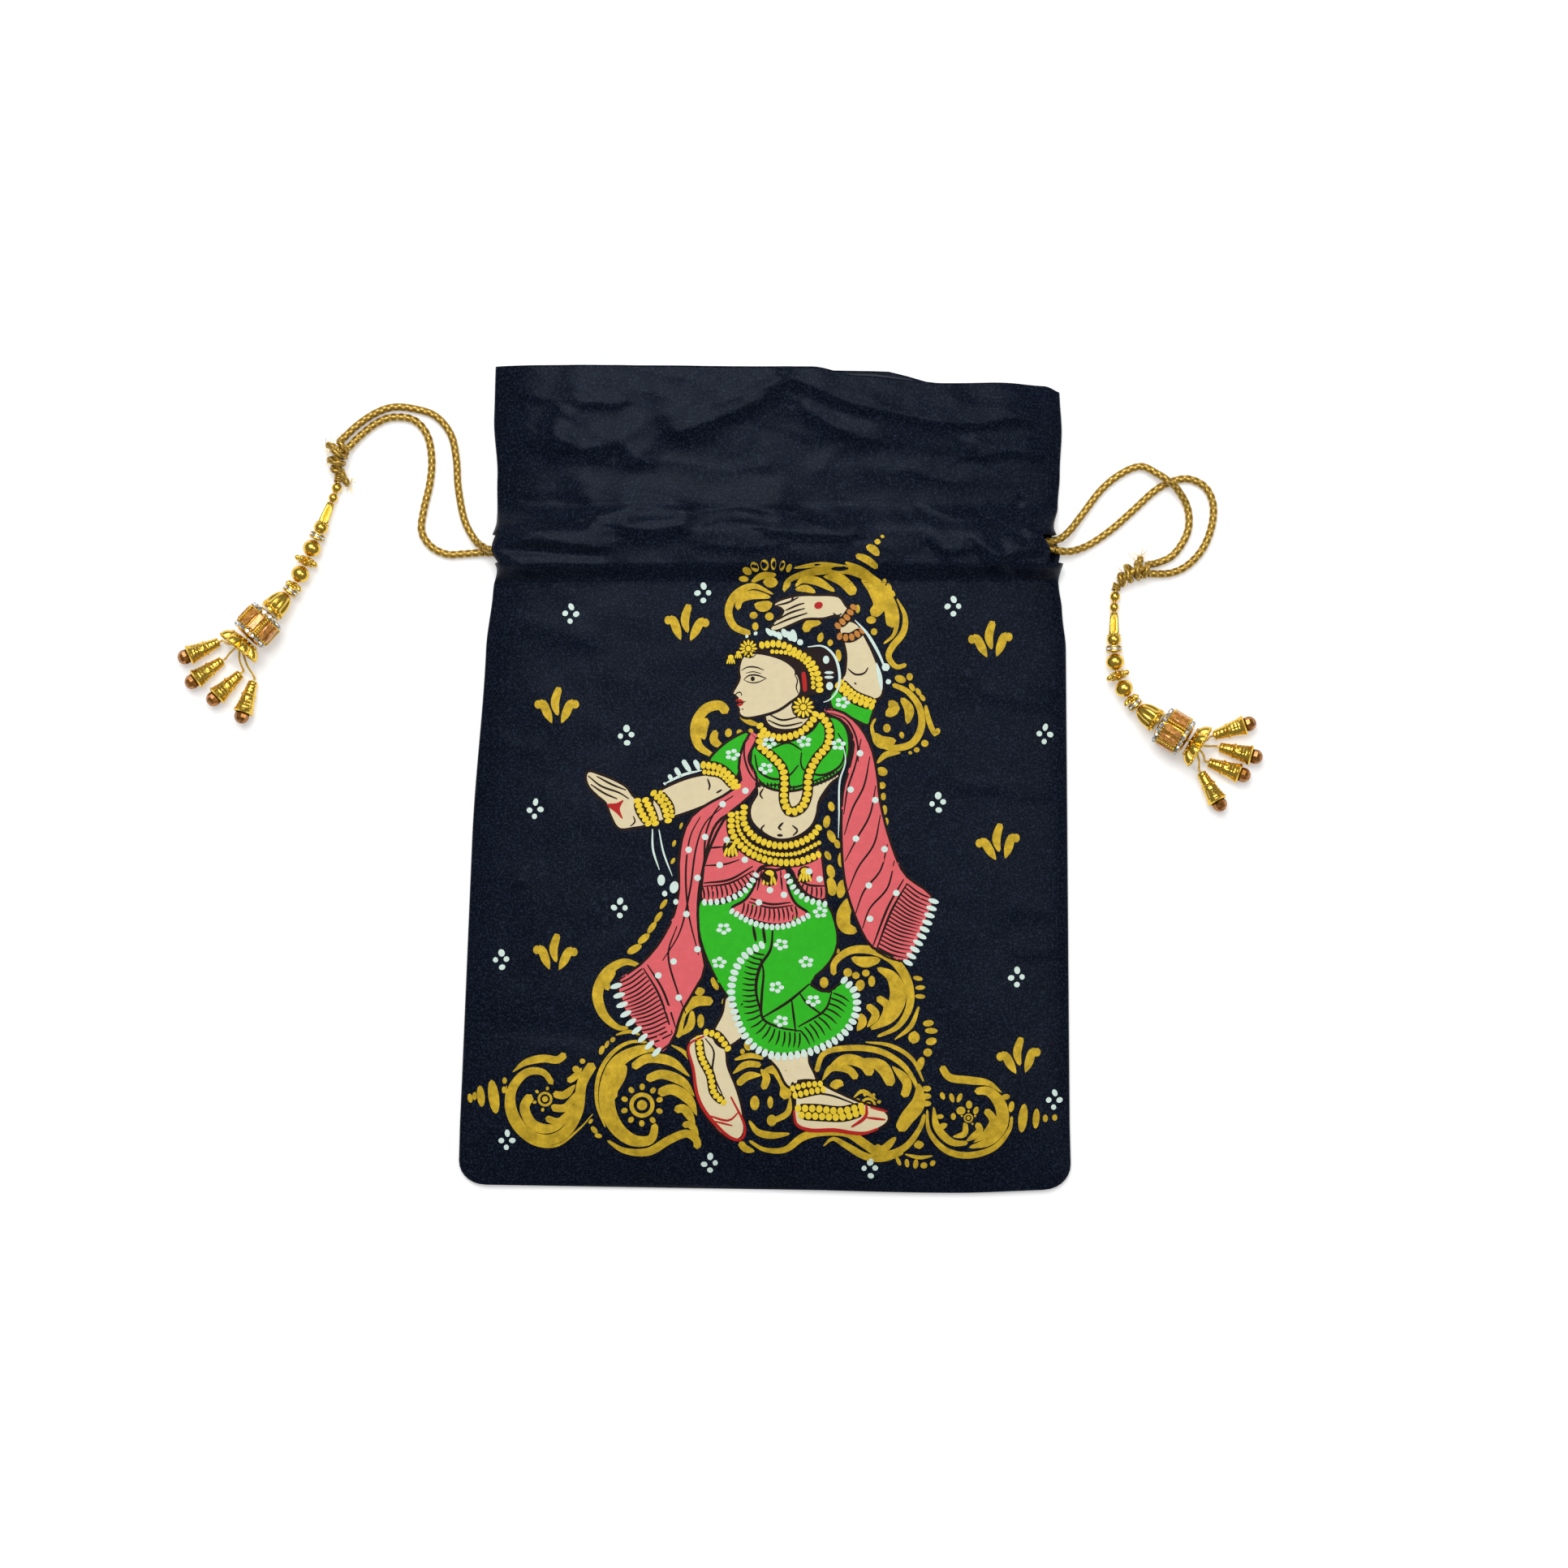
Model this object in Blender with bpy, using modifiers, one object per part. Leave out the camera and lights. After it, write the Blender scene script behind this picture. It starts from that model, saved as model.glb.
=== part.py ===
"""Potli bag: a taffeta drawstring pouch with a lining, two looped drawcords and two beaded tassels.

The bag lies on its flat back. +X runs across it, +Y towards the mouth and +Z up out of the painted front.
Each drawcord is one loop: it runs through the front of the casing, turns at the far side, comes back
through the back of the casing, and both its strands leave by the same side slit and end in one knot.
All lengths are in metres.
"""

import math

import bmesh
import bpy
from mathutils import Vector

MM = 0.001

# Bag outline
BAG_LENGTH = 0.2846
BASE_WIDTH = 0.2114
MOUTH_WIDTH = 0.1970
MOUTH_SHIFT = 0.0045
MOUTH_SHIFT_STARTS_AT = 0.08
CORNER_RADIUS = 0.0090
FRILL_HEIGHT = 0.0468
CASING_WIDTH = 0.0280
SLIT_WIDTH = 0.0100
SLIT_BELOW_CASING_TOP = 0.0113

# Cloth and what lies inside the casing
SHELL_WALL = 0.0008
LINING_WALL = 0.0005
LINING_GAP = 0.0005
CORD_DIAMETER = 0.0028
TUNNEL_GAP = 0.0004
CASING_ROOM = 0.0050
BODY_THICKNESS = 0.0116
SEAM_RADIUS = 0.0013
CASING_SIDE_RADIUS = 0.0054
FRONT_SHOULDER = 3
FRONT_ROUNDNESS = 0.7
BASE_SWELL = 0.0400
LINING_SIDE_INSET = 0.0070
LINING_CASING_INSET = 0.0190
LINING_BASE_INSET = 0.0100
LINING_RIM_DROP = 0.0012

# How much of each slit's side wall is cut away, in side radii: up from the back, and down from the front
LEFT_SLIT_REACH = 1.78
RIGHT_SLIT_REACH = 1.70

# How far the cords draw the sides in, by the height above the middle of the slits
LEFT_DRAWN_IN = ((-0.0992, 0.0), (-0.0342, 0.0020), (-0.0132, 0.0036), (-0.0072, 0.0048),
                 (-0.0002, 0.0014), (0.0098, 0.0040), (0.0248, 0.0034), (0.0458, 0.0014),
                 (0.0628, 0.0012))
RIGHT_DRAWN_IN = ((-0.0992, 0.0), (-0.0342, 0.0), (-0.0212, 0.0012), (-0.0112, 0.0024),
                  (-0.0012, 0.0002), (0.0078, 0.0040), (0.0148, 0.0024), (0.0268, 0.0016),
                  (0.0458, 0.0008), (0.0628, 0.0014))

# How far the mouth's hem and the base seam dip, by the place across the bag
FRONT_HEM_DROP = ((-0.095, 0.0), (0.016, 0.0011), (0.032, 0.0042), (0.061, 0.0066), (0.081, 0.0062),
                  (0.096, 0.0070), (0.103, 0.0092))
BACK_HEM_DROP = ((-0.095, 0.0), (0.016, 0.0011), (0.040, 0.0014), (0.061, 0.0058), (0.081, 0.0062),
                 (0.096, 0.0070), (0.103, 0.0092))
BASE_LIFT = ((-0.106, 0.0028), (-0.050, 0.0026), (0.066, 0.0), (0.106, 0.0012))

# Folds that stand proud of the front, each from one point to another, with its width and its height,
# and the band along each side that they fade out over
FOLD_FREE_SIDE = 0.006
FOLD_FADE = 0.008
FOLDS = (
    ((-0.090, 0.132), (0.004, 0.132), 0.0085, 0.0014),
    ((0.014, 0.124), (0.070, 0.118), 0.0060, 0.0015),
    ((-0.036, 0.121), (0.004, 0.112), 0.0060, 0.0013),
    ((0.020, 0.107), (0.088, 0.104), 0.0055, 0.0012),
    ((-0.072, 0.118), (-0.064, 0.102), 0.0050, 0.0013),
    ((-0.086, 0.103), (-0.048, 0.099), 0.0040, 0.0008),
    ((0.082, 0.131), (0.094, 0.118), 0.0050, 0.0010),
    ((-0.090, 0.086), (-0.062, 0.084), 0.0040, 0.0013),
    ((-0.056, 0.089), (-0.004, 0.083), 0.0045, 0.0011),
    ((-0.088, 0.074), (-0.058, 0.071), 0.0035, 0.0010),
    ((0.002, 0.078), (0.036, 0.078), 0.0035, 0.0010),
    ((0.058, 0.082), (0.070, 0.070), 0.0035, 0.0012),
    ((0.074, 0.081), (0.083, 0.069), 0.0035, 0.0012),
    ((0.088, 0.079), (0.094, 0.069), 0.0030, 0.0010),
)

# Drawcord routes: from the knot, through the front of the casing, round, back and to the knot again. These
# points, the knots, the strings and the bells were set down with the slits at the places named first.
DRAWN_LEFT_SLIT_X = -0.09528
DRAWN_RIGHT_SLIT_X = 0.10313
DRAWN_SLIT_Y = 0.0792
LEFT_CORD_ROUTE = (
    (-0.1465, 0.1162, 0.0026), (-0.1404, 0.1221, 0.0017), (-0.1340, 0.1264, 0.0015),
    (-0.1278, 0.1284, 0.0015), (-0.1208, 0.1278, 0.0015), (-0.1135, 0.1253, 0.0015),
    (-0.1082, 0.1189, 0.0015), (-0.1063, 0.1102, 0.0015), (-0.1057, 0.1009, 0.0015),
    (-0.1036, 0.0897, 0.0015), (-0.1000, 0.0828, 0.0024), (-0.0968, 0.0800, 0.0048),
    (-0.0930, 0.0786, 0.0063), (-0.0880, 0.0772, 0.0080), (-0.0790, 0.0770, 0.0098),
    (-0.0600, 0.0770, 0.0112), (-0.0330, 0.0770, 0.0120), (0.0040, 0.0770, 0.0122),
    (0.0420, 0.0770, 0.0120), (0.0690, 0.0770, 0.0112), (0.0840, 0.0770, 0.0101),
    (0.0905, 0.0770, 0.0086), (0.0930, 0.0770, 0.0060), (0.0905, 0.0770, 0.0034),
    (0.0840, 0.0770, 0.0026), (0.0600, 0.0770, 0.0026), (0.0, 0.0770, 0.0026),
    (-0.0600, 0.0770, 0.0026), (-0.0860, 0.0770, 0.0026), (-0.0920, 0.0778, 0.0026),
    (-0.0970, 0.0782, 0.0018), (-0.1035, 0.0778, 0.0015), (-0.1096, 0.0777, 0.0015),
    (-0.1152, 0.0805, 0.0015), (-0.1183, 0.0858, 0.0015), (-0.1175, 0.0931, 0.0015),
    (-0.1155, 0.1018, 0.0015), (-0.1148, 0.1102, 0.0015), (-0.1163, 0.1185, 0.0015),
    (-0.1208, 0.1238, 0.0015), (-0.1278, 0.1249, 0.0015), (-0.1335, 0.1230, 0.0015),
    (-0.1392, 0.1186, 0.0018), (-0.1436, 0.1140, 0.0028),
)
RIGHT_CORD_ROUTE = (
    (0.1319, 0.0740, 0.0028), (0.1356, 0.0748, 0.0018), (0.1407, 0.0774, 0.0015),
    (0.1450, 0.0836, 0.0015), (0.1462, 0.0895, 0.0015), (0.1450, 0.0953, 0.0018),
    (0.1413, 0.1007, 0.0036), (0.1384, 0.1030, 0.0047), (0.1352, 0.1052, 0.0036),
    (0.1296, 0.1079, 0.0018), (0.1228, 0.1054, 0.0015), (0.1159, 0.0998, 0.0015),
    (0.1092, 0.0911, 0.0020), (0.1052, 0.0860, 0.0034), (0.1015, 0.0828, 0.0046),
    (0.0972, 0.0817, 0.0062), (0.0925, 0.0811, 0.0084),
    (0.0840, 0.0810, 0.0101), (0.0690, 0.0810, 0.0112),
    (0.0420, 0.0810, 0.0120), (0.0040, 0.0810, 0.0122), (-0.0330, 0.0810, 0.0120),
    (-0.0600, 0.0810, 0.0112), (-0.0760, 0.0810, 0.0101), (-0.0835, 0.0810, 0.0086),
    (-0.0861, 0.0810, 0.0060), (-0.0835, 0.0810, 0.0034), (-0.0760, 0.0810, 0.0026),
    (-0.0500, 0.0810, 0.0026), (0.0, 0.0810, 0.0026), (0.0600, 0.0810, 0.0026),
    (0.0900, 0.0810, 0.0027), (0.0955, 0.0802, 0.0036), (0.1000, 0.0790, 0.0044),
    (0.1049, 0.0785, 0.0034), (0.1116, 0.0808, 0.00155), (0.1194, 0.0861, 0.0015),
    (0.1270, 0.0928, 0.0015), (0.1340, 0.0992, 0.0015), (0.1399, 0.1026, 0.0015),
    (0.1460, 0.1036, 0.0015), (0.1516, 0.1009, 0.0015), (0.1544, 0.0953, 0.0015),
    (0.1541, 0.0878, 0.0015), (0.1511, 0.0799, 0.0015), (0.1460, 0.0741, 0.0015),
    (0.1399, 0.0712, 0.0017), (0.1319, 0.0708, 0.0028),
)
CORD_STEP = 0.0085
CORD_TURN_STEP = math.radians(24)
CORD_BEVEL_RESOLUTION = 2

# Knots: the points down the middle of each lump of cord, and its radius there
LEFT_KNOT = (((-0.1452, 0.1147, 0.0032), 0.0030), ((-0.1469, 0.1121, 0.0039), 0.0038),
             ((-0.1471, 0.1085, 0.0034), 0.0033), ((-0.1467, 0.1055, 0.0024), 0.0021))
RIGHT_KNOT = (((0.1314, 0.0724, 0.0032), 0.0030), ((0.1282, 0.0722, 0.0039), 0.0038),
              ((0.1247, 0.0702, 0.0034), 0.0033), ((0.1220, 0.0678, 0.0024), 0.0021))

# Tassel strings: the way each one lies, from its knot
THREAD_DIAMETER = 0.0010
THREAD_GAP = 0.0003
FIT_GAP = 0.0003
FIRST_PIECE_AT = 0.0028
STRING_SLACK = 0.04
LEFT_STRING = ((-0.14668, 0.1049, 0.0024), (-0.1474, 0.1001, 0.0024), (-0.1492, 0.0957, 0.0026),
               (-0.1533, 0.0853, 0.0035), (-0.1562, 0.0787, 0.0041), (-0.1593, 0.0714, 0.0047),
               (-0.1622, 0.0660, 0.0050), (-0.1664, 0.0608, 0.0062), (-0.1734, 0.0539, 0.0076),
               (-0.1788, 0.0474, 0.0085), (-0.1820, 0.0433, 0.0088))
RIGHT_STRING = ((0.1214, 0.0674, 0.0024), (0.1206, 0.0636, 0.0024), (0.1203, 0.0587, 0.0026),
                (0.1201, 0.0469, 0.0035), (0.1203, 0.0413, 0.0041), (0.1211, 0.0366, 0.0045),
                (0.1230, 0.0320, 0.0048), (0.1263, 0.0268, 0.0052), (0.1312, 0.0223, 0.0063),
                (0.1394, 0.0170, 0.0077), (0.1470, 0.0124, 0.0086), (0.1524, 0.0092, 0.0089))

# Strung pieces: how long each is, and how far across
SMALL_BEAD = (0.0034, 0.0036)
SMALL_BEAD_LOWER = (0.0030, 0.0033)
FLUTED_CONE = (0.0110, 0.0050)
RONDELLE = (0.0022, 0.0058)
ROUND_BEAD = (0.0056, 0.0064)
STAR_SPACER = (0.0030, 0.0081)
STAR_CAP = (0.0018, 0.0066)
DOME_CAP = (0.0084, 0.0086)
CRYSTAL_BARREL = (0.0110, 0.0140)
FLOWER_CAP = (0.0045, 0.0160)

# Walls of the strung pieces, from the top hole to the lower one: shares of the radius and of the length
CONE_WALL = ((0.52, 0.0), (0.72, 0.70), (1.0, 0.775), (1.0, 0.91), (0.70, 1.0))
RONDELLE_WALL = ((0.81, 0.0), (1.0, 0.25), (1.0, 0.75), (0.81, 1.0))
SPACER_WALL = ((0.52, 0.0), (1.0, 0.36), (1.0, 0.64), (0.52, 1.0))
CAP_WALL = ((0.50, 0.0), (0.84, 0.30), (1.0, 1.0), (0.80, 1.0), (0.60, 0.60))
DOME_WALL = ((0.30, 0.0), (0.58, 0.08), (0.80, 0.30), (0.94, 0.62), (1.0, 0.88), (0.94, 1.0))
BARREL_WALL = ((0.574, 0.0), (0.86, 0.085), (0.90, 0.17), (0.84, 0.195), (1.0, 0.42), (1.0, 0.58),
               (0.84, 0.805), (0.90, 0.83), (0.86, 0.915), (0.574, 1.0))
FLOWER_WALL = ((0.40, 0.0), (0.80, 0.22), (1.0, 0.75), (0.92, 1.0), (0.80, 1.0), (0.72, 0.55), (0.20, 0.40))
LOBES = 8
LOBES_START_AT = 0.4
CUP_THREAD_END = 0.62

# Bell drops: the top of each bell and the place that its mouth points to
DROP_THREAD_DIAMETER = 0.0008
DROP_THREAD_GAP = 0.0003
DROP_SPACING = 0.0013
DROP_ARCH = 0.0006
DROP_ARCH_AT = 0.45
DROP_LEAD_IN = 0.0014
BELL_LENGTH = 0.0115
BELL_TOP_DIAMETER = 0.0032
BELL_MOUTH_DIAMETER = 0.0070
BELL_RING_AT = 0.0051
BELL_RING_DIAMETER = 0.0054
BELL_RING_WIDTH = 0.0009
BELL_RING_BEVEL = 0.0002
BELL_FLARE_AT_RING = 0.45
BELL_HOLLOW_FROM = 0.3
BELL_WALL = 0.0004
BELL_BEAD_DIAMETER = 0.0054
BELL_BEAD_BEYOND = 0.0012
LEFT_BELLS = (((-0.1880, 0.0474, 0.0021), (-0.1985, 0.0426, 0.0038)),
              ((-0.1868, 0.0410, 0.0021), (-0.1957, 0.0346, 0.0038)),
              ((-0.1806, 0.0365, 0.0021), (-0.1886, 0.0287, 0.0038)),
              ((-0.1762, 0.0338, 0.0021), (-0.1793, 0.0236, 0.0038)))
RIGHT_BELLS = (((0.1546, 0.0152, 0.0021), (0.1655, 0.0189, 0.0038)),
               ((0.1566, 0.0112, 0.0021), (0.1676, 0.0082, 0.0038)),
               ((0.1528, 0.0060, 0.0021), (0.1635, 0.0020, 0.0038)),
               ((0.1502, 0.0024, 0.0021), (0.1559, -0.0076, 0.0038)))

# Levels that follow from the sizes above
BASE_Y = -BAG_LENGTH / 2
MOUTH_Y = BAG_LENGTH / 2
CASING_TOP_Y = MOUTH_Y - FRILL_HEIGHT
CASING_FOOT_Y = CASING_TOP_Y - CASING_WIDTH
SLIT_TOP_Y = CASING_TOP_Y - SLIT_BELOW_CASING_TOP
SLIT_FOOT_Y = SLIT_TOP_Y - SLIT_WIDTH
SLIT_Y = (SLIT_TOP_Y + SLIT_FOOT_Y) / 2
TUNNEL_DEPTH = SHELL_WALL + TUNNEL_GAP + CORD_DIAMETER + TUNNEL_GAP
CASING_THICKNESS = 2 * (TUNNEL_DEPTH + LINING_WALL) + CASING_ROOM
THREAD_BORE = THREAD_DIAMETER / 2 + THREAD_GAP
DROP_BORE = DROP_THREAD_DIAMETER / 2 + DROP_THREAD_GAP

# Mesh fineness: columns across the front and the back, and steps round each side
SHELL_GRID = (28, 4, 4)
LINING_GRID = (14, 3, 3)
# Bands of rings: base corners, swell, body, then the casing below, along and above the slits, and the frill
SHELL_BANDS = (4, 4, 5, 3, 4, 4, 9)
LINING_BANDS = (1, 3, 2, 3, 1, 3, 3)
COLUMN_CROWDING = 0.28
CORNER_CROWDING = 1.8
SIDES = 10
BELL_SIDES = 8
LOBED_SIDES = 16


def new_collection(name):
    collection = bpy.data.collections.new(name)
    bpy.context.scene.collection.children.link(collection)
    return collection


def material(name, colour, roughness, metallic):
    surface = bpy.data.materials.new(name)
    surface.use_nodes = True
    shader = surface.node_tree.nodes["Principled BSDF"]
    shader.inputs["Base Color"].default_value = (*colour, 1.0)
    shader.inputs["Roughness"].default_value = roughness
    shader.inputs["Metallic"].default_value = metallic
    return surface


def add_object(name, data, surface, collection, smooth=40):
    if isinstance(data, bpy.types.Mesh):
        data.shade_smooth()
        data.set_sharp_from_angle(angle=math.radians(smooth))
    data.materials.append(surface)
    item = bpy.data.objects.new(name, data)
    collection.objects.link(item)
    return item


def between(knots, at):
    """The value at a place on a row of (place, value) knots, eased from one to the next."""
    if at <= knots[0][0]:
        return knots[0][1]
    for (low, first), (high, last) in zip(knots, knots[1:]):
        if at <= high:
            share = (at - low) / (high - low)
            share = share * share * (3 - 2 * share)
            return first + (last - first) * share
    return knots[-1][1]


def casing_share(y):
    """1 between the slits' ends, where the cords run, and 0 beyond the casing's rows of stitches."""
    rise = (y - CASING_FOOT_Y) / (SLIT_FOOT_Y - CASING_FOOT_Y)
    fall = (CASING_TOP_Y - y) / (CASING_TOP_Y - SLIT_TOP_Y)
    share = max(0.0, min(1.0, rise, fall))
    return share * share * (3 - 2 * share)


def side_edges(y):
    """The bag's left and right edge at a height, with its rounded base corners."""
    share = (y - BASE_Y) / BAG_LENGTH
    half = (BASE_WIDTH + (MOUTH_WIDTH - BASE_WIDTH) * share) / 2
    shift = MOUTH_SHIFT * max(0.0, share - MOUTH_SHIFT_STARTS_AT) / (1 - MOUTH_SHIFT_STARTS_AT)
    above = min(CORNER_RADIUS, y - BASE_Y)
    corner = CORNER_RADIUS - math.sqrt(max(0.0, CORNER_RADIUS**2 - (CORNER_RADIUS - above) ** 2))
    left = shift - half + between(LEFT_DRAWN_IN, y - SLIT_Y) + corner
    right = shift + half - between(RIGHT_DRAWN_IN, y - SLIT_Y) - corner
    return left, right


def with_slits(points):
    """Moves points of a cord or tassel with the slits, where the bag's sizes have moved those."""
    left, right = side_edges(SLIT_Y)
    width = DRAWN_RIGHT_SLIT_X - DRAWN_LEFT_SLIT_X
    moved = []
    for x, y, z in points:
        share = max(0.0, min(1.0, (x - DRAWN_LEFT_SLIT_X) / width))
        aside = (left - DRAWN_LEFT_SLIT_X) * (1 - share) + (right - DRAWN_RIGHT_SLIT_X) * share
        moved.append(Vector((x + aside, y + SLIT_Y - DRAWN_SLIT_Y, z)))
    return moved


def nose_radius(y):
    return SEAM_RADIUS + (CASING_SIDE_RADIUS - SEAM_RADIUS) * casing_share(y)


def crown(y):
    """How high the front stands at the middle of the bag."""
    swell = min(1.0, (y - BASE_Y) / BASE_SWELL)
    low = 2 * SEAM_RADIUS
    height = low + (BODY_THICKNESS - low) * (1 - (1 - swell) ** 3)
    return height + (CASING_THICKNESS - BODY_THICKNESS) * casing_share(y)


def front_height(x, y):
    """The smooth front, without its folds."""
    left, right = side_edges(y)
    radius = nose_radius(y)
    middle = (left + right) / 2
    half = (right - left) / 2 - radius
    across = min(1.0, abs(x - middle) / half)
    return 2 * radius + (crown(y) - 2 * radius) * (1 - across**FRONT_SHOULDER) ** FRONT_ROUNDNESS


def fold_height(x, y):
    """How far the folds stand proud of the smooth front; it fades out near the sides."""
    total = 0.0
    for start, end, width, height in FOLDS:
        a, b, p = Vector(start), Vector(end), Vector((x, y))
        along = max(0.0, min(1.0, (p - a).dot(b - a) / (b - a).length_squared))
        away = (p - a.lerp(b, along)).length
        total += height * math.exp(-((away / width) ** 2))
    left, right = side_edges(y)
    edge = max(0.0, min(x - left, right - x) - FOLD_FREE_SIDE)
    return total * min(1.0, edge / FOLD_FADE)


def hem(y, x, drop):
    """Moves a height so that the mouth's hem and the base seam dip as they do across the bag."""
    above = max(0.0, (y - CASING_TOP_Y) / FRILL_HEIGHT)
    below = max(0.0, 1 - (y - BASE_Y) / BASE_SWELL)
    return y - between(drop, x) * above**1.5 + between(BASE_LIFT, x) * below


def columns(count):
    """Places from -1 to 1 that lie closer together towards the ends."""
    places = []
    for step in range(count + 1):
        place = 2 * step / count - 1
        places.append((1 - COLUMN_CROWDING) * place + COLUMN_CROWDING * math.sin(place * math.pi / 2))
    return places


def section(y, edge_inset, back, front_inset, folded, grid):
    """One closed ring of points round the bag: across the front, round a side, and back again."""
    front_columns, back_columns, nose_steps = grid
    left, right = side_edges(y)
    left, right = left + edge_inset, right - edge_inset
    radius = nose_radius(y)
    if edge_inset:
        radius = (front_height(left + SEAM_RADIUS, y) - front_inset - back) / 2
    middle, half = (left + right) / 2, (right - left) / 2 - radius
    ring = []
    for step, place in enumerate(columns(front_columns)):
        x = middle + half * place
        z = front_height(x, y) - front_inset
        if folded:
            z += fold_height(x, y)
        if step in (0, front_columns):
            z = back + 2 * radius
        ring.append(Vector((x, hem(y, x, FRONT_HEM_DROP), z)))
    for step in range(1, nose_steps):
        angle = math.pi * (0.5 - step / nose_steps)
        x = middle + half + radius * math.cos(angle)
        ring.append(Vector((x, hem(y, x, BACK_HEM_DROP), back + radius + radius * math.sin(angle))))
    for step in range(back_columns + 1):
        x = middle + half * (1 - 2 * step / back_columns)
        ring.append(Vector((x, hem(y, x, BACK_HEM_DROP), back)))
    for step in range(1, nose_steps):
        angle = math.pi * (-0.5 - step / nose_steps)
        x = middle - half + radius * math.cos(angle)
        ring.append(Vector((x, hem(y, x, BACK_HEM_DROP), back + radius + radius * math.sin(angle))))
    return ring


def loft(rings):
    """A pouch lofted through its rings, closed at the base and open at the mouth."""
    mesh = bmesh.new()
    loops = []
    for ring in rings:
        points = [mesh.verts.new(point) for point in ring]
        loops.append([mesh.edges.new((a, b)) for a, b in zip(points, points[1:] + points[:1])])
    for lower, upper in zip(loops, loops[1:]):
        bmesh.ops.bridge_loops(mesh, edges=lower + upper)
    bmesh.ops.holes_fill(mesh, edges=loops[0], sides=0)
    bmesh.ops.recalc_face_normals(mesh, faces=mesh.faces)
    return mesh


def rows(start, end, bands):
    """The heights of the rings: close in the corners, the casing and the frill."""
    corners = bands[0]
    heights = [start + CORNER_RADIUS * (step / corners) ** CORNER_CROWDING for step in range(corners)]
    levels = (start + CORNER_RADIUS, BASE_Y + BASE_SWELL, CASING_FOOT_Y, SLIT_FOOT_Y, SLIT_TOP_Y,
              CASING_TOP_Y, end)
    for low, high, count in zip(levels, levels[1:], bands[1:]):
        heights += [low + (high - low) * step / count for step in range(count)]
    return heights + [end]


def cut_slits(mesh):
    """Opens the side seams where the cords come out: behind on the left, in front on the right."""
    gone = []
    for face in mesh.faces:
        centre = face.calc_center_median()
        if not SLIT_FOOT_Y < centre.y < SLIT_TOP_Y:
            continue
        left, right = side_edges(centre.y)
        up = centre.z / CASING_SIDE_RADIUS
        on_left = centre.x < left + CASING_SIDE_RADIUS and up < LEFT_SLIT_REACH
        on_right = centre.x > right - CASING_SIDE_RADIUS and up > 2 - RIGHT_SLIT_REACH
        if on_left or on_right:
            gone.append(face)
    bmesh.ops.delete(mesh, geom=gone, context="FACES")


def thicken(item, wall):
    shell = item.modifiers.new("Wall", "SOLIDIFY")
    shell.thickness = wall
    shell.offset = -1


def outer_shell(collection, surface):
    mesh = loft([section(y, 0.0, 0.0, 0.0, True, SHELL_GRID)
                 for y in rows(BASE_Y, MOUTH_Y, SHELL_BANDS)])
    cut_slits(mesh)
    data = bpy.data.meshes.new("outer_shell")
    mesh.to_mesh(data)
    mesh.free()
    thicken(add_object("outer_shell", data, surface, collection), SHELL_WALL)


def lining(collection, surface):
    rings = []
    clearance = SHELL_WALL + LINING_GAP
    for y in rows(BASE_Y + LINING_BASE_INSET, MOUTH_Y - LINING_RIM_DROP, LINING_BANDS):
        share = casing_share(y)
        depth = clearance + (TUNNEL_DEPTH - clearance) * share
        inset = LINING_SIDE_INSET + (LINING_CASING_INSET - LINING_SIDE_INSET) * share
        rings.append(section(y, inset, depth, depth, False, LINING_GRID))
    mesh = loft(rings)
    data = bpy.data.meshes.new("lining")
    mesh.to_mesh(data)
    mesh.free()
    thicken(add_object("lining", data, surface, collection), LINING_WALL)


def smooth_route(points, pieces=24):
    """A fine line along the smooth curve through the points."""
    knots = [Vector(point) for point in points]
    padded = [2 * knots[0] - knots[1]] + knots + [2 * knots[-1] - knots[-2]]
    line = []
    for a, b, c, d in zip(padded, padded[1:], padded[2:], padded[3:]):
        for step in range(pieces):
            t = step / pieces
            line.append(0.5 * (2 * b + (c - a) * t + (2 * a - 5 * b + 4 * c - d) * t**2
                               + (3 * b - a - 3 * c + d) * t**3))
    return line + [knots[-1]]


def thin_route(line, step, turn_step):
    """The points of a fine line that its tube needs: one each step, and more where it turns."""
    kept = [line[0]]
    travelled, turned = 0.0, 0.0
    for before, here, after in zip(line, line[1:], line[2:]):
        travelled += (here - before).length
        turned += (here - before).angle(after - here, 0.0)
        if travelled >= step or turned >= turn_step:
            kept.append(here)
            travelled, turned = 0.0, 0.0
    return kept + [line[-1]]


def tube(name, points, diameter, surface, collection, radii=None, resolution=CORD_BEVEL_RESOLUTION):
    """A tube with flat caps along the points; radii, where given, are shares of half the diameter."""
    data = bpy.data.curves.new(name, "CURVE")
    data.dimensions = "3D"
    data.bevel_depth = diameter / 2
    data.bevel_resolution = resolution
    data.use_fill_caps = True
    spline = data.splines.new("POLY")
    spline.points.add(len(points) - 1)
    for index, (point, place) in enumerate(zip(spline.points, points)):
        point.co = (*place, 1.0)
        point.radius = radii[index] if radii else 1.0
    return add_object(name, data, surface, collection)


def drawcord(name, route, collection, surface):
    points = thin_route(smooth_route(with_slits(route)), CORD_STEP, CORD_TURN_STEP)
    tube(name, points, CORD_DIAMETER, surface, collection)


def knot(name, lump, collection, surface):
    """The lump that both strands end in, drawn tight round the start of the tassel's thread."""
    places = smooth_route(with_slits([place for place, _ in lump]), 3)
    radii = [radius for _, (radius, _, _) in
             zip(places, smooth_route([(radius, 0.0, 0.0) for _, radius in lump], 3))]
    tube(name, places, 2 * MM, surface, collection, [radius / MM for radius in radii])


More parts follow.
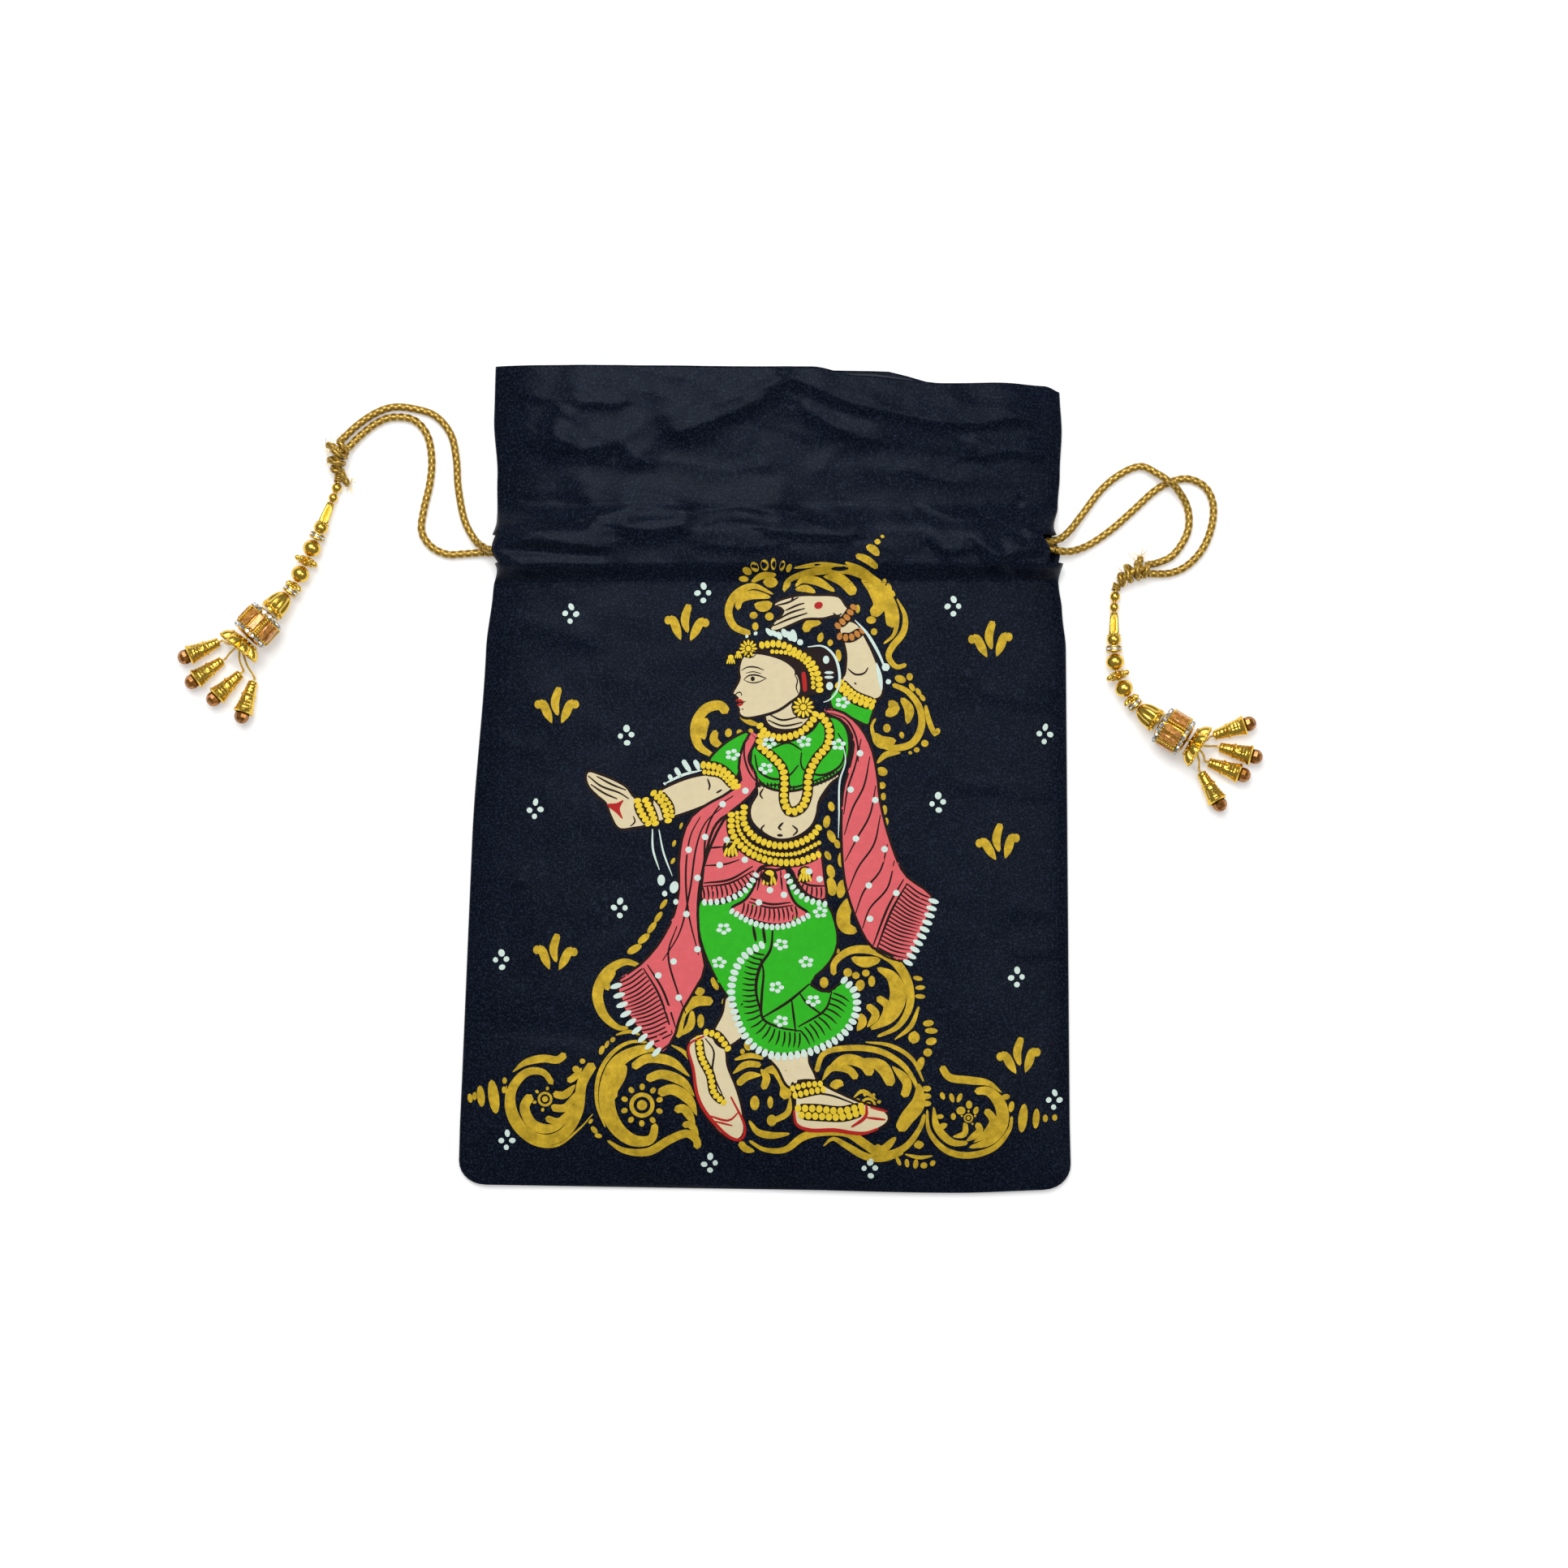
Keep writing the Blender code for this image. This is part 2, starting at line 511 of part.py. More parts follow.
def turned(name, profile, start, end, surface, collection, sides=SIDES, lobe_depth=0.0):
    """A turned piece on the line from start to end; the profile holds (radius, place) down its wall.

    With a lobe depth, its radius swells and sinks round the axis, as on a flower-shaped cap.
    """
    data = bpy.data.meshes.new(name)
    mesh = bmesh.new()
    points = [mesh.verts.new((radius, 0.0, -place)) for radius, place in profile]
    for a, b in zip(points, points[1:] + points[:1]):
        mesh.edges.new((a, b))
    if lobe_depth:
        bmesh.ops.spin(mesh, geom=mesh.verts[:] + mesh.edges[:], cent=(0, 0, 0), axis=(0, 0, 1),
                       angle=2 * math.pi, steps=sides, use_merge=True)
        widest = max(radius for radius, _ in profile)
        for vert in mesh.verts:
            out = math.hypot(vert.co.x, vert.co.y)
            wave = 0.5 - 0.5 * math.cos(LOBES * math.atan2(vert.co.y, vert.co.x))
            reach = max(0.0, (out / widest - LOBES_START_AT) / (1 - LOBES_START_AT))
            sink = 1 - lobe_depth * wave * reach
            vert.co.x *= sink
            vert.co.y *= sink
        bmesh.ops.recalc_face_normals(mesh, faces=mesh.faces)
    mesh.to_mesh(data)
    mesh.free()
    item = add_object(name, data, surface, collection, 35)
    if not lobe_depth:
        screw = item.modifiers.new("Turn", "SCREW")
        screw.steps = sides
        screw.render_steps = sides
        screw.use_merge_vertices = True
        screw.merge_threshold = 0.00001
    start, end = Vector(start), Vector(end)
    item.rotation_euler = (start - end).to_track_quat("Z", "Y").to_euler()
    item.location = start
    return item


def ball(length, diameter, steps=4):
    """A bead's wall from its top hole to its lower one, and back up its bore."""
    radius = diameter / 2
    reach = math.asin(THREAD_BORE / radius)
    profile = []
    for step in range(steps + 1):
        angle = reach + (math.pi - 2 * reach) * step / steps
        height = math.cos(angle) / math.cos(reach)
        profile.append((radius * math.sin(angle), length / 2 * (1 - height)))
    return profile


def walled(length, diameter, wall):
    """A strung piece's outline: its bore's top end, its wall, and the lower end of its bore."""
    corners = [(share * diameter / 2, place * length) for share, place in wall]
    return [(THREAD_BORE, 0.0)] + corners + [(THREAD_BORE, corners[-1][1])]


# Strung pieces from the knot down: name, size, wall (none for a ball), finish, and depth of the lobes
STRUNG_PIECES = (
    ("small_bead", SMALL_BEAD, None, "gold", 0.0),
    ("small_bead_lower", SMALL_BEAD_LOWER, None, "gold", 0.0),
    ("fluted_cone", FLUTED_CONE, CONE_WALL, "gold", 0.0),
    ("rondelle", RONDELLE, RONDELLE_WALL, "stones", 0.0),
    ("round_bead", ROUND_BEAD, None, "gold", 0.0),
    ("star_spacer", STAR_SPACER, SPACER_WALL, "gold", 0.3),
    ("round_bead_lower", ROUND_BEAD, None, "gold", 0.0),
    ("star_cap", STAR_CAP, CAP_WALL, "gold", 0.2),
    ("rondelle_lower", RONDELLE, RONDELLE_WALL, "stones", 0.0),
    ("dome_cap", DOME_CAP, DOME_WALL, "gold", 0.12),
    ("crystal_barrel", CRYSTAL_BARREL, BARREL_WALL, "crystal", 0.0),
    ("flower_cap", FLOWER_CAP, FLOWER_WALL, "gold", 0.2),
)


def at_length(line, length):
    """The point that lies a length along a fine line; past its end the line runs on straight."""
    for a, b in zip(line, line[1:]):
        step = (b - a).length
        if length <= step:
            return a.lerp(b, length / step)
        length -= step
    return line[-1] + (line[-1] - line[-2]).normalized() * length


def bell_profile():
    top, mouth, ring = BELL_TOP_DIAMETER / 2, BELL_MOUTH_DIAMETER / 2, BELL_RING_DIAMETER / 2
    low = BELL_RING_AT + BELL_RING_WIDTH
    at_ring = top + (mouth - top) * BELL_FLARE_AT_RING
    return [(DROP_BORE, 0.0), (top, 0.0), (at_ring, BELL_RING_AT), (ring, BELL_RING_AT + BELL_RING_BEVEL),
            (ring, low - BELL_RING_BEVEL), (at_ring, low), (mouth, BELL_LENGTH),
            (mouth - BELL_WALL, BELL_LENGTH), (at_ring - BELL_WALL, low),
            (DROP_BORE, BELL_HOLLOW_FROM * BELL_LENGTH)]


def drop(side, number, place, hang, collection, surfaces):
    """A bell on its thread, with the crystal bead that closes its mouth."""
    top, aim = place
    way = (aim - top).normalized()
    mouth = top + way * BELL_LENGTH
    turned(f"{side}_bell_{number}", bell_profile(), top, mouth, surfaces["gold"], collection, BELL_SIDES)
    bead_at = mouth + way * BELL_BEAD_BEYOND
    data = bpy.data.meshes.new(f"{side}_bell_bead_{number}")
    mesh = bmesh.new()
    bmesh.ops.create_uvsphere(mesh, u_segments=8, v_segments=6, radius=BELL_BEAD_DIAMETER / 2)
    mesh.to_mesh(data)
    mesh.free()
    bead = add_object(f"{side}_bell_bead_{number}", data, surfaces["crystal"], collection)
    bead.location = bead_at
    bead.rotation_euler = way.to_track_quat("Z", "Y").to_euler()
    inside = bead_at - way * (BELL_BEAD_DIAMETER / 2 + FIT_GAP)
    rise = Vector((0, 0, DROP_ARCH))
    route = [hang, hang.lerp(top, DROP_ARCH_AT) + rise, top - way * DROP_LEAD_IN, top, inside]
    tube(f"{side}_drop_thread_{number}", route, DROP_THREAD_DIAMETER, surfaces["thread"],
         collection, None, 1)


def tassel(side, string, bells, collection, surfaces):
    """The pieces on one tassel's thread, each placed by its length along the way the thread lies."""
    line = smooth_route(with_slits(string))
    travelled = FIRST_PIECE_AT
    thread_points = [line[0]]
    for name, (length, diameter), wall, finish, lobe_depth in STRUNG_PIECES:
        start, end = at_length(line, travelled), at_length(line, travelled + length)
        end = start + (end - start).normalized() * length
        profile = walled(length, diameter, wall) if wall else ball(length, diameter)
        turned(f"{side}_{name}", profile, start, end, surfaces[finish], collection,
               LOBED_SIDES if lobe_depth else SIDES, lobe_depth)
        thread_points += [start, end]
        travelled += length + FIT_GAP + STRING_SLACK * diameter
    way = (thread_points[-1] - thread_points[-2]).normalized()
    cup_floor = thread_points[-2] + way * (FLOWER_CAP[0] * CUP_THREAD_END)
    thread_points[-1] = cup_floor
    tube(f"{side}_tassel_thread", thread_points, THREAD_DIAMETER, surfaces["thread"], collection, None, 1)
    across = Vector((way.y, -way.x, 0)).normalized()
    places = [with_slits(bell) for bell in bells]
    order = sorted(places, key=lambda place: (place[0] - cup_floor).dot(across))
    for number, place in enumerate(places, 1):
        aside = (order.index(place) - (len(places) - 1) / 2) * DROP_SPACING
        drop(side, number, place, cup_floor + way * DROP_SPACING + across * aside, collection, surfaces)


def build():
    for item in list(bpy.data.objects):
        bpy.data.objects.remove(item)
    collection = new_collection("potli_bag")
    surfaces = {
        "gold": material("polished_gold", (0.83, 0.58, 0.22), 0.22, 1.0),
        "stones": material("stone_set_gold", (0.80, 0.72, 0.55), 0.25, 0.8),
        "crystal": material("amber_crystal", (0.30, 0.13, 0.05), 0.12, 0.0),
        "thread": material("gold_thread", (0.72, 0.52, 0.20), 0.55, 0.3),
        "cord": material("metallic_cord", (0.72, 0.48, 0.16), 0.42, 0.6),
    }
    outer_shell(collection, material("navy_taffeta", (0.012, 0.016, 0.028), 0.45, 0.0))
    lining(collection, material("lining_cloth", (0.020, 0.022, 0.030), 0.7, 0.0))
    drawcord("drawcord_left", LEFT_CORD_ROUTE, collection, surfaces["cord"])
    drawcord("drawcord_right", RIGHT_CORD_ROUTE, collection, surfaces["cord"])
    knot("left_knot", LEFT_KNOT, collection, surfaces["cord"])
    knot("right_knot", RIGHT_KNOT, collection, surfaces["cord"])
    tassel("left", LEFT_STRING, LEFT_BELLS, collection, surfaces)
    tassel("right", RIGHT_STRING, RIGHT_BELLS, collection, surfaces)


build()
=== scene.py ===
"""Potli bag, dressed: painted navy taffeta, braided gold drawcords and beaded bell tassels.

The bag lies on its back with its mouth towards +Y and its painted front up. Single lengths are in metres,
and tables of places are in millimetres.
"""

import math
import random

import bmesh
import bpy
from bpy.props import FloatProperty, FloatVectorProperty, IntProperty, PointerProperty
from mathutils import Matrix, Vector, noise
from mathutils.bvhtree import BVHTree


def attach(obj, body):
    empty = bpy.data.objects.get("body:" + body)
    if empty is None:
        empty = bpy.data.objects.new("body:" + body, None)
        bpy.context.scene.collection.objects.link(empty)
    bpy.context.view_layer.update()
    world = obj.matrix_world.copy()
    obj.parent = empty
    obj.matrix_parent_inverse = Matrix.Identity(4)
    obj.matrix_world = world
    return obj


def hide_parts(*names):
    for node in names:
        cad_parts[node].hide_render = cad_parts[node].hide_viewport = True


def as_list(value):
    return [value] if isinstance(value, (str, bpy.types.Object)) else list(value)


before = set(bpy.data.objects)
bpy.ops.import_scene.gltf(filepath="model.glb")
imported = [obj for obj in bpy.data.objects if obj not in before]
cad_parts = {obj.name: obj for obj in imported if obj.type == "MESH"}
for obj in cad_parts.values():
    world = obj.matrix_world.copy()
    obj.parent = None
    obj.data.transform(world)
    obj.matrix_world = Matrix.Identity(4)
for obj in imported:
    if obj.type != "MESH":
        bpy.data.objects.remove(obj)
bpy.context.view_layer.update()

bl_info = {
    "name": "Painted Potli Bag",
    "version": (1, 0, 0),
    "blender": (4, 5, 0),
    "location": "3D View > Sidebar > Potli",
    "description": "Makes a painted drawstring pouch with gold cords and beaded tassels",
    "category": "Object",
}

BODY = "root"
MM = 0.001


def mm(value):
    """A length or a table of lengths, from millimetres to metres."""
    return tuple(mm(item) for item in value) if isinstance(value, tuple) else value * MM


# The pouch's outline and section, as its solids have them
BAG_LENGTH = 0.2846
BASE_WIDTH = 0.2114
MOUTH_WIDTH = 0.1970
MOUTH_SHIFT = 0.0045
CORNER_RADIUS = 0.0090
FRILL_HEIGHT = 0.0468
CASING_WIDTH = 0.0280
SLIT_WIDTH = 0.0100
SLIT_BELOW_CASING_TOP = 0.0113
SHELL_WALL = 0.0008
LINING_WALL = 0.0005
LINING_GAP = 0.0005
CORD_DIAMETER = 0.0028
TUNNEL_GAP = 0.0004
CASING_ROOM = 0.0050
BODY_THICKNESS = 0.0116
SEAM_RADIUS = 0.0013
CASING_SIDE_RADIUS = 0.0054
BASE_SWELL = 0.0400
LINING_SIDE_INSET = 0.0070
LINING_CASING_INSET = 0.0190
LINING_BASE_INSET = 0.0100
LINING_RIM_DROP = 0.0012
LEFT_DRAWN_IN = mm((
    (-20, 0), (45, 2), (66, 3.6), (72, 4.8), (79, 1.4), (89, 4), (104, 3.4), (125, 1.4), (142, 1.2),
))
RIGHT_DRAWN_IN = mm((
    (-20, 0), (45, 0), (58, 1.2), (68, 2.4), (78, 0.2), (87, 4), (94, 2.4), (106, 1.6), (125, 0.8),
    (142, 1.4),
))
FRONT_HEM_DROP = mm((
    (-95, 0), (16, 1.1), (32, 4.2), (61, 6.6), (81, 6.2), (96, 7), (103, 9.2),
))
BACK_HEM_DROP = mm((
    (-95, 0), (16, 1.1), (40, 1.4), (61, 5.8), (81, 6.2), (96, 7), (103, 9.2),
))
BASE_LIFT = mm((
    (-106, 2.8), (-50, 2.6), (66, 0), (106, 1.2),
))

# Folds of the frill and the casing: from one point to another, the width and the height of each
FOLDS = mm((
    ((-90, 132), (4, 132), 8.5, 0.56), ((14, 124), (70, 118), 6, 0.6), ((-36, 121), (4, 112), 6, 0.52),
    ((20, 107), (88, 104), 5.5, 0.48), ((-72, 118), (-64, 102), 5, 0.52), ((-86, 103), (-48, 99), 4, 0.32),
    ((82, 131), (94, 118), 5, 0.4), ((-90, 86), (-62, 84), 4, 0.52), ((-56, 89), (-4, 83), 4.5, 0.44),
    ((-88, 74), (-58, 71), 3.5, 0.4), ((2, 78), (36, 78), 3.5, 0.4), ((58, 82), (70, 70), 3.5, 0.48),
    ((74, 81), (83, 69), 3.5, 0.48), ((88, 79), (94, 69), 3, 0.4),
))

# Fine creases that only the cloth's surface has; a negative height is a sunk crease
CREASES = mm((
    ((66, -1), (99, -4.4), 1.6, 0.8), ((86, -44), (103, -45.6), 1.8, 0.9),
    ((86, -58), (103, -59.2), 1.8, 0.9), ((78, 30), (100, 26.2), 2.2, 0.9),
    ((-103, -82.8), (-58, -88.8), 1.4, -0.4), ((-101, 15), (-78, 10.5), 2.2, 0.4),
    ((-103, -30), (-84, -34), 2.2, 0.4), ((-92, 56), (-60, 48), 3, 0.5), ((-91, 79.2), (-56, 76.8), 2, -1),
    ((-92, 83), (-70, 90.5), 1.7, -0.6), ((-93, 77), (-74, 69), 1.7, 0.6), ((56, 80), (64, 69), 1.3, -0.7),
    ((70, 81), (77, 69.5), 1.3, -0.7), ((81, 80), (87, 69.2), 1.3, -0.7), ((87, 96), (88, 83), 1.2, -0.6),
    ((89, 83), (74, 90), 1.6, -0.6), ((92, 78), (80, 76.5), 1.4, 0.5), ((-16, 129), (2, 136), 1.4, 0.3),
))
# Folds of the frill and the casing, each along its crest: a long slope towards the mouth, and below the
# crest a short steep one as wide as named, which the light misses; then the fold's height
CRESTS = mm((
    (((-29, 119), (-12, 125), (-2, 130), (6, 138)), 4.6, 2.21),
    (((10, 137.5), (24, 132.5), (42, 128.5), (60, 125.5), (74, 125), (88, 128)), 5.2, 2.47),
    (((14, 127), (24, 121), (35, 117.5)), 3.4, 1.69), (((-90, 115.5), (-80, 116.5), (-70, 113)), 4.4, 1.82),
    (((-72, 118), (-62, 113), (-50, 115), (-44, 110)), 5.8, 2.34),
    (((75, 112), (84, 114.5), (95, 112.5)), 4, 1.95), (((-64, 129), (-50, 128.5)), 1.8, 0.78),
    (((-88, 133), (-74, 130), (-68, 125)), 2.4, 0.78),
    (((-57, 90), (-44, 93.5), (-26, 91.5), (-8, 93.5), (4, 91.5)), 4.6, 1.95),
    (((-47, 86), (-38, 85), (-28, 87)), 4.4, 1.69), (((-90, 81.5), (-76, 81.2), (-58, 79)), 2.6, 1.56),
    (((2, 85), (14, 83.5), (29, 83)), 2.6, 1.3), (((64, 78), (73, 80), (79, 77)), 2.4, 1.43),
    (((80, 74), (87, 79), (94, 79)), 2.4, 1.43), (((56, 93), (66, 89), (74, 90)), 2.2, 0.78),
    (((-20, 80), (-6, 78.8), (4, 80)), 2, 0.65),
))

# Drawcord routes: from the knot, through the front of the casing, round, back and to the knot again
LEFT_CORD_ROUTE = mm((
    (-146.5, 116.2, 2.6), (-140.4, 122.1, 1.7), (-134, 126.4, 1.5), (-127.8, 128.4, 1.5),
    (-120.8, 127.8, 1.5), (-113.5, 125.3, 1.5), (-108.2, 118.9, 1.5), (-106.3, 110.2, 1.5),
    (-105.7, 100.9, 1.5), (-103.6, 89.7, 1.5), (-100, 82.8, 2.4), (-96.8, 80, 4.8), (-93, 78.6, 6.3),
    (-88, 77.2, 8), (-79, 77, 9.8), (-60, 77, 11.2), (-33, 77, 12), (4, 77, 12.2), (42, 77, 12),
    (69, 77, 11.2), (84, 77, 10.1), (90.5, 77, 8.6), (93, 77, 6), (90.5, 77, 3.4), (84, 77, 2.6),
    (60, 77, 2.6), (0, 77, 2.6), (-60, 77, 2.6), (-86, 77, 2.6), (-92, 77.8, 2.6), (-97, 78.2, 1.8),
    (-103.5, 77.8, 1.5), (-109.6, 77.7, 1.5), (-115.2, 80.5, 1.5), (-118.3, 85.8, 1.5), (-117.5, 93.1, 1.5),
    (-115.5, 101.8, 1.5), (-114.8, 110.2, 1.5), (-116.3, 118.5, 1.5), (-120.8, 123.8, 1.5),
    (-127.8, 124.9, 1.5), (-133.5, 123, 1.5), (-139.2, 118.6, 1.8), (-143.6, 114, 2.8),
))
RIGHT_CORD_ROUTE = mm((
    (131.9, 74, 2.8), (135.6, 74.8, 1.8), (140.7, 77.4, 1.5), (145, 83.6, 1.5), (146.2, 89.5, 1.5),
    (145, 95.3, 1.8), (141.3, 100.7, 3.6), (138.4, 103, 4.7), (135.2, 105.2, 3.6), (129.6, 107.9, 1.8),
    (122.8, 105.4, 1.5), (115.9, 99.8, 1.5), (109.2, 91.1, 2), (105.2, 86, 3.4), (101.5, 82.8, 4.6),
    (97.2, 81.7, 6.2), (92.5, 81.1, 8.4), (84, 81, 10.1), (69, 81, 11.2), (42, 81, 12), (4, 81, 12.2),
    (-33, 81, 12), (-60, 81, 11.2), (-76, 81, 10.1), (-83.5, 81, 8.6), (-86.1, 81, 6), (-83.5, 81, 3.4),
    (-76, 81, 2.6), (-50, 81, 2.6), (0, 81, 2.6), (60, 81, 2.6), (90, 81, 2.7), (95.5, 80.2, 3.6),
    (100, 79, 4.4), (104.9, 78.5, 3.4), (111.6, 80.8, 1.55), (119.4, 86.1, 1.5), (127, 92.8, 1.5),
    (134, 99.2, 1.5), (139.9, 102.6, 1.5), (146, 103.6, 1.5), (151.6, 100.9, 1.5), (154.4, 95.3, 1.5),
    (154.1, 87.8, 1.5), (151.1, 79.9, 1.5), (146, 74.1, 1.5), (139.9, 71.2, 1.7), (131.9, 70.8, 2.8),
))
# Which of a route's points end its two strands at the slit, and how finely a route is drawn between points
LEFT_SLIT_POINTS = (11, 30)
RIGHT_SLIT_POINTS = (15, 33)
ROUTE_PIECES = 24

# Knots: the points down the middle of each lump, and its radius there
LEFT_KNOT = mm((
    ((-145.2, 114.7, 3.2), 3), ((-146.9, 112.1, 3.9), 3.8), ((-147.1, 108.5, 3.4), 3.3),
    ((-146.7, 105.5, 2.4), 2.1),
))
RIGHT_KNOT = mm((
    ((131.4, 72.4, 3.2), 3), ((128.2, 72.2, 3.9), 3.8), ((124.7, 70.2, 3.4), 3.3), ((122, 67.8, 2.4), 2.1),
))

# The frayed cut ends that stand out of each knot
LEFT_TAILS = mm((
    ((-146.6, 107.2, 3.6), (-145.2, 104.6, 3), (-143.6, 101.4, 2.2)),
    ((-146.4, 113, 5), (-148.3, 114.4, 4.8), (-150.4, 115.2, 3.6)),
))
RIGHT_TAILS = mm((((128.4, 72.8, 4), (129, 74.6, 3.6), (129.3, 76.4, 2.8)),))
TAIL_RADIUS = 0.0013
WOUND_DIAMETER = 0.0022
KNOT_TURNS = 3.6
KNOT_STEPS = 240
WHIPPING_REACH = 0.0012
WHIPPING_RADIUS = 0.00045
WHIPPING_POINTS = 24

# Tassel strings, and the top of each bell with the place that its mouth points to
THREAD_DIAMETER = 0.0010
THREAD_GAP = 0.0003
FIT_GAP = 0.0003
FIRST_PIECE_AT = 0.0028
STRING_SLACK = 0.04
LEFT_STRING = mm((
    (-146.68, 104.9, 2.4), (-147.4, 100.1, 2.4), (-149.2, 95.7, 2.6), (-153.3, 85.3, 3.5),
    (-156.2, 78.7, 4.1), (-159.3, 71.4, 4.7), (-162.2, 66, 5), (-166.4, 60.8, 6.2), (-173.4, 53.9, 7.6),
    (-178.8, 47.4, 8.5), (-182, 43.3, 8.8),
))
RIGHT_STRING = mm((
    (121.4, 67.4, 2.4), (120.6, 63.6, 2.4), (120.3, 58.7, 2.6), (120.1, 46.9, 3.5), (120.3, 41.3, 4.1),
    (121.1, 36.6, 4.5), (123, 32, 4.8), (126.3, 26.8, 5.2), (131.2, 22.3, 6.3), (139.4, 17, 7.7),
    (147, 12.4, 8.6), (152.4, 9.2, 8.9),
))
LEFT_BELLS = mm((
    ((-188, 47.4, 2.1), (-198.5, 42.6, 3.8)), ((-186.8, 41, 2.1), (-195.7, 34.6, 3.8)),
    ((-180.6, 36.5, 2.1), (-188.6, 28.7, 3.8)), ((-176.2, 33.8, 2.1), (-179.3, 23.6, 3.8)),
))
RIGHT_BELLS = mm((
    ((154.6, 15.2, 2.1), (165.5, 18.9, 3.8)), ((156.6, 11.2, 2.1), (167.6, 8.2, 3.8)),
    ((152.8, 6, 2.1), (163.5, 2, 3.8)), ((150.2, 2.4, 2.1), (155.9, -7.6, 3.8)),
))
DROP_THREAD_DIAMETER = 0.0008
DROP_THREAD_GAP = 0.0003
DROP_SPACING = 0.0013
BELL_LENGTH = 0.0115
BELL_TOP_DIAMETER = 0.0032
BELL_MOUTH_DIAMETER = 0.0070
BELL_RING_AT = 0.0051
BELL_WALL = 0.0004
BELL_BEAD_DIAMETER = 0.0054
BELL_BEAD_BEYOND = 0.0012

# Levels that follow from the sizes above
MOUTH_Y = BAG_LENGTH / 2
BASE_Y = -MOUTH_Y
CASING_TOP_Y = MOUTH_Y - FRILL_HEIGHT
CASING_FOOT_Y = CASING_TOP_Y - CASING_WIDTH
SLIT_TOP_Y = CASING_TOP_Y - SLIT_BELOW_CASING_TOP
SLIT_FOOT_Y = SLIT_TOP_Y - SLIT_WIDTH
TUNNEL_DEPTH = SHELL_WALL + TUNNEL_GAP + CORD_DIAMETER + TUNNEL_GAP
CASING_THICKNESS = 2 * (TUNNEL_DEPTH + LINING_WALL) + CASING_ROOM
THREAD_BORE = THREAD_DIAMETER / 2 + THREAD_GAP
DROP_BORE = DROP_THREAD_DIAMETER / 2 + DROP_THREAD_GAP

# How far in from the side seams the folds start, and how wide the stretch is over which they rise
SEAM_LEAD_IN = 0.003
FOLD_FADE = 0.008

# Mesh fineness: columns across the front and the back, steps round each side, and bands of rings
SHELL_GRID = (150, 30, 8)
LINING_GRID = (60, 16, 5)
SHELL_BANDS = (7, 22, 66, 20, 15, 20, 60)
LINING_BANDS = (4, 10, 24, 8, 6, 8, 24)


def size(name, words, default, low=0.0):
    return FloatProperty(name=name, description=words, default=default, min=low, unit="LENGTH", precision=5)


def share(name, words, default, high=1.0):
    return FloatProperty(name=name, description=words, default=default, min=0.0, max=high)


def colour(name, words, default):
    return FloatVectorProperty(name=name, description=words, default=default, subtype="COLOR",
                               min=0.0, max=1.0, size=3)


class PotliClothSettings(bpy.types.PropertyGroup):
    """The taffeta, its lining and its stitches"""
    shade: colour("Taffeta", "Colour of the navy taffeta", (0.0020, 0.0032, 0.0078))
    sheen: colour("Taffeta sheen", "Tint of the cloth where it catches the light", (0.26, 0.38, 0.66))
    lining_shade: colour("Lining", "Colour of the lining cloth", (0.018, 0.020, 0.030))
    ripple: size("Ripple height", "How high the cloth's soft ripples stand", 0.00042)
    ripple_spread: size("Ripple spread", "How far apart the soft ripples lie", 0.021, 0.001)
    stitch: size("Stitch length", "Length of one machine stitch", 0.0021, 0.0005)
    stitch_gap: size("Stitch gap", "Cloth between two stitches", 0.0009, 0.0001)
    stitch_thread: size("Stitch thread", "Thickness of the sewing thread", 0.00024, 0.0001)


class PotliCordSettings(bpy.types.PropertyGroup):
    """The braided gold drawcords"""
    shade: colour("Braid", "Colour of the metallic braid", (0.70, 0.41, 0.045))
    # The groove colour is painted shade: the dark laid between the braid's strands, where shade falls.
    groove_shade: colour("Braid groove", "Colour deep between the braid's strands", (0.135, 0.055, 0.008))
    pitch: size("Braid pitch", "Length of one full turn of a strand", 0.0052, 0.001)
    relief: share("Braid relief", "How deep the braid's grooves are, as a share of its radius", 0.24)
    strands: IntProperty(name="Strands", description="Strands wound each way", default=4, min=2, max=8)


class PotliPaintSettings(bpy.types.PropertyGroup):
    """The hand-painted front"""
    gold: colour("Gold paint", "Colour of the scrolls", (0.80, 0.53, 0.035))
    bright_gold: colour("Trim gold", "Colour of the painted jewellery", (0.92, 0.66, 0.04))
    copper: colour("Copper", "Colour of the raised arm's bangles", (0.62, 0.25, 0.05))
    skin: colour("Skin", "Colour of the figure's skin", (0.78, 0.67, 0.42))
    green: colour("Green", "Colour of the blouse and the dress", (0.030, 0.50, 0.014))
    pink: colour("Pink", "Colour of the scarf and the waist cloth", (0.80, 0.135, 0.150))
    white: colour("White", "Colour of the dots and fringes", (0.70, 0.86, 0.78))
    dark: colour("Dark", "Colour of the outlines", (0.010, 0.0035, 0.0025))
    red: colour("Red", "Colour of the palms, lips and soles", (0.50, 0.018, 0.016))


class PotliTasselSettings(bpy.types.PropertyGroup):
    """The beads, caps, stones and bells"""
    gold: colour("Gold", "Colour of the plated metal", (0.84, 0.55, 0.085))
    amber: colour("Amber", "Colour of the barrel's tall stones", (0.58, 0.24, 0.035))
    clear: colour("Clear stones", "Colour of the small set stones", (0.66, 0.65, 0.60))
    crystal: colour("Bell beads", "Colour of the brown crystal beads", (0.34, 0.125, 0.008))
    flutes: IntProperty(name="Flutes", description="Flutes round each cone and dome",
                        default=12, min=6, max=24)
    petals: IntProperty(name="Petals", description="Petals round each flower cap", default=8, min=5, max=12)


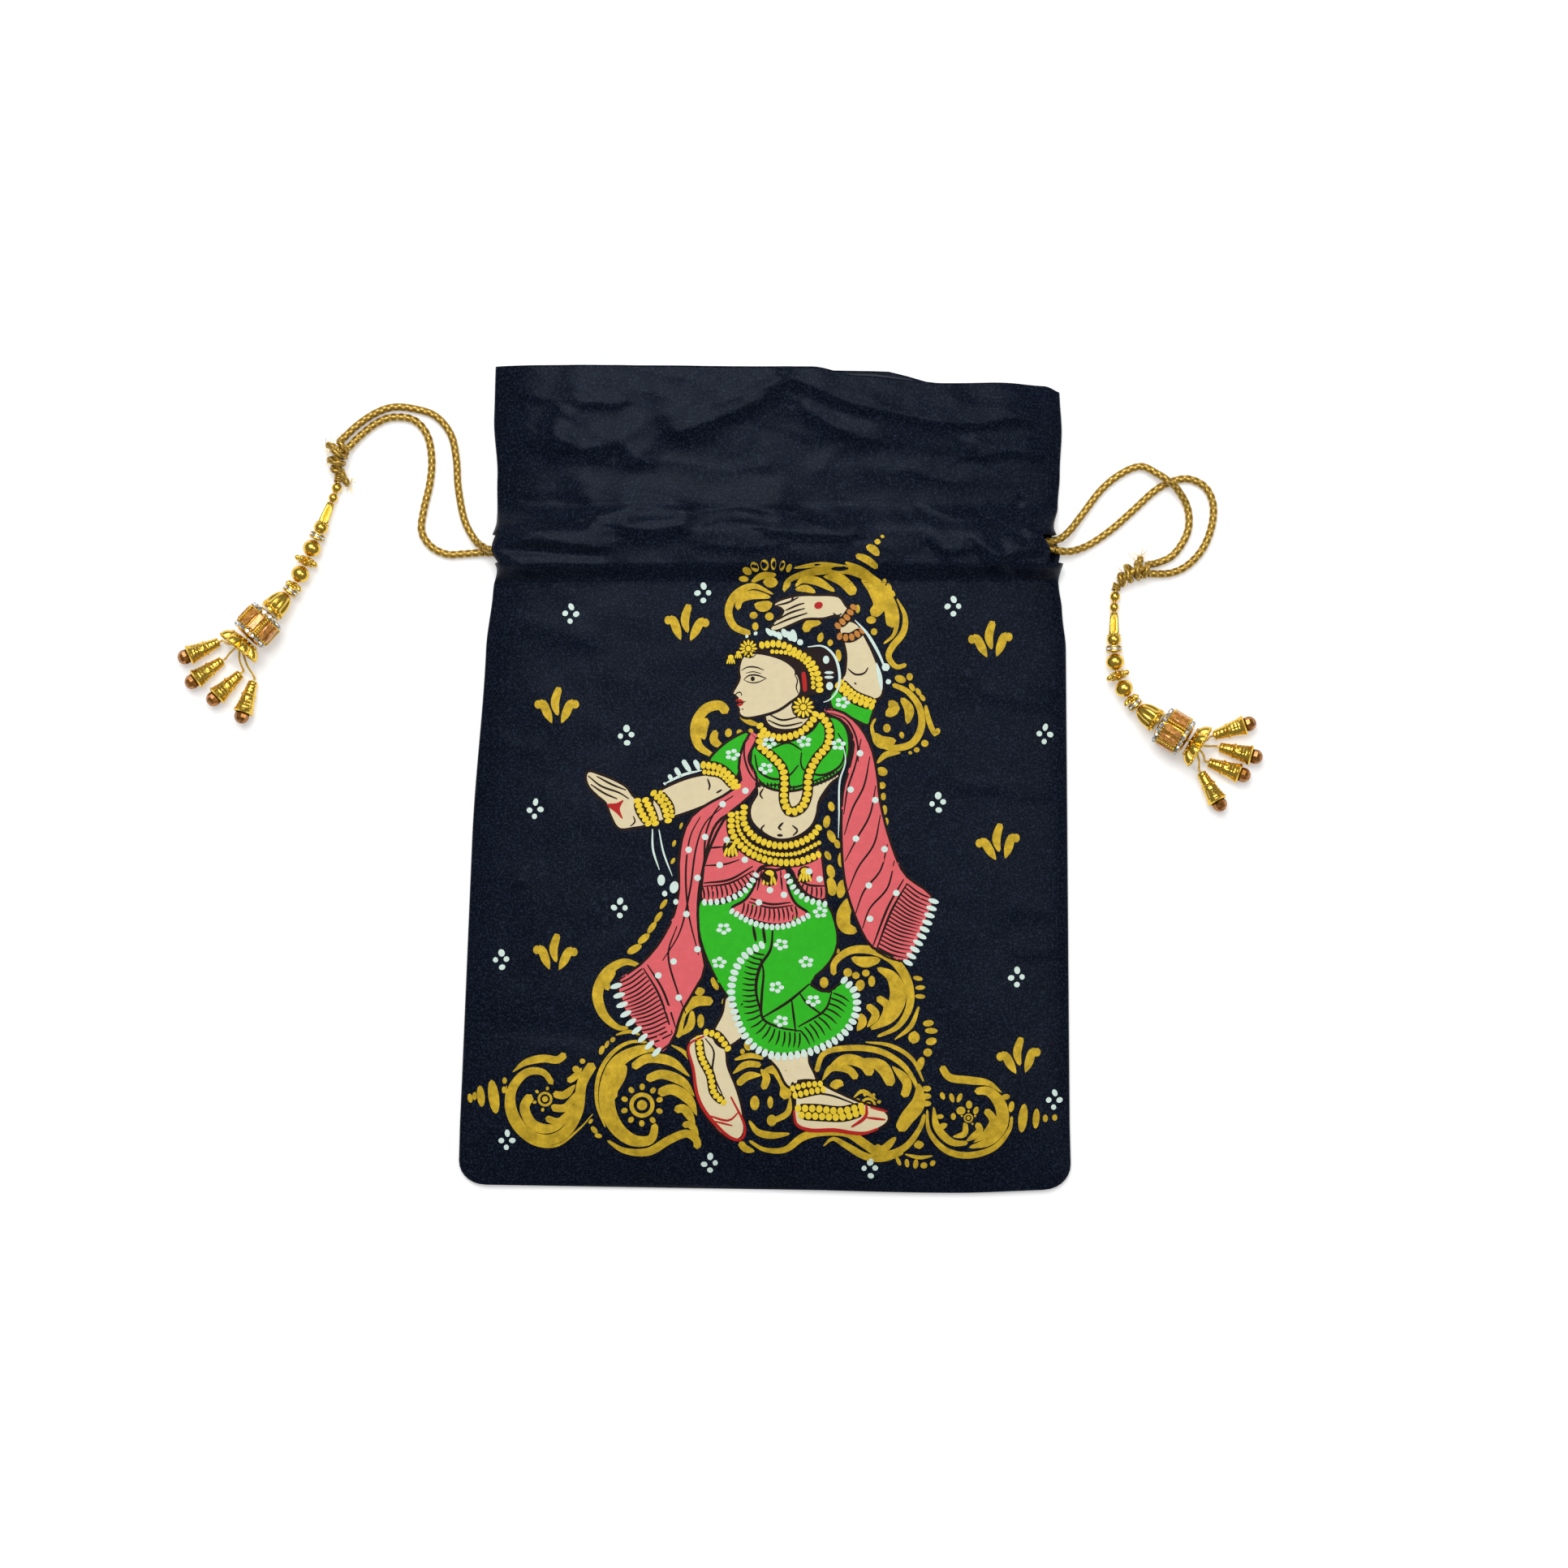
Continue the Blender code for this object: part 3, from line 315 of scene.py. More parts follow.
def made(name, mesh, finishes, slot, smooth=50, attributes=None):
    """Turns a bmesh into a finished piece in the scene, on the bag's one body."""
    data = bpy.data.meshes.new(name)
    mesh.to_mesh(data)
    mesh.free()
    if smooth:
        data.shade_smooth()
        data.set_sharp_from_angle(angle=math.radians(smooth))
    for label, values in (attributes or {}).items():
        data.attributes.new(label, "FLOAT", "POINT").data.foreach_set("value", values)
    for one in finishes if isinstance(finishes, list) else [finishes]:
        data.materials.append(one)
    item = bpy.data.objects.new(name, data)
    bpy.context.scene.collection.objects.link(item)
    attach(item, BODY)
    return item


def group(name, inputs, outputs):
    """An empty shader node group with its sockets."""
    tree = bpy.data.node_groups.new(name, "ShaderNodeTree")
    for label, kind, value in inputs:
        socket = tree.interface.new_socket(label, in_out="INPUT", socket_type=kind)
        if value is not None:
            socket.default_value = value
    for label, kind in outputs:
        tree.interface.new_socket(label, in_out="OUTPUT", socket_type=kind)
    return tree, tree.nodes.new("NodeGroupInput"), tree.nodes.new("NodeGroupOutput")


def node(tree, kind, **values):
    item = tree.nodes.new(kind)
    for key, value in values.items():
        if key.startswith("in_"):
            item.inputs[key[3:].replace("_", " ")].default_value = value
        else:
            setattr(item, key, value)
    return item


def maths(tree, operation, a, b=None):
    item = tree.nodes.new("ShaderNodeMath")
    item.operation = operation
    for socket, value in zip(item.inputs, (a, b)):
        if isinstance(value, bpy.types.NodeSocket):
            tree.links.new(value, socket)
        elif value is not None:
            socket.default_value = value
    return item.outputs[0]


def blend_colours(tree, factor, a, b):
    item = tree.nodes.new("ShaderNodeMix")
    item.data_type = "RGBA"
    for socket, value in zip((item.inputs[0], item.inputs[6], item.inputs[7]), (factor, a, b)):
        if isinstance(value, bpy.types.NodeSocket):
            tree.links.new(value, socket)
        else:
            socket.default_value = value if isinstance(value, float) else (*value[:3], 1.0)
    return item.outputs[2]


def grain_group():
    """Cloudy light and dark over a surface, from its object coordinates."""
    if "cloudy_grain" in bpy.data.node_groups:
        return bpy.data.node_groups["cloudy_grain"]
    tree, source, sink = group("cloudy_grain", (("Vector", "NodeSocketVector", None),
                                                ("Scale", "NodeSocketFloat", 100.0),
                                                ("Low", "NodeSocketFloat", 0.0),
                                                ("High", "NodeSocketFloat", 1.0)),
                               (("Value", "NodeSocketFloat"),))
    cloud = node(tree, "ShaderNodeTexNoise", in_Detail=4.0, in_Roughness=0.6)
    spread = node(tree, "ShaderNodeMapRange", in_From_Min=0.3, in_From_Max=0.7)
    tree.links.new(source.outputs["Vector"], cloud.inputs["Vector"])
    tree.links.new(source.outputs["Scale"], cloud.inputs["Scale"])
    tree.links.new(cloud.outputs["Fac"], spread.inputs["Value"])
    tree.links.new(source.outputs["Low"], spread.inputs["To Min"])
    tree.links.new(source.outputs["High"], spread.inputs["To Max"])
    tree.links.new(spread.outputs[0], sink.inputs["Value"])
    return tree


def weave_group():
    """A plain weave with uneven weft threads; it puts out the cloth's height."""
    if "plain_weave" in bpy.data.node_groups:
        return bpy.data.node_groups["plain_weave"]
    tree, source, sink = group("plain_weave", (("Vector", "NodeSocketVector", None),
                                               ("Threads", "NodeSocketFloat", 2200.0),
                                               ("Slub", "NodeSocketFloat", 0.5)),
                               (("Height", "NodeSocketFloat"),))
    parts = node(tree, "ShaderNodeSeparateXYZ")
    tree.links.new(source.outputs["Vector"], parts.inputs[0])
    warp = maths(tree, "SINE", maths(tree, "MULTIPLY", parts.outputs["X"], source.outputs["Threads"]))
    weft = maths(tree, "SINE", maths(tree, "MULTIPLY", parts.outputs["Y"], source.outputs["Threads"]))
    plain = maths(tree, "MULTIPLY", warp, weft)
    stretch = node(tree, "ShaderNodeMapping", in_Scale=(35.0, 1500.0, 35.0))
    tree.links.new(source.outputs["Vector"], stretch.inputs["Vector"])
    streak = node(tree, "ShaderNodeTexNoise", in_Scale=1.0, in_Detail=3.0, in_Roughness=0.65)
    tree.links.new(stretch.outputs[0], streak.inputs["Vector"])
    slub = maths(tree, "MULTIPLY", streak.outputs["Fac"], source.outputs["Slub"])
    height = maths(tree, "ADD", maths(tree, "MULTIPLY", plain, 0.25), slub)
    tree.links.new(height, sink.inputs["Height"])
    return tree


def surface(name, base, roughness, metallic=0.0, **constants):
    """A material with its Principled shader; constants are set on the shader's own sockets."""
    item = bpy.data.materials.new(name)
    item.use_nodes = True
    shader = item.node_tree.nodes["Principled BSDF"]
    shader.inputs["Base Color"].default_value = (*base, 1.0)
    shader.inputs["Roughness"].default_value = roughness
    shader.inputs["Metallic"].default_value = metallic
    for label, value in constants.items():
        shader.inputs[label.replace("_", " ")].default_value = value
    return item, item.node_tree, shader


def coordinates(tree):
    return tree.nodes.new("ShaderNodeTexCoord").outputs["Object"]


def grain(tree, vector, scale, low=0.0, high=1.0):
    item = node(tree, "ShaderNodeGroup", node_tree=grain_group())
    tree.links.new(vector, item.inputs["Vector"])
    for label, value in (("Scale", scale), ("Low", low), ("High", high)):
        item.inputs[label].default_value = value
    return item.outputs["Value"]


def weave(tree, vector, threads):
    item = node(tree, "ShaderNodeGroup", node_tree=weave_group())
    tree.links.new(vector, item.inputs["Vector"])
    item.inputs["Threads"].default_value = threads
    return item.outputs["Height"]


def bump(tree, shader, height, distance, strength):
    item = node(tree, "ShaderNodeBump", in_Distance=distance, in_Strength=strength)
    tree.links.new(height, item.inputs["Height"])
    tree.links.new(item.outputs["Normal"], shader.inputs["Normal"])


def feed(shader, **sockets):
    """Links values that vary over a surface to the shader's inputs."""
    for label, socket in sockets.items():
        shader.id_data.links.new(socket, shader.inputs[label.replace("_", " ")])


def ramp(tree, value, factor, start):
    """A value times a factor, counted from a start."""
    return maths(tree, "ADD", maths(tree, "MULTIPLY", value, factor), start)


def scaled(shade, factor, lift=0.0):
    """A lighter or darker shade."""
    return [min(1.0, factor * channel + lift) for channel in shade]


def taffeta_surface(settings):
    """Crisp, finely ribbed taffeta: a cloudy painted sheen and a speckled painted glint in its colour, weft
    streaks and a plain weave.
    """
    item, tree, shader = surface("navy_taffeta", settings.shade, 0.32, 0.0, Sheen_Weight=0.022,
                                 Sheen_Roughness=0.35, Sheen_Tint=(*settings.sheen, 1.0),
                                 Specular_IOR_Level=0.062, Specular_Tint=(0.72, 0.82, 1.0, 1.0))
    vector = coordinates(tree)
    speckle = grain(tree, vector, 2600.0)
    spark = maths(tree, "MAXIMUM", grain(tree, vector, 1500.0, -1.5, 1.7), 0.0)
    glint = maths(tree, "MINIMUM", maths(tree, "MULTIPLY", spark, 0.62), 1.0)
    # The colour is lighter in soft clouds (painted sheen) and lighter still at a scatter of specks (painted
    # glint).
    painted_sheen_mottle = blend_colours(tree, grain(tree, vector, 42.0), settings.shade, scaled(settings.shade, 1.6))
    feed(shader, Base_Color=blend_colours(tree, glint, painted_sheen_mottle, (0.018, 0.026, 0.044)),
         Roughness=ramp(tree, speckle, 0.12, 0.22))
    height = maths(tree, "ADD", weave(tree, vector, 9000.0), maths(tree, "MULTIPLY", speckle, 0.8))
    bump(tree, shader, height, 0.00006, 0.5)
    return item


def lining_surface(settings):
    """Plain matt lining cloth."""
    shade = settings.lining_shade
    item, tree, shader = surface("lining_cloth", shade, 0.75, 0.0, Sheen_Weight=0.15)
    vector = coordinates(tree)
    feed(shader, Base_Color=blend_colours(tree, grain(tree, vector, 60.0), shade, scaled(shade, 1.6)))
    bump(tree, shader, weave(tree, vector, 6000.0), 0.00008, 0.6)
    return item


def sewing_surface():
    """Dark sewing thread."""
    item, tree, shader = surface("sewing_thread", (0.006, 0.007, 0.012), 0.6, 0.0, Specular_IOR_Level=0.1)
    cloud = grain(tree, coordinates(tree), 900.0)
    feed(shader, Base_Color=blend_colours(tree, cloud, (0.004, 0.005, 0.009), (0.016, 0.020, 0.032)))
    return item


def braid_surface(settings):
    """Metallic braid with a painted highlight on its crests and painted shade between them, from the mesh's
    crest attribute.
    """
    shade = settings.shade
    item, tree, shader = surface("gold_braid", shade, 0.34, 0.55)
    crest = node(tree, "ShaderNodeAttribute", attribute_name="crest").outputs["Fac"]
    glint = grain(tree, coordinates(tree), 1300.0)
    # A noise lightens the braid's colour in spots: painted glints.
    painted_glint_colour = blend_colours(tree, glint, shade, scaled(shade, 1.6, 0.06))
    feed(shader, Base_Color=blend_colours(tree, maths(tree, "POWER", crest, 1.5), settings.groove_shade, painted_glint_colour),
         Roughness=maths(tree, "SUBTRACT", 0.52, maths(tree, "MULTIPLY", crest, 0.22)))
    bump(tree, shader, glint, 0.00008, 0.5)
    return item


def gold_surface(settings):
    """Yellow plated metal with a faint uneven polish and a little tarnish."""
    shade = settings.gold
    item, tree, shader = surface("plated_gold", shade, 0.2, 1.0)
    vector = coordinates(tree)
    cloud = grain(tree, vector, 380.0)
    feed(shader, Roughness=ramp(tree, cloud, 0.14, 0.15),
         Base_Color=blend_colours(tree, maths(tree, "MULTIPLY", cloud, 0.45), shade, scaled(shade, 0.62)))
    bump(tree, shader, grain(tree, vector, 1400.0), 0.00003, 0.35)
    return item


def stone_surface(name, shade, roughness, metallic):
    """A cut stone: a clear coat over a body that is lighter and darker in places."""
    item, tree, shader = surface(name, shade, roughness, metallic, Coat_Weight=0.5, Coat_Roughness=0.04)
    cloud = grain(tree, coordinates(tree), 900.0)
    feed(shader, Base_Color=blend_colours(tree, cloud, scaled(shade, 0.35), scaled(shade, 1.7, 0.02)),
         Roughness=ramp(tree, cloud, 0.10, roughness))
    return item


def paint_surface(name, shade, streak, metallic):
    """Hand-laid paint: brush streaks and thin places, with a satin film."""
    item, tree, shader = surface(name, shade, 0.5, metallic, Specular_IOR_Level=0.12)
    vector = coordinates(tree)
    fine = grain(tree, vector, 1100.0)
    thin = scaled(shade, streak)
    laid = blend_colours(tree, maths(tree, "MULTIPLY", grain(tree, vector, 330.0), 0.75), shade, thin)
    feed(shader, Base_Color=blend_colours(tree, maths(tree, "MULTIPLY", fine, 0.35), laid, thin),
         Roughness=ramp(tree, fine, 0.2, 0.40))
    bump(tree, shader, fine, 0.00004, 0.5)
    return item


# Paints: the colour's name in the settings, the shade of its thin places, and its share of metal
PAINTS = {
    "gold_paint": ("gold", 0.36, 0.15), "bright_gold_paint": ("bright_gold", 0.75, 0.1),
    "copper_paint": ("copper", 0.6, 0.2), "skin_paint": ("skin", 0.88, 0.0),
    "green_paint": ("green", 0.82, 0.0), "pink_paint": ("pink", 0.84, 0.0),
    "white_paint": ("white", 0.86, 0.0), "dark_paint": ("dark", 1.6, 0.0), "red_paint": ("red", 0.8, 0.0),
}
# Stones: the colour's name in the settings, the roughness, and the share of metal
STONES = {"amber_stone": ("amber", 0.12, 0.25), "clear_stone": ("clear", 0.10, 0.7),
          "brown_crystal": ("crystal", 0.12, 0.75)}


def finish(name):
    """One of the bag's materials, made the first time that it is asked for."""
    if name in bpy.data.materials:
        return bpy.data.materials[name]
    scene = bpy.context.scene
    if name in PAINTS:
        shade, streak, metallic = PAINTS[name]
        return paint_surface(name, getattr(scene.potli_paint, shade), streak, metallic)
    if name in STONES:
        shade, roughness, metallic = STONES[name]
        return stone_surface(name, getattr(scene.potli_tassel, shade), roughness, metallic)
    makers = {
        "navy_taffeta": lambda: taffeta_surface(scene.potli_cloth),
        "lining_cloth": lambda: lining_surface(scene.potli_cloth),
        "sewing_thread": sewing_surface,
        "gold_braid": lambda: braid_surface(scene.potli_cord),
        "plated_gold": lambda: gold_surface(scene.potli_tassel),
    }
    return makers[name]()


def between(knots, at):
    """The value at a place on a row of (place, value) knots, eased from one to the next."""
    if at <= knots[0][0]:
        return knots[0][1]
    for (low, first), (high, last) in zip(knots, knots[1:]):
        if at <= high:
            part = (at - low) / (high - low)
            part = part * part * (3 - 2 * part)
            return first + (last - first) * part
    return knots[-1][1]


def casing_share(y):
    """1 between the slits' ends, where the cords run, and 0 beyond the casing's rows of stitches."""
    rise = (y - CASING_FOOT_Y) / (SLIT_FOOT_Y - CASING_FOOT_Y)
    fall = (CASING_TOP_Y - y) / (CASING_TOP_Y - SLIT_TOP_Y)
    part = max(0.0, min(1.0, rise, fall))
    return part * part * (3 - 2 * part)


def side_edges(y):
    """The bag's left and right edge at a height, with its rounded base corners."""
    part = (y - BASE_Y) / BAG_LENGTH
    half = (BASE_WIDTH + (MOUTH_WIDTH - BASE_WIDTH) * part) / 2
    shift = MOUTH_SHIFT * max(0.0, part - 0.08) / 0.92
    above = min(CORNER_RADIUS, y - BASE_Y)
    corner = CORNER_RADIUS - math.sqrt(max(0.0, CORNER_RADIUS**2 - (CORNER_RADIUS - above) ** 2))
    left = shift - half + between(LEFT_DRAWN_IN, y) + corner
    right = shift + half - between(RIGHT_DRAWN_IN, y) - corner
    return left, right


def nose_radius(y):
    return SEAM_RADIUS + (CASING_SIDE_RADIUS - SEAM_RADIUS) * casing_share(y)


def crown(y):
    """How high the front stands at the middle of the bag."""
    swell = min(1.0, (y - BASE_Y) / BASE_SWELL)
    low = 2 * SEAM_RADIUS
    height = low + (BODY_THICKNESS - low) * (1 - (1 - swell) ** 3)
    return height + (CASING_THICKNESS - BODY_THICKNESS) * casing_share(y)


def front_height(x, y):
    """The smooth front, without its folds."""
    left, right = side_edges(y)
    radius = nose_radius(y)
    middle = (left + right) / 2
    half = (right - left) / 2 - radius
    across = min(1.0, abs(x - middle) / half)
    return 2 * radius + (crown(y) - 2 * radius) * (1 - across**3) ** 0.7


def side_fade(x, y, lead_in, width):
    """0 beside the bag's sides, and 1 from a width further in."""
    left, right = side_edges(y)
    return min(1.0, max(0.0, min(x - left, right - x) - lead_in) / width)


def ridges(x, y, lines, lead_in):
    """The height of all the folds in a list at one place; it fades out near the sides."""
    total = 0.0
    for (ax, ay), (bx, by), width, height in lines:
        dx, dy = bx - ax, by - ay
        along = max(0.0, min(1.0, ((x - ax) * dx + (y - ay) * dy) / (dx * dx + dy * dy)))
        away = math.hypot(x - ax - along * dx, y - ay - along * dy) / width
        if away < 3.2:
            total += height * math.exp(-away * away)
    return total * side_fade(x, y, lead_in, FOLD_FADE)


def crest_height(x, y):
    """How far the frill's and the casing's sharp folds stand up at one place."""
    total = 0.0
    for points, reach, height in CRESTS:
        if not points[0][0] - 0.03 < x < points[-1][0] + 0.03:
            continue
        best = (9.0, 0.0, 0.0)
        for (ax, ay), (bx, by) in zip(points, points[1:]):
            dx, dy = bx - ax, by - ay
            along = ((x - ax) * dx + (y - ay) * dy) / (dx * dx + dy * dy)
            held = max(0.0, min(1.0, along))
            away = math.hypot(x - ax - held * dx, y - ay - held * dy)
            if away < best[0]:
                end = 0.0
                if (along < 0 and (ax, ay) == points[0]) or (along > 1 and (bx, by) == points[-1]):
                    end = abs(along - held) * math.hypot(dx, dy)
                side = dx * (y - ay) - dy * (x - ax)
                best = (away, side, end)
        away, side, end = best
        wide = reach * (2.6 if side > 0 else 0.62)
        total += height * math.exp(-((away / wide) ** 1.3)) * math.exp(-((end / 0.006) ** 2))
    return total * side_fade(x, y, SEAM_LEAD_IN, FOLD_FADE)


def ripples(x, y, settings):
    """Soft ripples all over the front, livelier in the frill and the casing."""
    spot = Vector((x / settings.ripple_spread, y / settings.ripple_spread, 3.7))
    soft = noise.fractal(spot, 0.9, 2.1, 3)
    crumpled = max(0.0, min(1.0, (y - CASING_FOOT_Y) / 0.012))
    fold = 1 - abs(noise.noise(Vector((x / 0.021 + 0.35 * y / 0.012, y / 0.013, 8.3))))
    base = min(1.0, (y - BASE_Y) / 0.012)
    return (settings.ripple * soft * (1 + 0.4 * crumpled) + 0.0004 * (fold**4 - 0.4) * crumpled) * \
        side_fade(x, y, SEAM_LEAD_IN, 0.010) * base


def hem(y, x, drop):
    """Moves a height so that the mouth's hem and the base seam dip as they do across the bag."""
    above = max(0.0, (y - CASING_TOP_Y) / FRILL_HEIGHT)
    below = max(0.0, 1 - (y - BASE_Y) / BASE_SWELL)
    return y - between(drop, x) * above**1.5 + between(BASE_LIFT, x) * below


def columns(count):
    """Places from -1 to 1 that lie closer together towards the ends."""
    places = []
    for step in range(count + 1):
        place = 2 * step / count - 1
        places.append(0.72 * place + 0.28 * math.sin(place * math.pi / 2))
    return places


def section(y, edge_inset, back, front_inset, relief, grid):
    """One closed ring of points round the bag: across the front, round a side, and back again."""
    front_columns, back_columns, nose_steps = grid
    left, right = side_edges(y)
    left, right = left + edge_inset, right - edge_inset
    radius = nose_radius(y)
    if edge_inset:
        radius = (front_height(left + SEAM_RADIUS, y) - front_inset - back) / 2
    middle, half = (left + right) / 2, (right - left) / 2 - radius
    ring = []
    for place in columns(front_columns):
        x = middle + half * place
        z = front_height(x, y) - front_inset + relief(x, y)
        if abs(place) > 0.999:
            z = back + 2 * radius
        ring.append(Vector((x, hem(y, x, FRONT_HEM_DROP), z)))
    for step in range(1, nose_steps):
        angle = math.pi * (0.5 - step / nose_steps)
        x = middle + half + radius * math.cos(angle)
        ring.append(Vector((x, hem(y, x, BACK_HEM_DROP), back + radius + radius * math.sin(angle))))
    for step in range(back_columns + 1):
        x = middle + half * (1 - 2 * step / back_columns)
        ring.append(Vector((x, hem(y, x, BACK_HEM_DROP), back)))
    for step in range(1, nose_steps):
        angle = math.pi * (-0.5 - step / nose_steps)
        x = middle - half + radius * math.cos(angle)
        ring.append(Vector((x, hem(y, x, BACK_HEM_DROP), back + radius + radius * math.sin(angle))))
    return ring


def absorb(mesh, more):
    """Moves one bmesh into another."""
    data = bpy.data.meshes.new("absorbed")
    more.to_mesh(data)
    more.free()
    mesh.from_mesh(data)
    bpy.data.meshes.remove(data)


def loft(rings):
    """A mesh lofted through its rings, closed at its first one."""
    mesh = bmesh.new()
    loops = []
    for ring in rings:
        points = [mesh.verts.new(point) for point in ring]
        loops.append([mesh.edges.new((a, b)) for a, b in zip(points, points[1:] + points[:1])])
    for lower, upper in zip(loops, loops[1:]):
        bmesh.ops.bridge_loops(mesh, edges=lower + upper)
    bmesh.ops.holes_fill(mesh, edges=loops[0], sides=0)
    bmesh.ops.recalc_face_normals(mesh, faces=mesh.faces)
    return mesh


def rows(start, end, bands):
    """The heights of the rings: close in the corners, the casing and the frill."""
    corners = bands[0]
    heights = [start + CORNER_RADIUS * (step / corners) ** 1.8 for step in range(corners)]
    levels = (start + CORNER_RADIUS, BASE_Y + BASE_SWELL, CASING_FOOT_Y, SLIT_FOOT_Y, SLIT_TOP_Y,
              CASING_TOP_Y, end)
    for low, high, count in zip(levels, levels[1:], bands[1:]):
        heights += [low + (high - low) * step / count for step in range(count)]
    return heights + [end]


def cut_slits(mesh):
    """Opens the side seams where the cords come out: wider on the right, where the front lies back."""
    gone = []
    low, high = 0.3 * CASING_SIDE_RADIUS, 1.78 * CASING_SIDE_RADIUS
    for face in mesh.faces:
        centre = face.calc_center_median()
        if SLIT_FOOT_Y < centre.y < SLIT_TOP_Y:
            left, right = side_edges(centre.y)
            on_left = centre.x < left + CASING_SIDE_RADIUS and centre.z < high
            on_right = centre.x > right - CASING_SIDE_RADIUS and centre.z > low
            if (on_left or on_right) and abs(centre.z) > 0.0001:
                gone.append(face)
    bmesh.ops.delete(mesh, geom=gone, context="FACES")


def thicken(item, wall):
    shell = item.modifiers.new("Wall", "SOLIDIFY")
    shell.thickness = wall
    shell.offset = -1


def shell_relief(settings):
    return lambda x, y: (ridges(x, y, FOLDS, 0.006) + ridges(x, y, CREASES, 0.001)
                         + crest_height(x, y) + ripples(x, y, settings))


CLOTH = {}


def cloth_point(x, y, above=0.0):
    """The place on the front's surface over a point of the bag, raised a little off it."""
    hit = CLOTH["tree"].ray_cast(Vector((x, y, 0.06)), Vector((0, 0, -1)))
    if hit[0] is None:
        raise RuntimeError(f"no cloth under {x:.4f}, {y:.4f}")
    return Vector((x, y, hit[0].z + above))


class POTLI_OT_outer_shell(bpy.types.Operator):
    """Loft the taffeta pouch with its folds, crumples and side slits"""
    bl_idname = "potli.outer_shell"
    bl_label = "Taffeta Pouch"

    def execute(self, context):
        relief = shell_relief(context.scene.potli_cloth)
        heights = rows(BASE_Y, MOUTH_Y, SHELL_BANDS)
        mesh = loft([section(y, 0.0, 0.0, 0.0, relief, SHELL_GRID) for y in heights])
        CLOTH["tree"] = BVHTree.FromBMesh(mesh)
        cut_slits(mesh)
        item = made("taffeta_pouch", mesh, finish("navy_taffeta"), "taffeta", 60)
        thicken(item, SHELL_WALL)
        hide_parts("outer_shell")
        return {"FINISHED"}


class POTLI_OT_lining(bpy.types.Operator):
    """Loft the lining, which also closes the casing's tunnels on the inside"""
    bl_idname = "potli.lining"
    bl_label = "Lining"

    def execute(self, context):
        rings = []
        clearance = SHELL_WALL + LINING_GAP
        for y in rows(BASE_Y + LINING_BASE_INSET, MOUTH_Y - LINING_RIM_DROP, LINING_BANDS):
            part = casing_share(y)
            depth = clearance + (TUNNEL_DEPTH - clearance) * part
            inset = LINING_SIDE_INSET + (LINING_CASING_INSET - LINING_SIDE_INSET) * part
            rings.append(section(y, inset, depth, depth, lambda x, y: 0.0, LINING_GRID))
        item = made("lining_pouch", loft(rings), finish("lining_cloth"), "lining", 60)
        thicken(item, LINING_WALL)
        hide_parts("lining")
        return {"FINISHED"}


def smooth_route(points, pieces=ROUTE_PIECES, closed=False):
    """A fine line along the smooth curve through the points."""
    knots = [Vector(point) for point in points]
    if closed:
        padded = [knots[-1]] + knots + knots[:2]
    else:
        padded = [2 * knots[0] - knots[1]] + knots + [2 * knots[-1] - knots[-2]]
    line = []
    for a, b, c, d in zip(padded, padded[1:], padded[2:], padded[3:]):
        for step in range(pieces):
            t = step / pieces
            line.append(0.5 * (2 * b + (c - a) * t + (2 * a - 5 * b + 4 * c - d) * t**2
                               + (3 * b - a - 3 * c + d) * t**3))
    return line if closed else line + [knots[-1]]


def line_length(line):
    return sum((b - a).length for a, b in zip(line, line[1:]))


def even_points(line, step):
    """The same line with its points an even step apart."""
    total = line_length(line)
    count = max(2, round(total / step))
    points, travelled, index = [line[0]], 0.0, 0
    for number in range(1, count):
        target = total * number / count
        while travelled + (line[index + 1] - line[index]).length < target:
            travelled += (line[index + 1] - line[index]).length
            index += 1
        reach = (line[index + 1] - line[index]).length
        points.append(line[index].lerp(line[index + 1], (target - travelled) / reach))
    return points + [line[-1]]


def at_length(line, length):
    """The point that lies a length along a fine line; past its end the line runs on straight."""
    for a, b in zip(line, line[1:]):
        step = (b - a).length
        if length <= step:
            return a.lerp(b, length / step)
        length -= step
    return line[-1] + (line[-1] - line[-2]).normalized() * length


def sweep(points, radius, sides, relief=None):
    """A closed tube along the points. relief gives a share of the radius and a crest value from the
    place along the tube and the angle round it. The crest values come back with the mesh.
    """
    mesh = bmesh.new()
    crests, loops = [], []
    way = (points[1] - points[0]).normalized()
    side = way.orthogonal().normalized()
    travelled = 0.0
    for index, point in enumerate(points):
        ahead = points[min(index + 1, len(points) - 1)] - points[max(index - 1, 0)]
        turn = way.rotation_difference(ahead.normalized())
        way = ahead.normalized()
        side = (turn @ side).normalized()
        up = way.cross(side)
        travelled += (point - points[max(index - 1, 0)]).length
        here = radius(travelled) if callable(radius) else radius
        ring = []
        for step in range(sides):
            angle = 2 * math.pi * step / sides
            swell, crest = relief(travelled, angle) if relief else (1.0, 1.0)
            out = side * math.cos(angle) + up * math.sin(angle)
            ring.append(mesh.verts.new(point + out * here * swell))
            crests.append(crest)
        loops.append(ring)
    edges = [[mesh.edges.new((a, b)) for a, b in zip(ring, ring[1:] + ring[:1])] for ring in loops]
    for lower, upper in zip(edges, edges[1:]):
        bmesh.ops.bridge_loops(mesh, edges=lower + upper)
    for end in (edges[0], edges[-1]):
        bmesh.ops.holes_fill(mesh, edges=end, sides=0)
    bmesh.ops.recalc_face_normals(mesh, faces=mesh.faces)
    return mesh, crests


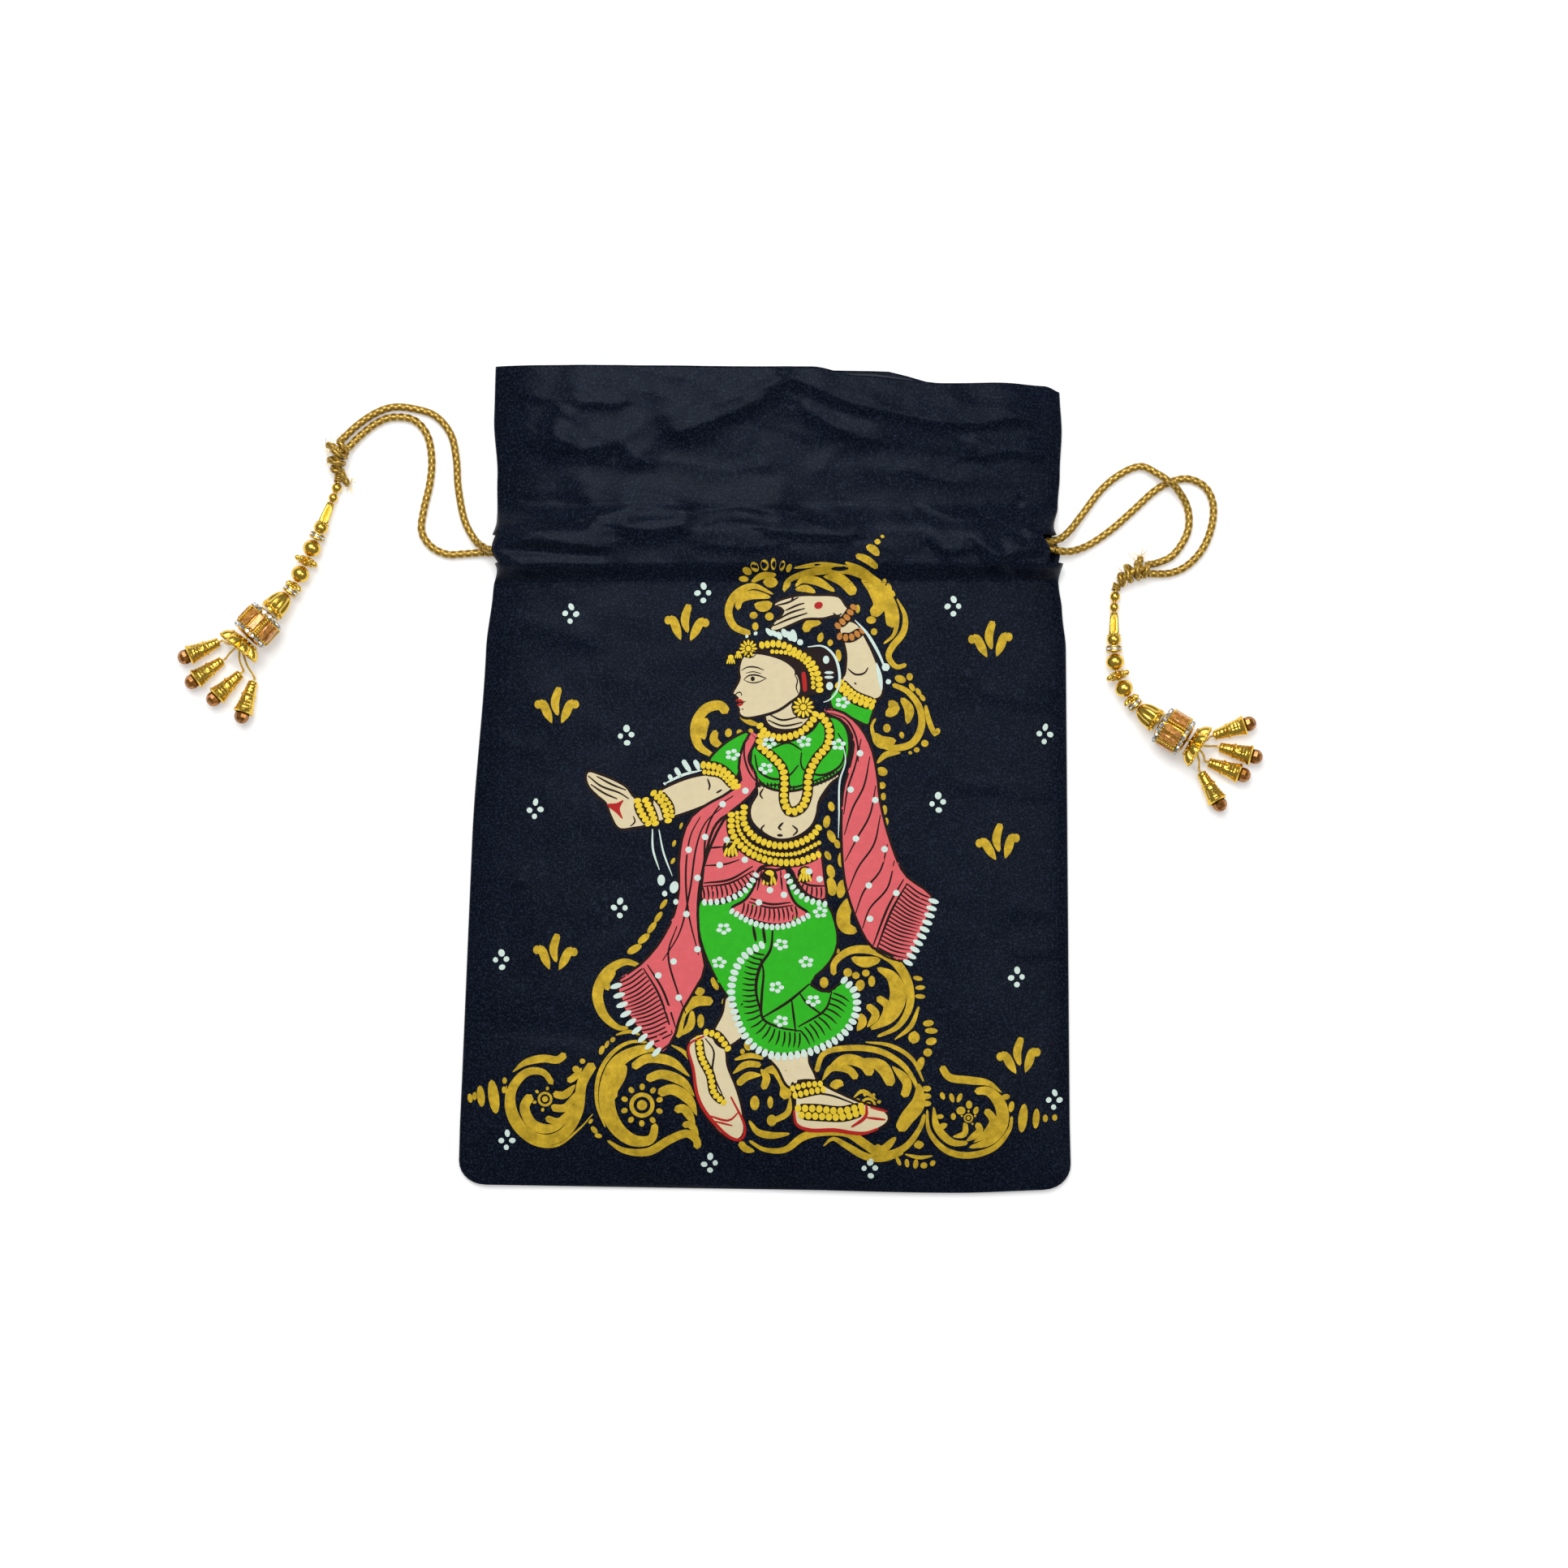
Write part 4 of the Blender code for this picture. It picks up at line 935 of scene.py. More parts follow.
def braid(settings):
    """The relief of a round braid, whose strands cross both ways round it."""
    def relief(travelled, angle):
        turn = 2 * math.pi * travelled / settings.pitch
        one = abs(math.sin(settings.strands / 2 * angle + turn * settings.strands / 4))
        other = abs(math.sin(settings.strands / 2 * angle - turn * settings.strands / 4))
        # The crest value also sets the braid's painted highlight on its crests and painted shade between them,
        # in its material.
        crest = (one * other) ** 0.6
        return 1 - settings.relief * (1 - crest), crest
    return relief


def cord_piece(name, line, diameter, step=0.00026, sides=16):
    settings = bpy.context.scene.potli_cord
    points = even_points(line, step)
    mesh, crests = sweep(points, diameter / 2, sides, braid(settings))
    return made(name, mesh, finish("gold_braid"), "cord", 80, {"crest": crests}), points


def strand_stretches(route, slit_points):
    """A route's fine line, cut at the slit into its outer, inner and second outer stretch."""
    line = smooth_route(route)
    first, second = (ROUTE_PIECES * index for index in slit_points)
    return line[:first + 1], line[first + 1:second], line[second:]


class POTLI_OT_drawcords(bpy.types.Operator):
    """Make each drawcord: two strands outside the slit, and the stretch inside the casing"""
    bl_idname = "potli.drawcords"
    bl_label = "Drawcords"

    def execute(self, context):
        for side, route, slits in (("left", LEFT_CORD_ROUTE, LEFT_SLIT_POINTS),
                                   ("right", RIGHT_CORD_ROUTE, RIGHT_SLIT_POINTS)):
            outer, inner, last = strand_stretches(route, slits)
            for label, line, backwards in (("upper", outer, True), ("lower", last, False)):
                if backwards:
                    line = line[::-1]
                item, points = cord_piece(f"{side}_cord_{label}", line, CORD_DIAMETER)
                tuple(points[0])
                line_length(points)
                [tuple(p) for p in points[::4] + points[-1:]]
            item, _ = cord_piece(f"{side}_cord_in_casing", inner, CORD_DIAMETER, 0.0008, 10)
            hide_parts(f"drawcord_{side}")
        return {"FINISHED"}


def hairs(mesh, roots, reach, seed, thickness=0.00009):
    """Loose hairs of fibre that stand out of a cord: thin bent tubes joined into one mesh."""
    draw = random.Random(seed)
    for root in roots:
        way = Vector((draw.uniform(-1, 1), draw.uniform(-1, 1), draw.uniform(-0.1, 0.35))).normalized()
        bend = Vector((draw.uniform(-1, 1), draw.uniform(-1, 1), 0)) * reach * 0.5
        length = reach * draw.uniform(0.5, 1.0)
        points = [root + way * length * t + bend * t * t for t in (0.0, 0.3, 0.6, 1.0)]
        points = [Vector((p.x, p.y, max(p.z, 0.0002))) for p in points]
        absorb(mesh, sweep(points, thickness, 4)[0])


def round_line(ahead, angle):
    """The direction that points away from a line at an angle round it."""
    across = ahead.cross(Vector((0, 0, 1))).normalized()
    return across * math.cos(angle) + across.cross(ahead) * math.sin(angle)


def wound(line, lump):
    """The cord's way round the middle line of a knot, lifted clear of the table."""
    total = line_length(line)
    radii = smooth_route([(radius, 0.0, 0.0) for _, radius in lump], 12)
    points = []
    for number in range(KNOT_STEPS):
        part = number / (KNOT_STEPS - 1)
        here = at_length(line, total * part)
        ahead = (at_length(line, total * part + 0.0004) - here).normalized()
        radius = radii[min(len(radii) - 1, round(part * (len(radii) - 1)))].x
        angle = 2 * math.pi * KNOT_TURNS * part + 0.6
        wobble = 1 + 0.10 * math.sin(5.3 * angle * 0.5)
        reach = max(0.0004, (radius - WOUND_DIAMETER / 2) * wobble)
        points.append(here + round_line(ahead, angle) * reach)
    points = even_points(points, 0.00030)
    lift = max(0.0, WOUND_DIAMETER / 2 + 0.0002 - min(point.z for point in points))
    return [point + Vector((0, 0, lift)) for point in points]


def whipping(string):
    """Three turns of fine thread where the tassel's string leaves the knot."""
    line = even_points(smooth_route(string[:3], 12), 0.0001)[:WHIPPING_POINTS]
    last = WHIPPING_POINTS - 1
    coil = []
    for number, here in enumerate(line):
        ahead = (line[min(number + 1, last)] - line[max(number - 1, 0)]).normalized()
        coil.append(here + round_line(ahead, 2 * math.pi * 3 * number / last) * WHIPPING_REACH)
    return even_points(coil, 0.0003)


class POTLI_OT_knots(bpy.types.Operator):
    """Wind the cord round itself for each knot, with its cut ends and their fine hairs"""
    bl_idname = "potli.knots"
    bl_label = "Knots"

    def execute(self, context):
        relief = braid(context.scene.potli_cord)
        for side, lump, tails, string, seed in (("left", LEFT_KNOT, LEFT_TAILS, LEFT_STRING, 11),
                                                ("right", RIGHT_KNOT, RIGHT_TAILS, RIGHT_STRING, 12)):
            middle = even_points(smooth_route([place for place, _ in lump], 12), 0.0002)
            points = wound(middle, lump)
            mesh, crests = sweep(points, WOUND_DIAMETER / 2, 14, relief)
            core, core_crests = sweep(middle, TAIL_RADIUS, 10)
            absorb(mesh, core)
            # The core's crest values are dimmed to 0.7: painted shade on the braid's colour inside the knot.
            crests += [0.7 * value for value in core_crests]
            tails = [even_points(smooth_route(tail, 12), 0.0003) for tail in tails]
            for line, radius in [(tail, TAIL_RADIUS) for tail in tails] + [(whipping(string), WHIPPING_RADIUS)]:
                more, more_crests = sweep(line, radius, 12, relief)
                absorb(mesh, more)
                crests += more_crests
            roots = [points[number] for number in range(0, len(points), max(1, len(points) // 16))]
            roots += [tail[-1] for tail in tails for _ in range(16)] + [points[2]] * 6
            before = len(mesh.verts)
            hairs(mesh, roots, 0.0032, seed)
            # The hairs' crest of 0.8 keeps their painted highlight a little below the full.
            crests += [0.8] * (len(mesh.verts) - before)
            item = made(f"{side}_knot_wound", mesh, finish("gold_braid"), "cord", 80, {"crest": crests})
            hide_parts(f"{side}_knot")
        return {"FINISHED"}


class POTLI_OT_stitches(bpy.types.Operator):
    """Sew the casing's rows and the frill's right seam with small machine stitches"""
    bl_idname = "potli.stitches"
    bl_label = "Stitches"

    def execute(self, context):
        settings = context.scene.potli_cloth
        mesh = bmesh.new()
        lines = []
        for level in (CASING_TOP_Y, CASING_FOOT_Y):
            left, right = side_edges(level)
            lines.append([(left + 0.004 + (right - left - 0.008) * step / 60, level) for step in range(61)])
        heights = [CASING_TOP_Y + 0.002 + (FRILL_HEIGHT - 0.012) * step / 14 for step in range(15)]
        lines.append([(side_edges(y)[1] - 0.0044, y) for y in heights])
        for line in lines:
            flat = [Vector((x, hem(y, x, FRONT_HEM_DROP), 0)) for x, y in line]
            pace = settings.stitch + settings.stitch_gap
            for number in range(int(line_length(flat) / pace)):
                ends = [at_length(flat, number * pace + offset) for offset in (0.0, settings.stitch)]
                a, b = (cloth_point(end.x, end.y, settings.stitch_thread * 0.35) for end in ends)
                way = b - a
                place = aimed((a + b) / 2, way) @ Matrix.Diagonal((1, 0.8, 1, 1))
                swell = Matrix.Diagonal((settings.stitch_thread / 2,) * 2 + (way.length / 2, 1))
                bmesh.ops.create_uvsphere(mesh, u_segments=6, v_segments=5, radius=1.0, matrix=place @ swell)
        made("casing_stitches", mesh, finish("sewing_thread"), "thread", 80)
        return {"FINISHED"}


def spun(profile, sides):
    """A turned piece about Z whose wall runs down from the top; profile holds (radius, place)."""
    mesh = bmesh.new()
    points = [mesh.verts.new((radius, 0.0, -place)) for radius, place in profile]
    for a, b in zip(points, points[1:] + points[:1]):
        mesh.edges.new((a, b))
    bmesh.ops.spin(mesh, geom=mesh.verts[:] + mesh.edges[:], cent=(0, 0, 0), axis=(0, 0, 1),
                   angle=2 * math.pi, steps=sides, use_merge=True)
    bmesh.ops.recalc_face_normals(mesh, faces=mesh.faces)
    return mesh


def softened(profile, pieces=4):
    """The profile's own smooth curve through its points, with its two bore points kept."""
    inner = smooth_route([(radius, place, 0.0) for radius, place in profile[1:-1]], pieces)
    return [profile[0]] + [(point.x, point.y) for point in inner] + [profile[-1]]


def flute(mesh, count, depth, start, end, inner=0.0):
    """Presses flutes into a turned wall between two places along it."""
    for vert in mesh.verts:
        place = -vert.co.z
        out = math.hypot(vert.co.x, vert.co.y)
        if start < place < end and out > inner:
            fade = min(1.0, (place - start) / (0.12 * (end - start)), (end - place) / (0.12 * (end - start)))
            wave = 1 - abs(math.sin(count / 2 * math.atan2(vert.co.y, vert.co.x)))
            squeeze = 1 - depth * wave * fade
            vert.co.x *= squeeze
            vert.co.y *= squeeze


def petal(mesh, count, depth, inner):
    """Draws a rim in between its petals."""
    widest = max(math.hypot(vert.co.x, vert.co.y) for vert in mesh.verts)
    for vert in mesh.verts:
        out = math.hypot(vert.co.x, vert.co.y)
        wave = abs(math.sin(count / 2 * math.atan2(vert.co.y, vert.co.x))) ** 0.7
        sink = 1 - depth * (1 - wave) * max(0.0, (out - inner * widest) / ((1 - inner) * widest))
        vert.co.x *= sink
        vert.co.y *= sink


def set_stones(mesh, before, index):
    """Gives the faces that are new since before a stone's finish and its flat facets."""
    for face in mesh.faces:
        if face not in before:
            face.material_index = index
            face.smooth = False


def aimed(place, way):
    """The move that turns Z along a way and sets it at a place."""
    return Matrix.Translation(place) @ way.to_track_quat("Z", "Y").to_matrix().to_4x4()


def granules(mesh, count, ring, place, radius, shift=0.0, fineness=2):
    for number in range(count):
        angle = 2 * math.pi * (number + shift) / count
        at = Matrix.Translation((ring * math.cos(angle), ring * math.sin(angle), -place))
        bmesh.ops.create_icosphere(mesh, subdivisions=fineness, radius=radius, matrix=at)


def stones(mesh, count, ring, place, radius, index, shift=0.0):
    """A row of small cut stones whose tables face out, all round a piece."""
    for number in range(count):
        before = set(mesh.faces)
        turn = Matrix.Rotation(2 * math.pi * (number + shift) / count, 4, "Z")
        out = turn @ Matrix.Translation((ring, 0, -place)) @ Matrix.Rotation(math.pi / 2, 4, "Y")
        bmesh.ops.create_cone(mesh, cap_ends=True, segments=8, radius1=radius, radius2=0.55 * radius,
                              depth=0.7 * radius, matrix=out)
        set_stones(mesh, before, index)


def ball_profile(length, diameter, bore, steps=14):
    """A bead's wall from its top hole to its lower one, and back up its bore."""
    radius = diameter / 2
    reach = math.asin(min(1.0, bore / radius))
    profile = []
    for step in range(steps + 1):
        angle = reach + (math.pi - 2 * reach) * step / steps
        height = math.cos(angle) / math.cos(reach)
        profile.append((radius * math.sin(angle), length / 2 * (1 - height)))
    return profile


def plain_bead(length, diameter, settings):
    return spun(ball_profile(length, diameter, THREAD_BORE), 28)


def fluted_cone(length, diameter, settings):
    """A slender fluted cone that opens onto a small ball-shaped foot."""
    ball, foot, top = 0.30 * length, diameter / 2, 0.0013
    neck = 0.72 * foot
    profile = [(THREAD_BORE, 0.0), (top, 0.0), (1.1 * top, 0.02 * length)]
    profile += [(top + (neck - top) * part**0.85, (length - ball) * part)
                for part in (0.06, 0.2, 0.34, 0.48, 0.62, 0.76, 0.9, 1.0)]
    profile += [(0.8 * foot, length - 0.92 * ball), (foot, length - 0.72 * ball), (foot, length - 0.4 * ball),
                (0.86 * foot, length - 0.15 * ball), (0.7 * foot, length), (THREAD_BORE, length)]
    mesh = spun(profile, 5 * settings.flutes)
    flute(mesh, settings.flutes, 0.20, 0.05 * length, length - ball, 1.05 * THREAD_BORE)
    granules(mesh, 10, 0.80 * foot, length - 0.95 * ball, 0.00034)
    return mesh


def stone_rondelle(length, diameter, settings):
    """Two thin gold discs with a row of small stones between their rims."""
    foot = diameter / 2
    edge = 0.2 * length
    profile = [(THREAD_BORE, 0.0), (foot - edge, 0.0), (foot, 0.4 * edge), (foot, 0.9 * edge),
               (0.80 * foot, 1.2 * edge), (0.80 * foot, length - 1.2 * edge), (foot, length - 0.9 * edge),
               (foot, length - 0.4 * edge), (foot - edge, length), (THREAD_BORE, length)]
    mesh = spun(profile, 32)
    stones(mesh, 12, 0.86 * foot, length / 2, 0.32 * length, 1)
    return mesh


def star_spacer(length, diameter, settings):
    """An open star: a ring with points, and a grain of gold at the tip and root of each."""
    foot = diameter / 2
    profile = [(THREAD_BORE, 0.0), (0.30 * foot, 0.0), (0.46 * foot, 0.1 * length),
               (0.98 * foot, 0.36 * length), (foot, 0.5 * length), (0.98 * foot, 0.64 * length), (0.46 * foot, 0.9 * length),
               (0.30 * foot, length), (THREAD_BORE, length)]
    mesh = spun(profile, 64)
    petal(mesh, settings.petals, 0.42, 0.25)
    granules(mesh, settings.petals, 0.86 * foot, 0.5 * length, 0.30 * length, 0.5)
    granules(mesh, settings.petals, 0.52 * foot, 0.2 * length, 0.19 * length, 0.0)
    granules(mesh, settings.petals, 0.52 * foot, 0.8 * length, 0.19 * length, 0.0)
    return mesh


def star_cap(length, diameter, settings):
    """A shallow petalled cap over a bead."""
    foot = diameter / 2
    profile = softened([(THREAD_BORE, 0.0), (0.3 * foot, 0.0), (0.66 * foot, 0.18 * length),
                        (0.92 * foot, 0.6 * length), (foot, length), (0.86 * foot, length),
                        (0.6 * foot, 0.62 * length), (THREAD_BORE, 0.6 * length)], 3)
    mesh = spun(profile, 64)
    petal(mesh, settings.petals, 0.28, 0.35)
    granules(mesh, settings.petals, 0.70 * foot, 0.30 * length, 0.17 * length, 0.5)
    return mesh


DOME_WALL = ((0.44, 0.03), (0.60, 0.10), (0.73, 0.20), (0.83, 0.32), (0.90, 0.45), (0.94, 0.58), (0.96, 0.72),
             (1.0, 0.78), (1.0, 0.83), (0.86, 0.87), (0.94, 0.92), (0.92, 1.0))


def dome_cap(length, diameter, settings):
    """A bullet-shaped fluted dome with a turned collar and a beaded rim."""
    foot = diameter / 2
    profile = [(THREAD_BORE, 0.0), (0.30 * foot, 0.0)]
    profile += [(foot * wide, length * place) for wide, place in DOME_WALL]
    profile.append((THREAD_BORE, length))
    mesh = spun(profile, 5 * settings.flutes)
    flute(mesh, 8, 0.15, 0.04 * length, 0.80 * length, 1.1 * THREAD_BORE)
    granules(mesh, 18, 0.90 * foot, 0.88 * length, 0.00045)
    return mesh


def crystal_barrel(length, diameter, settings):
    """A gold barrel: clear stones round each end, and pairs of tall stones between rows of gold beads."""
    foot, band = diameter / 2, 0.18 * length
    body = 0.82 * foot
    profile = [(THREAD_BORE, 0.0), (0.56 * foot, 0.0), (0.78 * foot, 0.25 * band), (0.84 * foot, 0.5 * band),
               (0.84 * foot, band), (body, 1.1 * band), (1.04 * body, 0.5 * length),
               (body, length - 1.1 * band), (0.84 * foot, length - band), (0.84 * foot, length - 0.5 * band),
               (0.78 * foot, length - 0.25 * band), (0.56 * foot, length), (THREAD_BORE, length)]
    mesh = spun(profile, 40)
    pairs, inside = 5, length - 2.4 * band
    tall = Matrix.Diagonal((0.26 * foot, 0.46 * body, inside, 1))
    for number in range(2 * pairs):
        before = set(mesh.faces)
        angle = 2 * math.pi * (number // 2) / pairs + (0.26 if number % 2 else -0.26)
        place = Matrix.Rotation(angle, 4, "Z") @ Matrix.Translation((body + 0.04 * foot, 0, -length / 2))
        new = bmesh.ops.create_cube(mesh, size=1.0, matrix=place @ tall)
        edges = list({edge for vert in new["verts"] for edge in vert.link_edges})
        bmesh.ops.bevel(mesh, geom=edges, offset=0.00042, offset_type="OFFSET", segments=1, profile=0.5,
                        affect="EDGES", material=-1)
        set_stones(mesh, before, 2)
    for level in range(8):
        place = 1.25 * band + (length - 2.5 * band) * level / 7
        granules(mesh, pairs, 0.95 * foot, place, 0.00056, 0.5, 2)
    for place in (0.62 * band, length - 0.62 * band):
        stones(mesh, 17, 0.90 * foot, place, 0.00098, 1)
    for place in (1.12 * band, length - 1.12 * band):
        granules(mesh, 36, 0.90 * foot, place, 0.00040, 0.0, 1)
    return mesh


def flower_cap(length, diameter, settings):
    """A wide petalled cup, open to the drops, with a granule between each two petals."""
    foot = diameter / 2
    profile = softened([(THREAD_BORE, 0.0), (0.4 * foot, 0.0), (0.72 * foot, 0.16 * length),
                        (0.92 * foot, 0.45 * length), (foot, 0.82 * length), (0.96 * foot, length),
                        (0.82 * foot, 0.97 * length), (0.74 * foot, 0.55 * length),
                        (THREAD_BORE, 0.4 * length)], 3)
    mesh = spun(profile, 80)
    petal(mesh, settings.petals, 0.26, 0.4)
    for number in range(8 * settings.petals):
        angle = 2 * math.pi * number / (8 * settings.petals)
        reach = 0.98 * foot * (1 - 0.26 * (1 - abs(math.sin(settings.petals / 2 * angle)) ** 0.7))
        at = Matrix.Translation((reach * math.cos(angle), reach * math.sin(angle), -0.86 * length))
        bmesh.ops.create_icosphere(mesh, subdivisions=1, radius=0.00044, matrix=at)
    granules(mesh, 16, 0.62 * foot, 0.10 * length, 0.00042)
    return mesh


def bell(settings):
    """An engraved cone with a raised ring below its middle and a rolled mouth."""
    top, mouth = BELL_TOP_DIAMETER / 2, BELL_MOUTH_DIAMETER / 2
    profile = [(DROP_BORE, 0.0), (0.9 * top, 0.0), (top, 0.0002)]
    steps = 30
    for step in range(1, steps):
        place = BELL_LENGTH * step / steps
        part = place / BELL_LENGTH
        radius = top + (mouth - top) * (0.6 * part + 0.4 * part**2)
        radius += 0.00016 * max(0.0, math.sin(2 * math.pi * 9 * part))
        radius += 0.00042 * math.exp(-(((place - BELL_RING_AT) / 0.00042) ** 2))
        profile.append((radius, place))
    profile += [(mouth, BELL_LENGTH - 0.0009), (mouth + 0.0002, BELL_LENGTH - 0.0005),
                (mouth - BELL_WALL, BELL_LENGTH), (0.62 * mouth, 0.62 * BELL_LENGTH),
                (DROP_BORE, 0.3 * BELL_LENGTH)]
    mesh = spun(profile, 40)
    flute(mesh, 16, 0.07, BELL_RING_AT + 0.0008, BELL_LENGTH - 0.0012, 0.5 * mouth)
    granules(mesh, 12, 0.60 * mouth + 0.0004, BELL_RING_AT, 0.00030, 0.5, 1)
    return mesh


STRUNG = (
    ("small_bead", 0.0034, 0.0036, plain_bead, "gold"),
    ("small_bead_lower", 0.0030, 0.0033, plain_bead, "gold"),
    ("fluted_cone", 0.0110, 0.0050, fluted_cone, "gold"),
    ("rondelle", 0.0022, 0.0058, stone_rondelle, "stones"),
    ("round_bead", 0.0056, 0.0064, plain_bead, "gold"),
    ("star_spacer", 0.0030, 0.0081, star_spacer, "gold"),
    ("round_bead_lower", 0.0056, 0.0064, plain_bead, "gold"),
    ("star_cap", 0.0018, 0.0066, star_cap, "gold"),
    ("rondelle_lower", 0.0022, 0.0058, stone_rondelle, "stones"),
    ("dome_cap", 0.0084, 0.0086, dome_cap, "gold"),
    ("crystal_barrel", 0.0110, 0.0140, crystal_barrel, "crystal"),
    ("flower_cap", 0.0045, 0.0160, flower_cap, "gold"),
)
# How far along the flower cap the string ends and the drops hang
CUP_FLOOR_AT = 0.62


def set_on(mesh, start, end):
    """Moves a piece made about Z onto the line from start to end."""
    bmesh.ops.transform(mesh, matrix=aimed(start, start - end), verts=mesh.verts)
    return mesh


def hung_drop(side, number, place, hang, settings):
    """A bell, its thread and the crystal bead in its mouth."""
    top, aim = Vector(place[0]), Vector(place[1])
    way = (aim - top).normalized()
    mouth = top + way * BELL_LENGTH
    mesh = set_on(bell(settings), top, mouth)
    cone = made(f"{side}_drop_{number}", mesh, finish("plated_gold"), "gold", 35)
    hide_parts(f"{side}_bell_{number}")
    bead_at = mouth + way * BELL_BEAD_BEYOND
    bead = bmesh.new()
    bmesh.ops.create_uvsphere(bead, u_segments=10, v_segments=7, radius=BELL_BEAD_DIAMETER / 2)
    bmesh.ops.transform(bead, matrix=aimed(bead_at, way), verts=bead.verts)
    crystal = made(f"{side}_drop_bead_{number}", bead, finish("brown_crystal"), "crystal", 0)
    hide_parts(f"{side}_bell_bead_{number}")
    inside = bead_at - way * (BELL_BEAD_DIAMETER / 2 + FIT_GAP)
    route = [hang, hang.lerp(top, 0.45) + Vector((0, 0, 0.0006)), top - way * 0.0014, top, inside]
    mesh, crests = sweep(even_points(smooth_route(route, 8), 0.0004), DROP_THREAD_DIAMETER / 2, 8)
    thread = made(f"{side}_drop_cord_{number}", mesh, finish("gold_braid"), "thread", 80, {"crest": crests})
    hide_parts(f"{side}_drop_thread_{number}")
    return [cone, crystal, thread]


class POTLI_OT_tassels(bpy.types.Operator):
    """Thread each tassel's beads, caps and stones, and hang its four bells"""
    bl_idname = "potli.tassels"
    bl_label = "Tassels"

    def execute(self, context):
        settings = context.scene.potli_tassel
        surfaces = [finish(name) for name in ("plated_gold", "clear_stone", "amber_stone")]
        for side, string, bells in (("left", LEFT_STRING, LEFT_BELLS), ("right", RIGHT_STRING, RIGHT_BELLS)):
            line = smooth_route(string)
            travelled = FIRST_PIECE_AT
            route, pieces = [line[0]], []
            for name, length, diameter, maker, slot in STRUNG:
                start, end = at_length(line, travelled), at_length(line, travelled + length)
                end = start + (end - start).normalized() * length
                mesh = set_on(maker(length, diameter, settings), start, end)
                piece = made(f"{side}_{name}_dressed", mesh, surfaces, slot, 40)
                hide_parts(f"{side}_{name}")
                pieces.append(piece)
                route += [start, end]
                travelled += length + FIT_GAP + STRING_SLACK * diameter
            way = (route[-1] - route[-2]).normalized()
            floor = route[-2] + way * (STRUNG[-1][1] * CUP_FLOOR_AT)
            route[-1] = floor
            across = Vector((way.y, -way.x, 0)).normalized()
            order = sorted(bells, key=lambda place: (Vector(place[0]) - floor).dot(across))
            for number, place in enumerate(bells, 1):
                aside = (order.index(place) - (len(bells) - 1) / 2) * DROP_SPACING
                hang = floor + way * DROP_SPACING + across * aside
                pieces += hung_drop(side, number, place, hang, settings)
            points = even_points(route, 0.0005)
            mesh, crests = sweep(points, THREAD_DIAMETER / 2, 8)
            thread = made(f"{side}_tassel_cord", mesh, finish("gold_braid"), "thread", 80, {"crest": crests})
            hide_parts(f"{side}_tassel_thread")
            tuple(points[0])
            line_length(points)
            [tuple(p) for p in points]
            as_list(pieces)
        return {"FINISHED"}


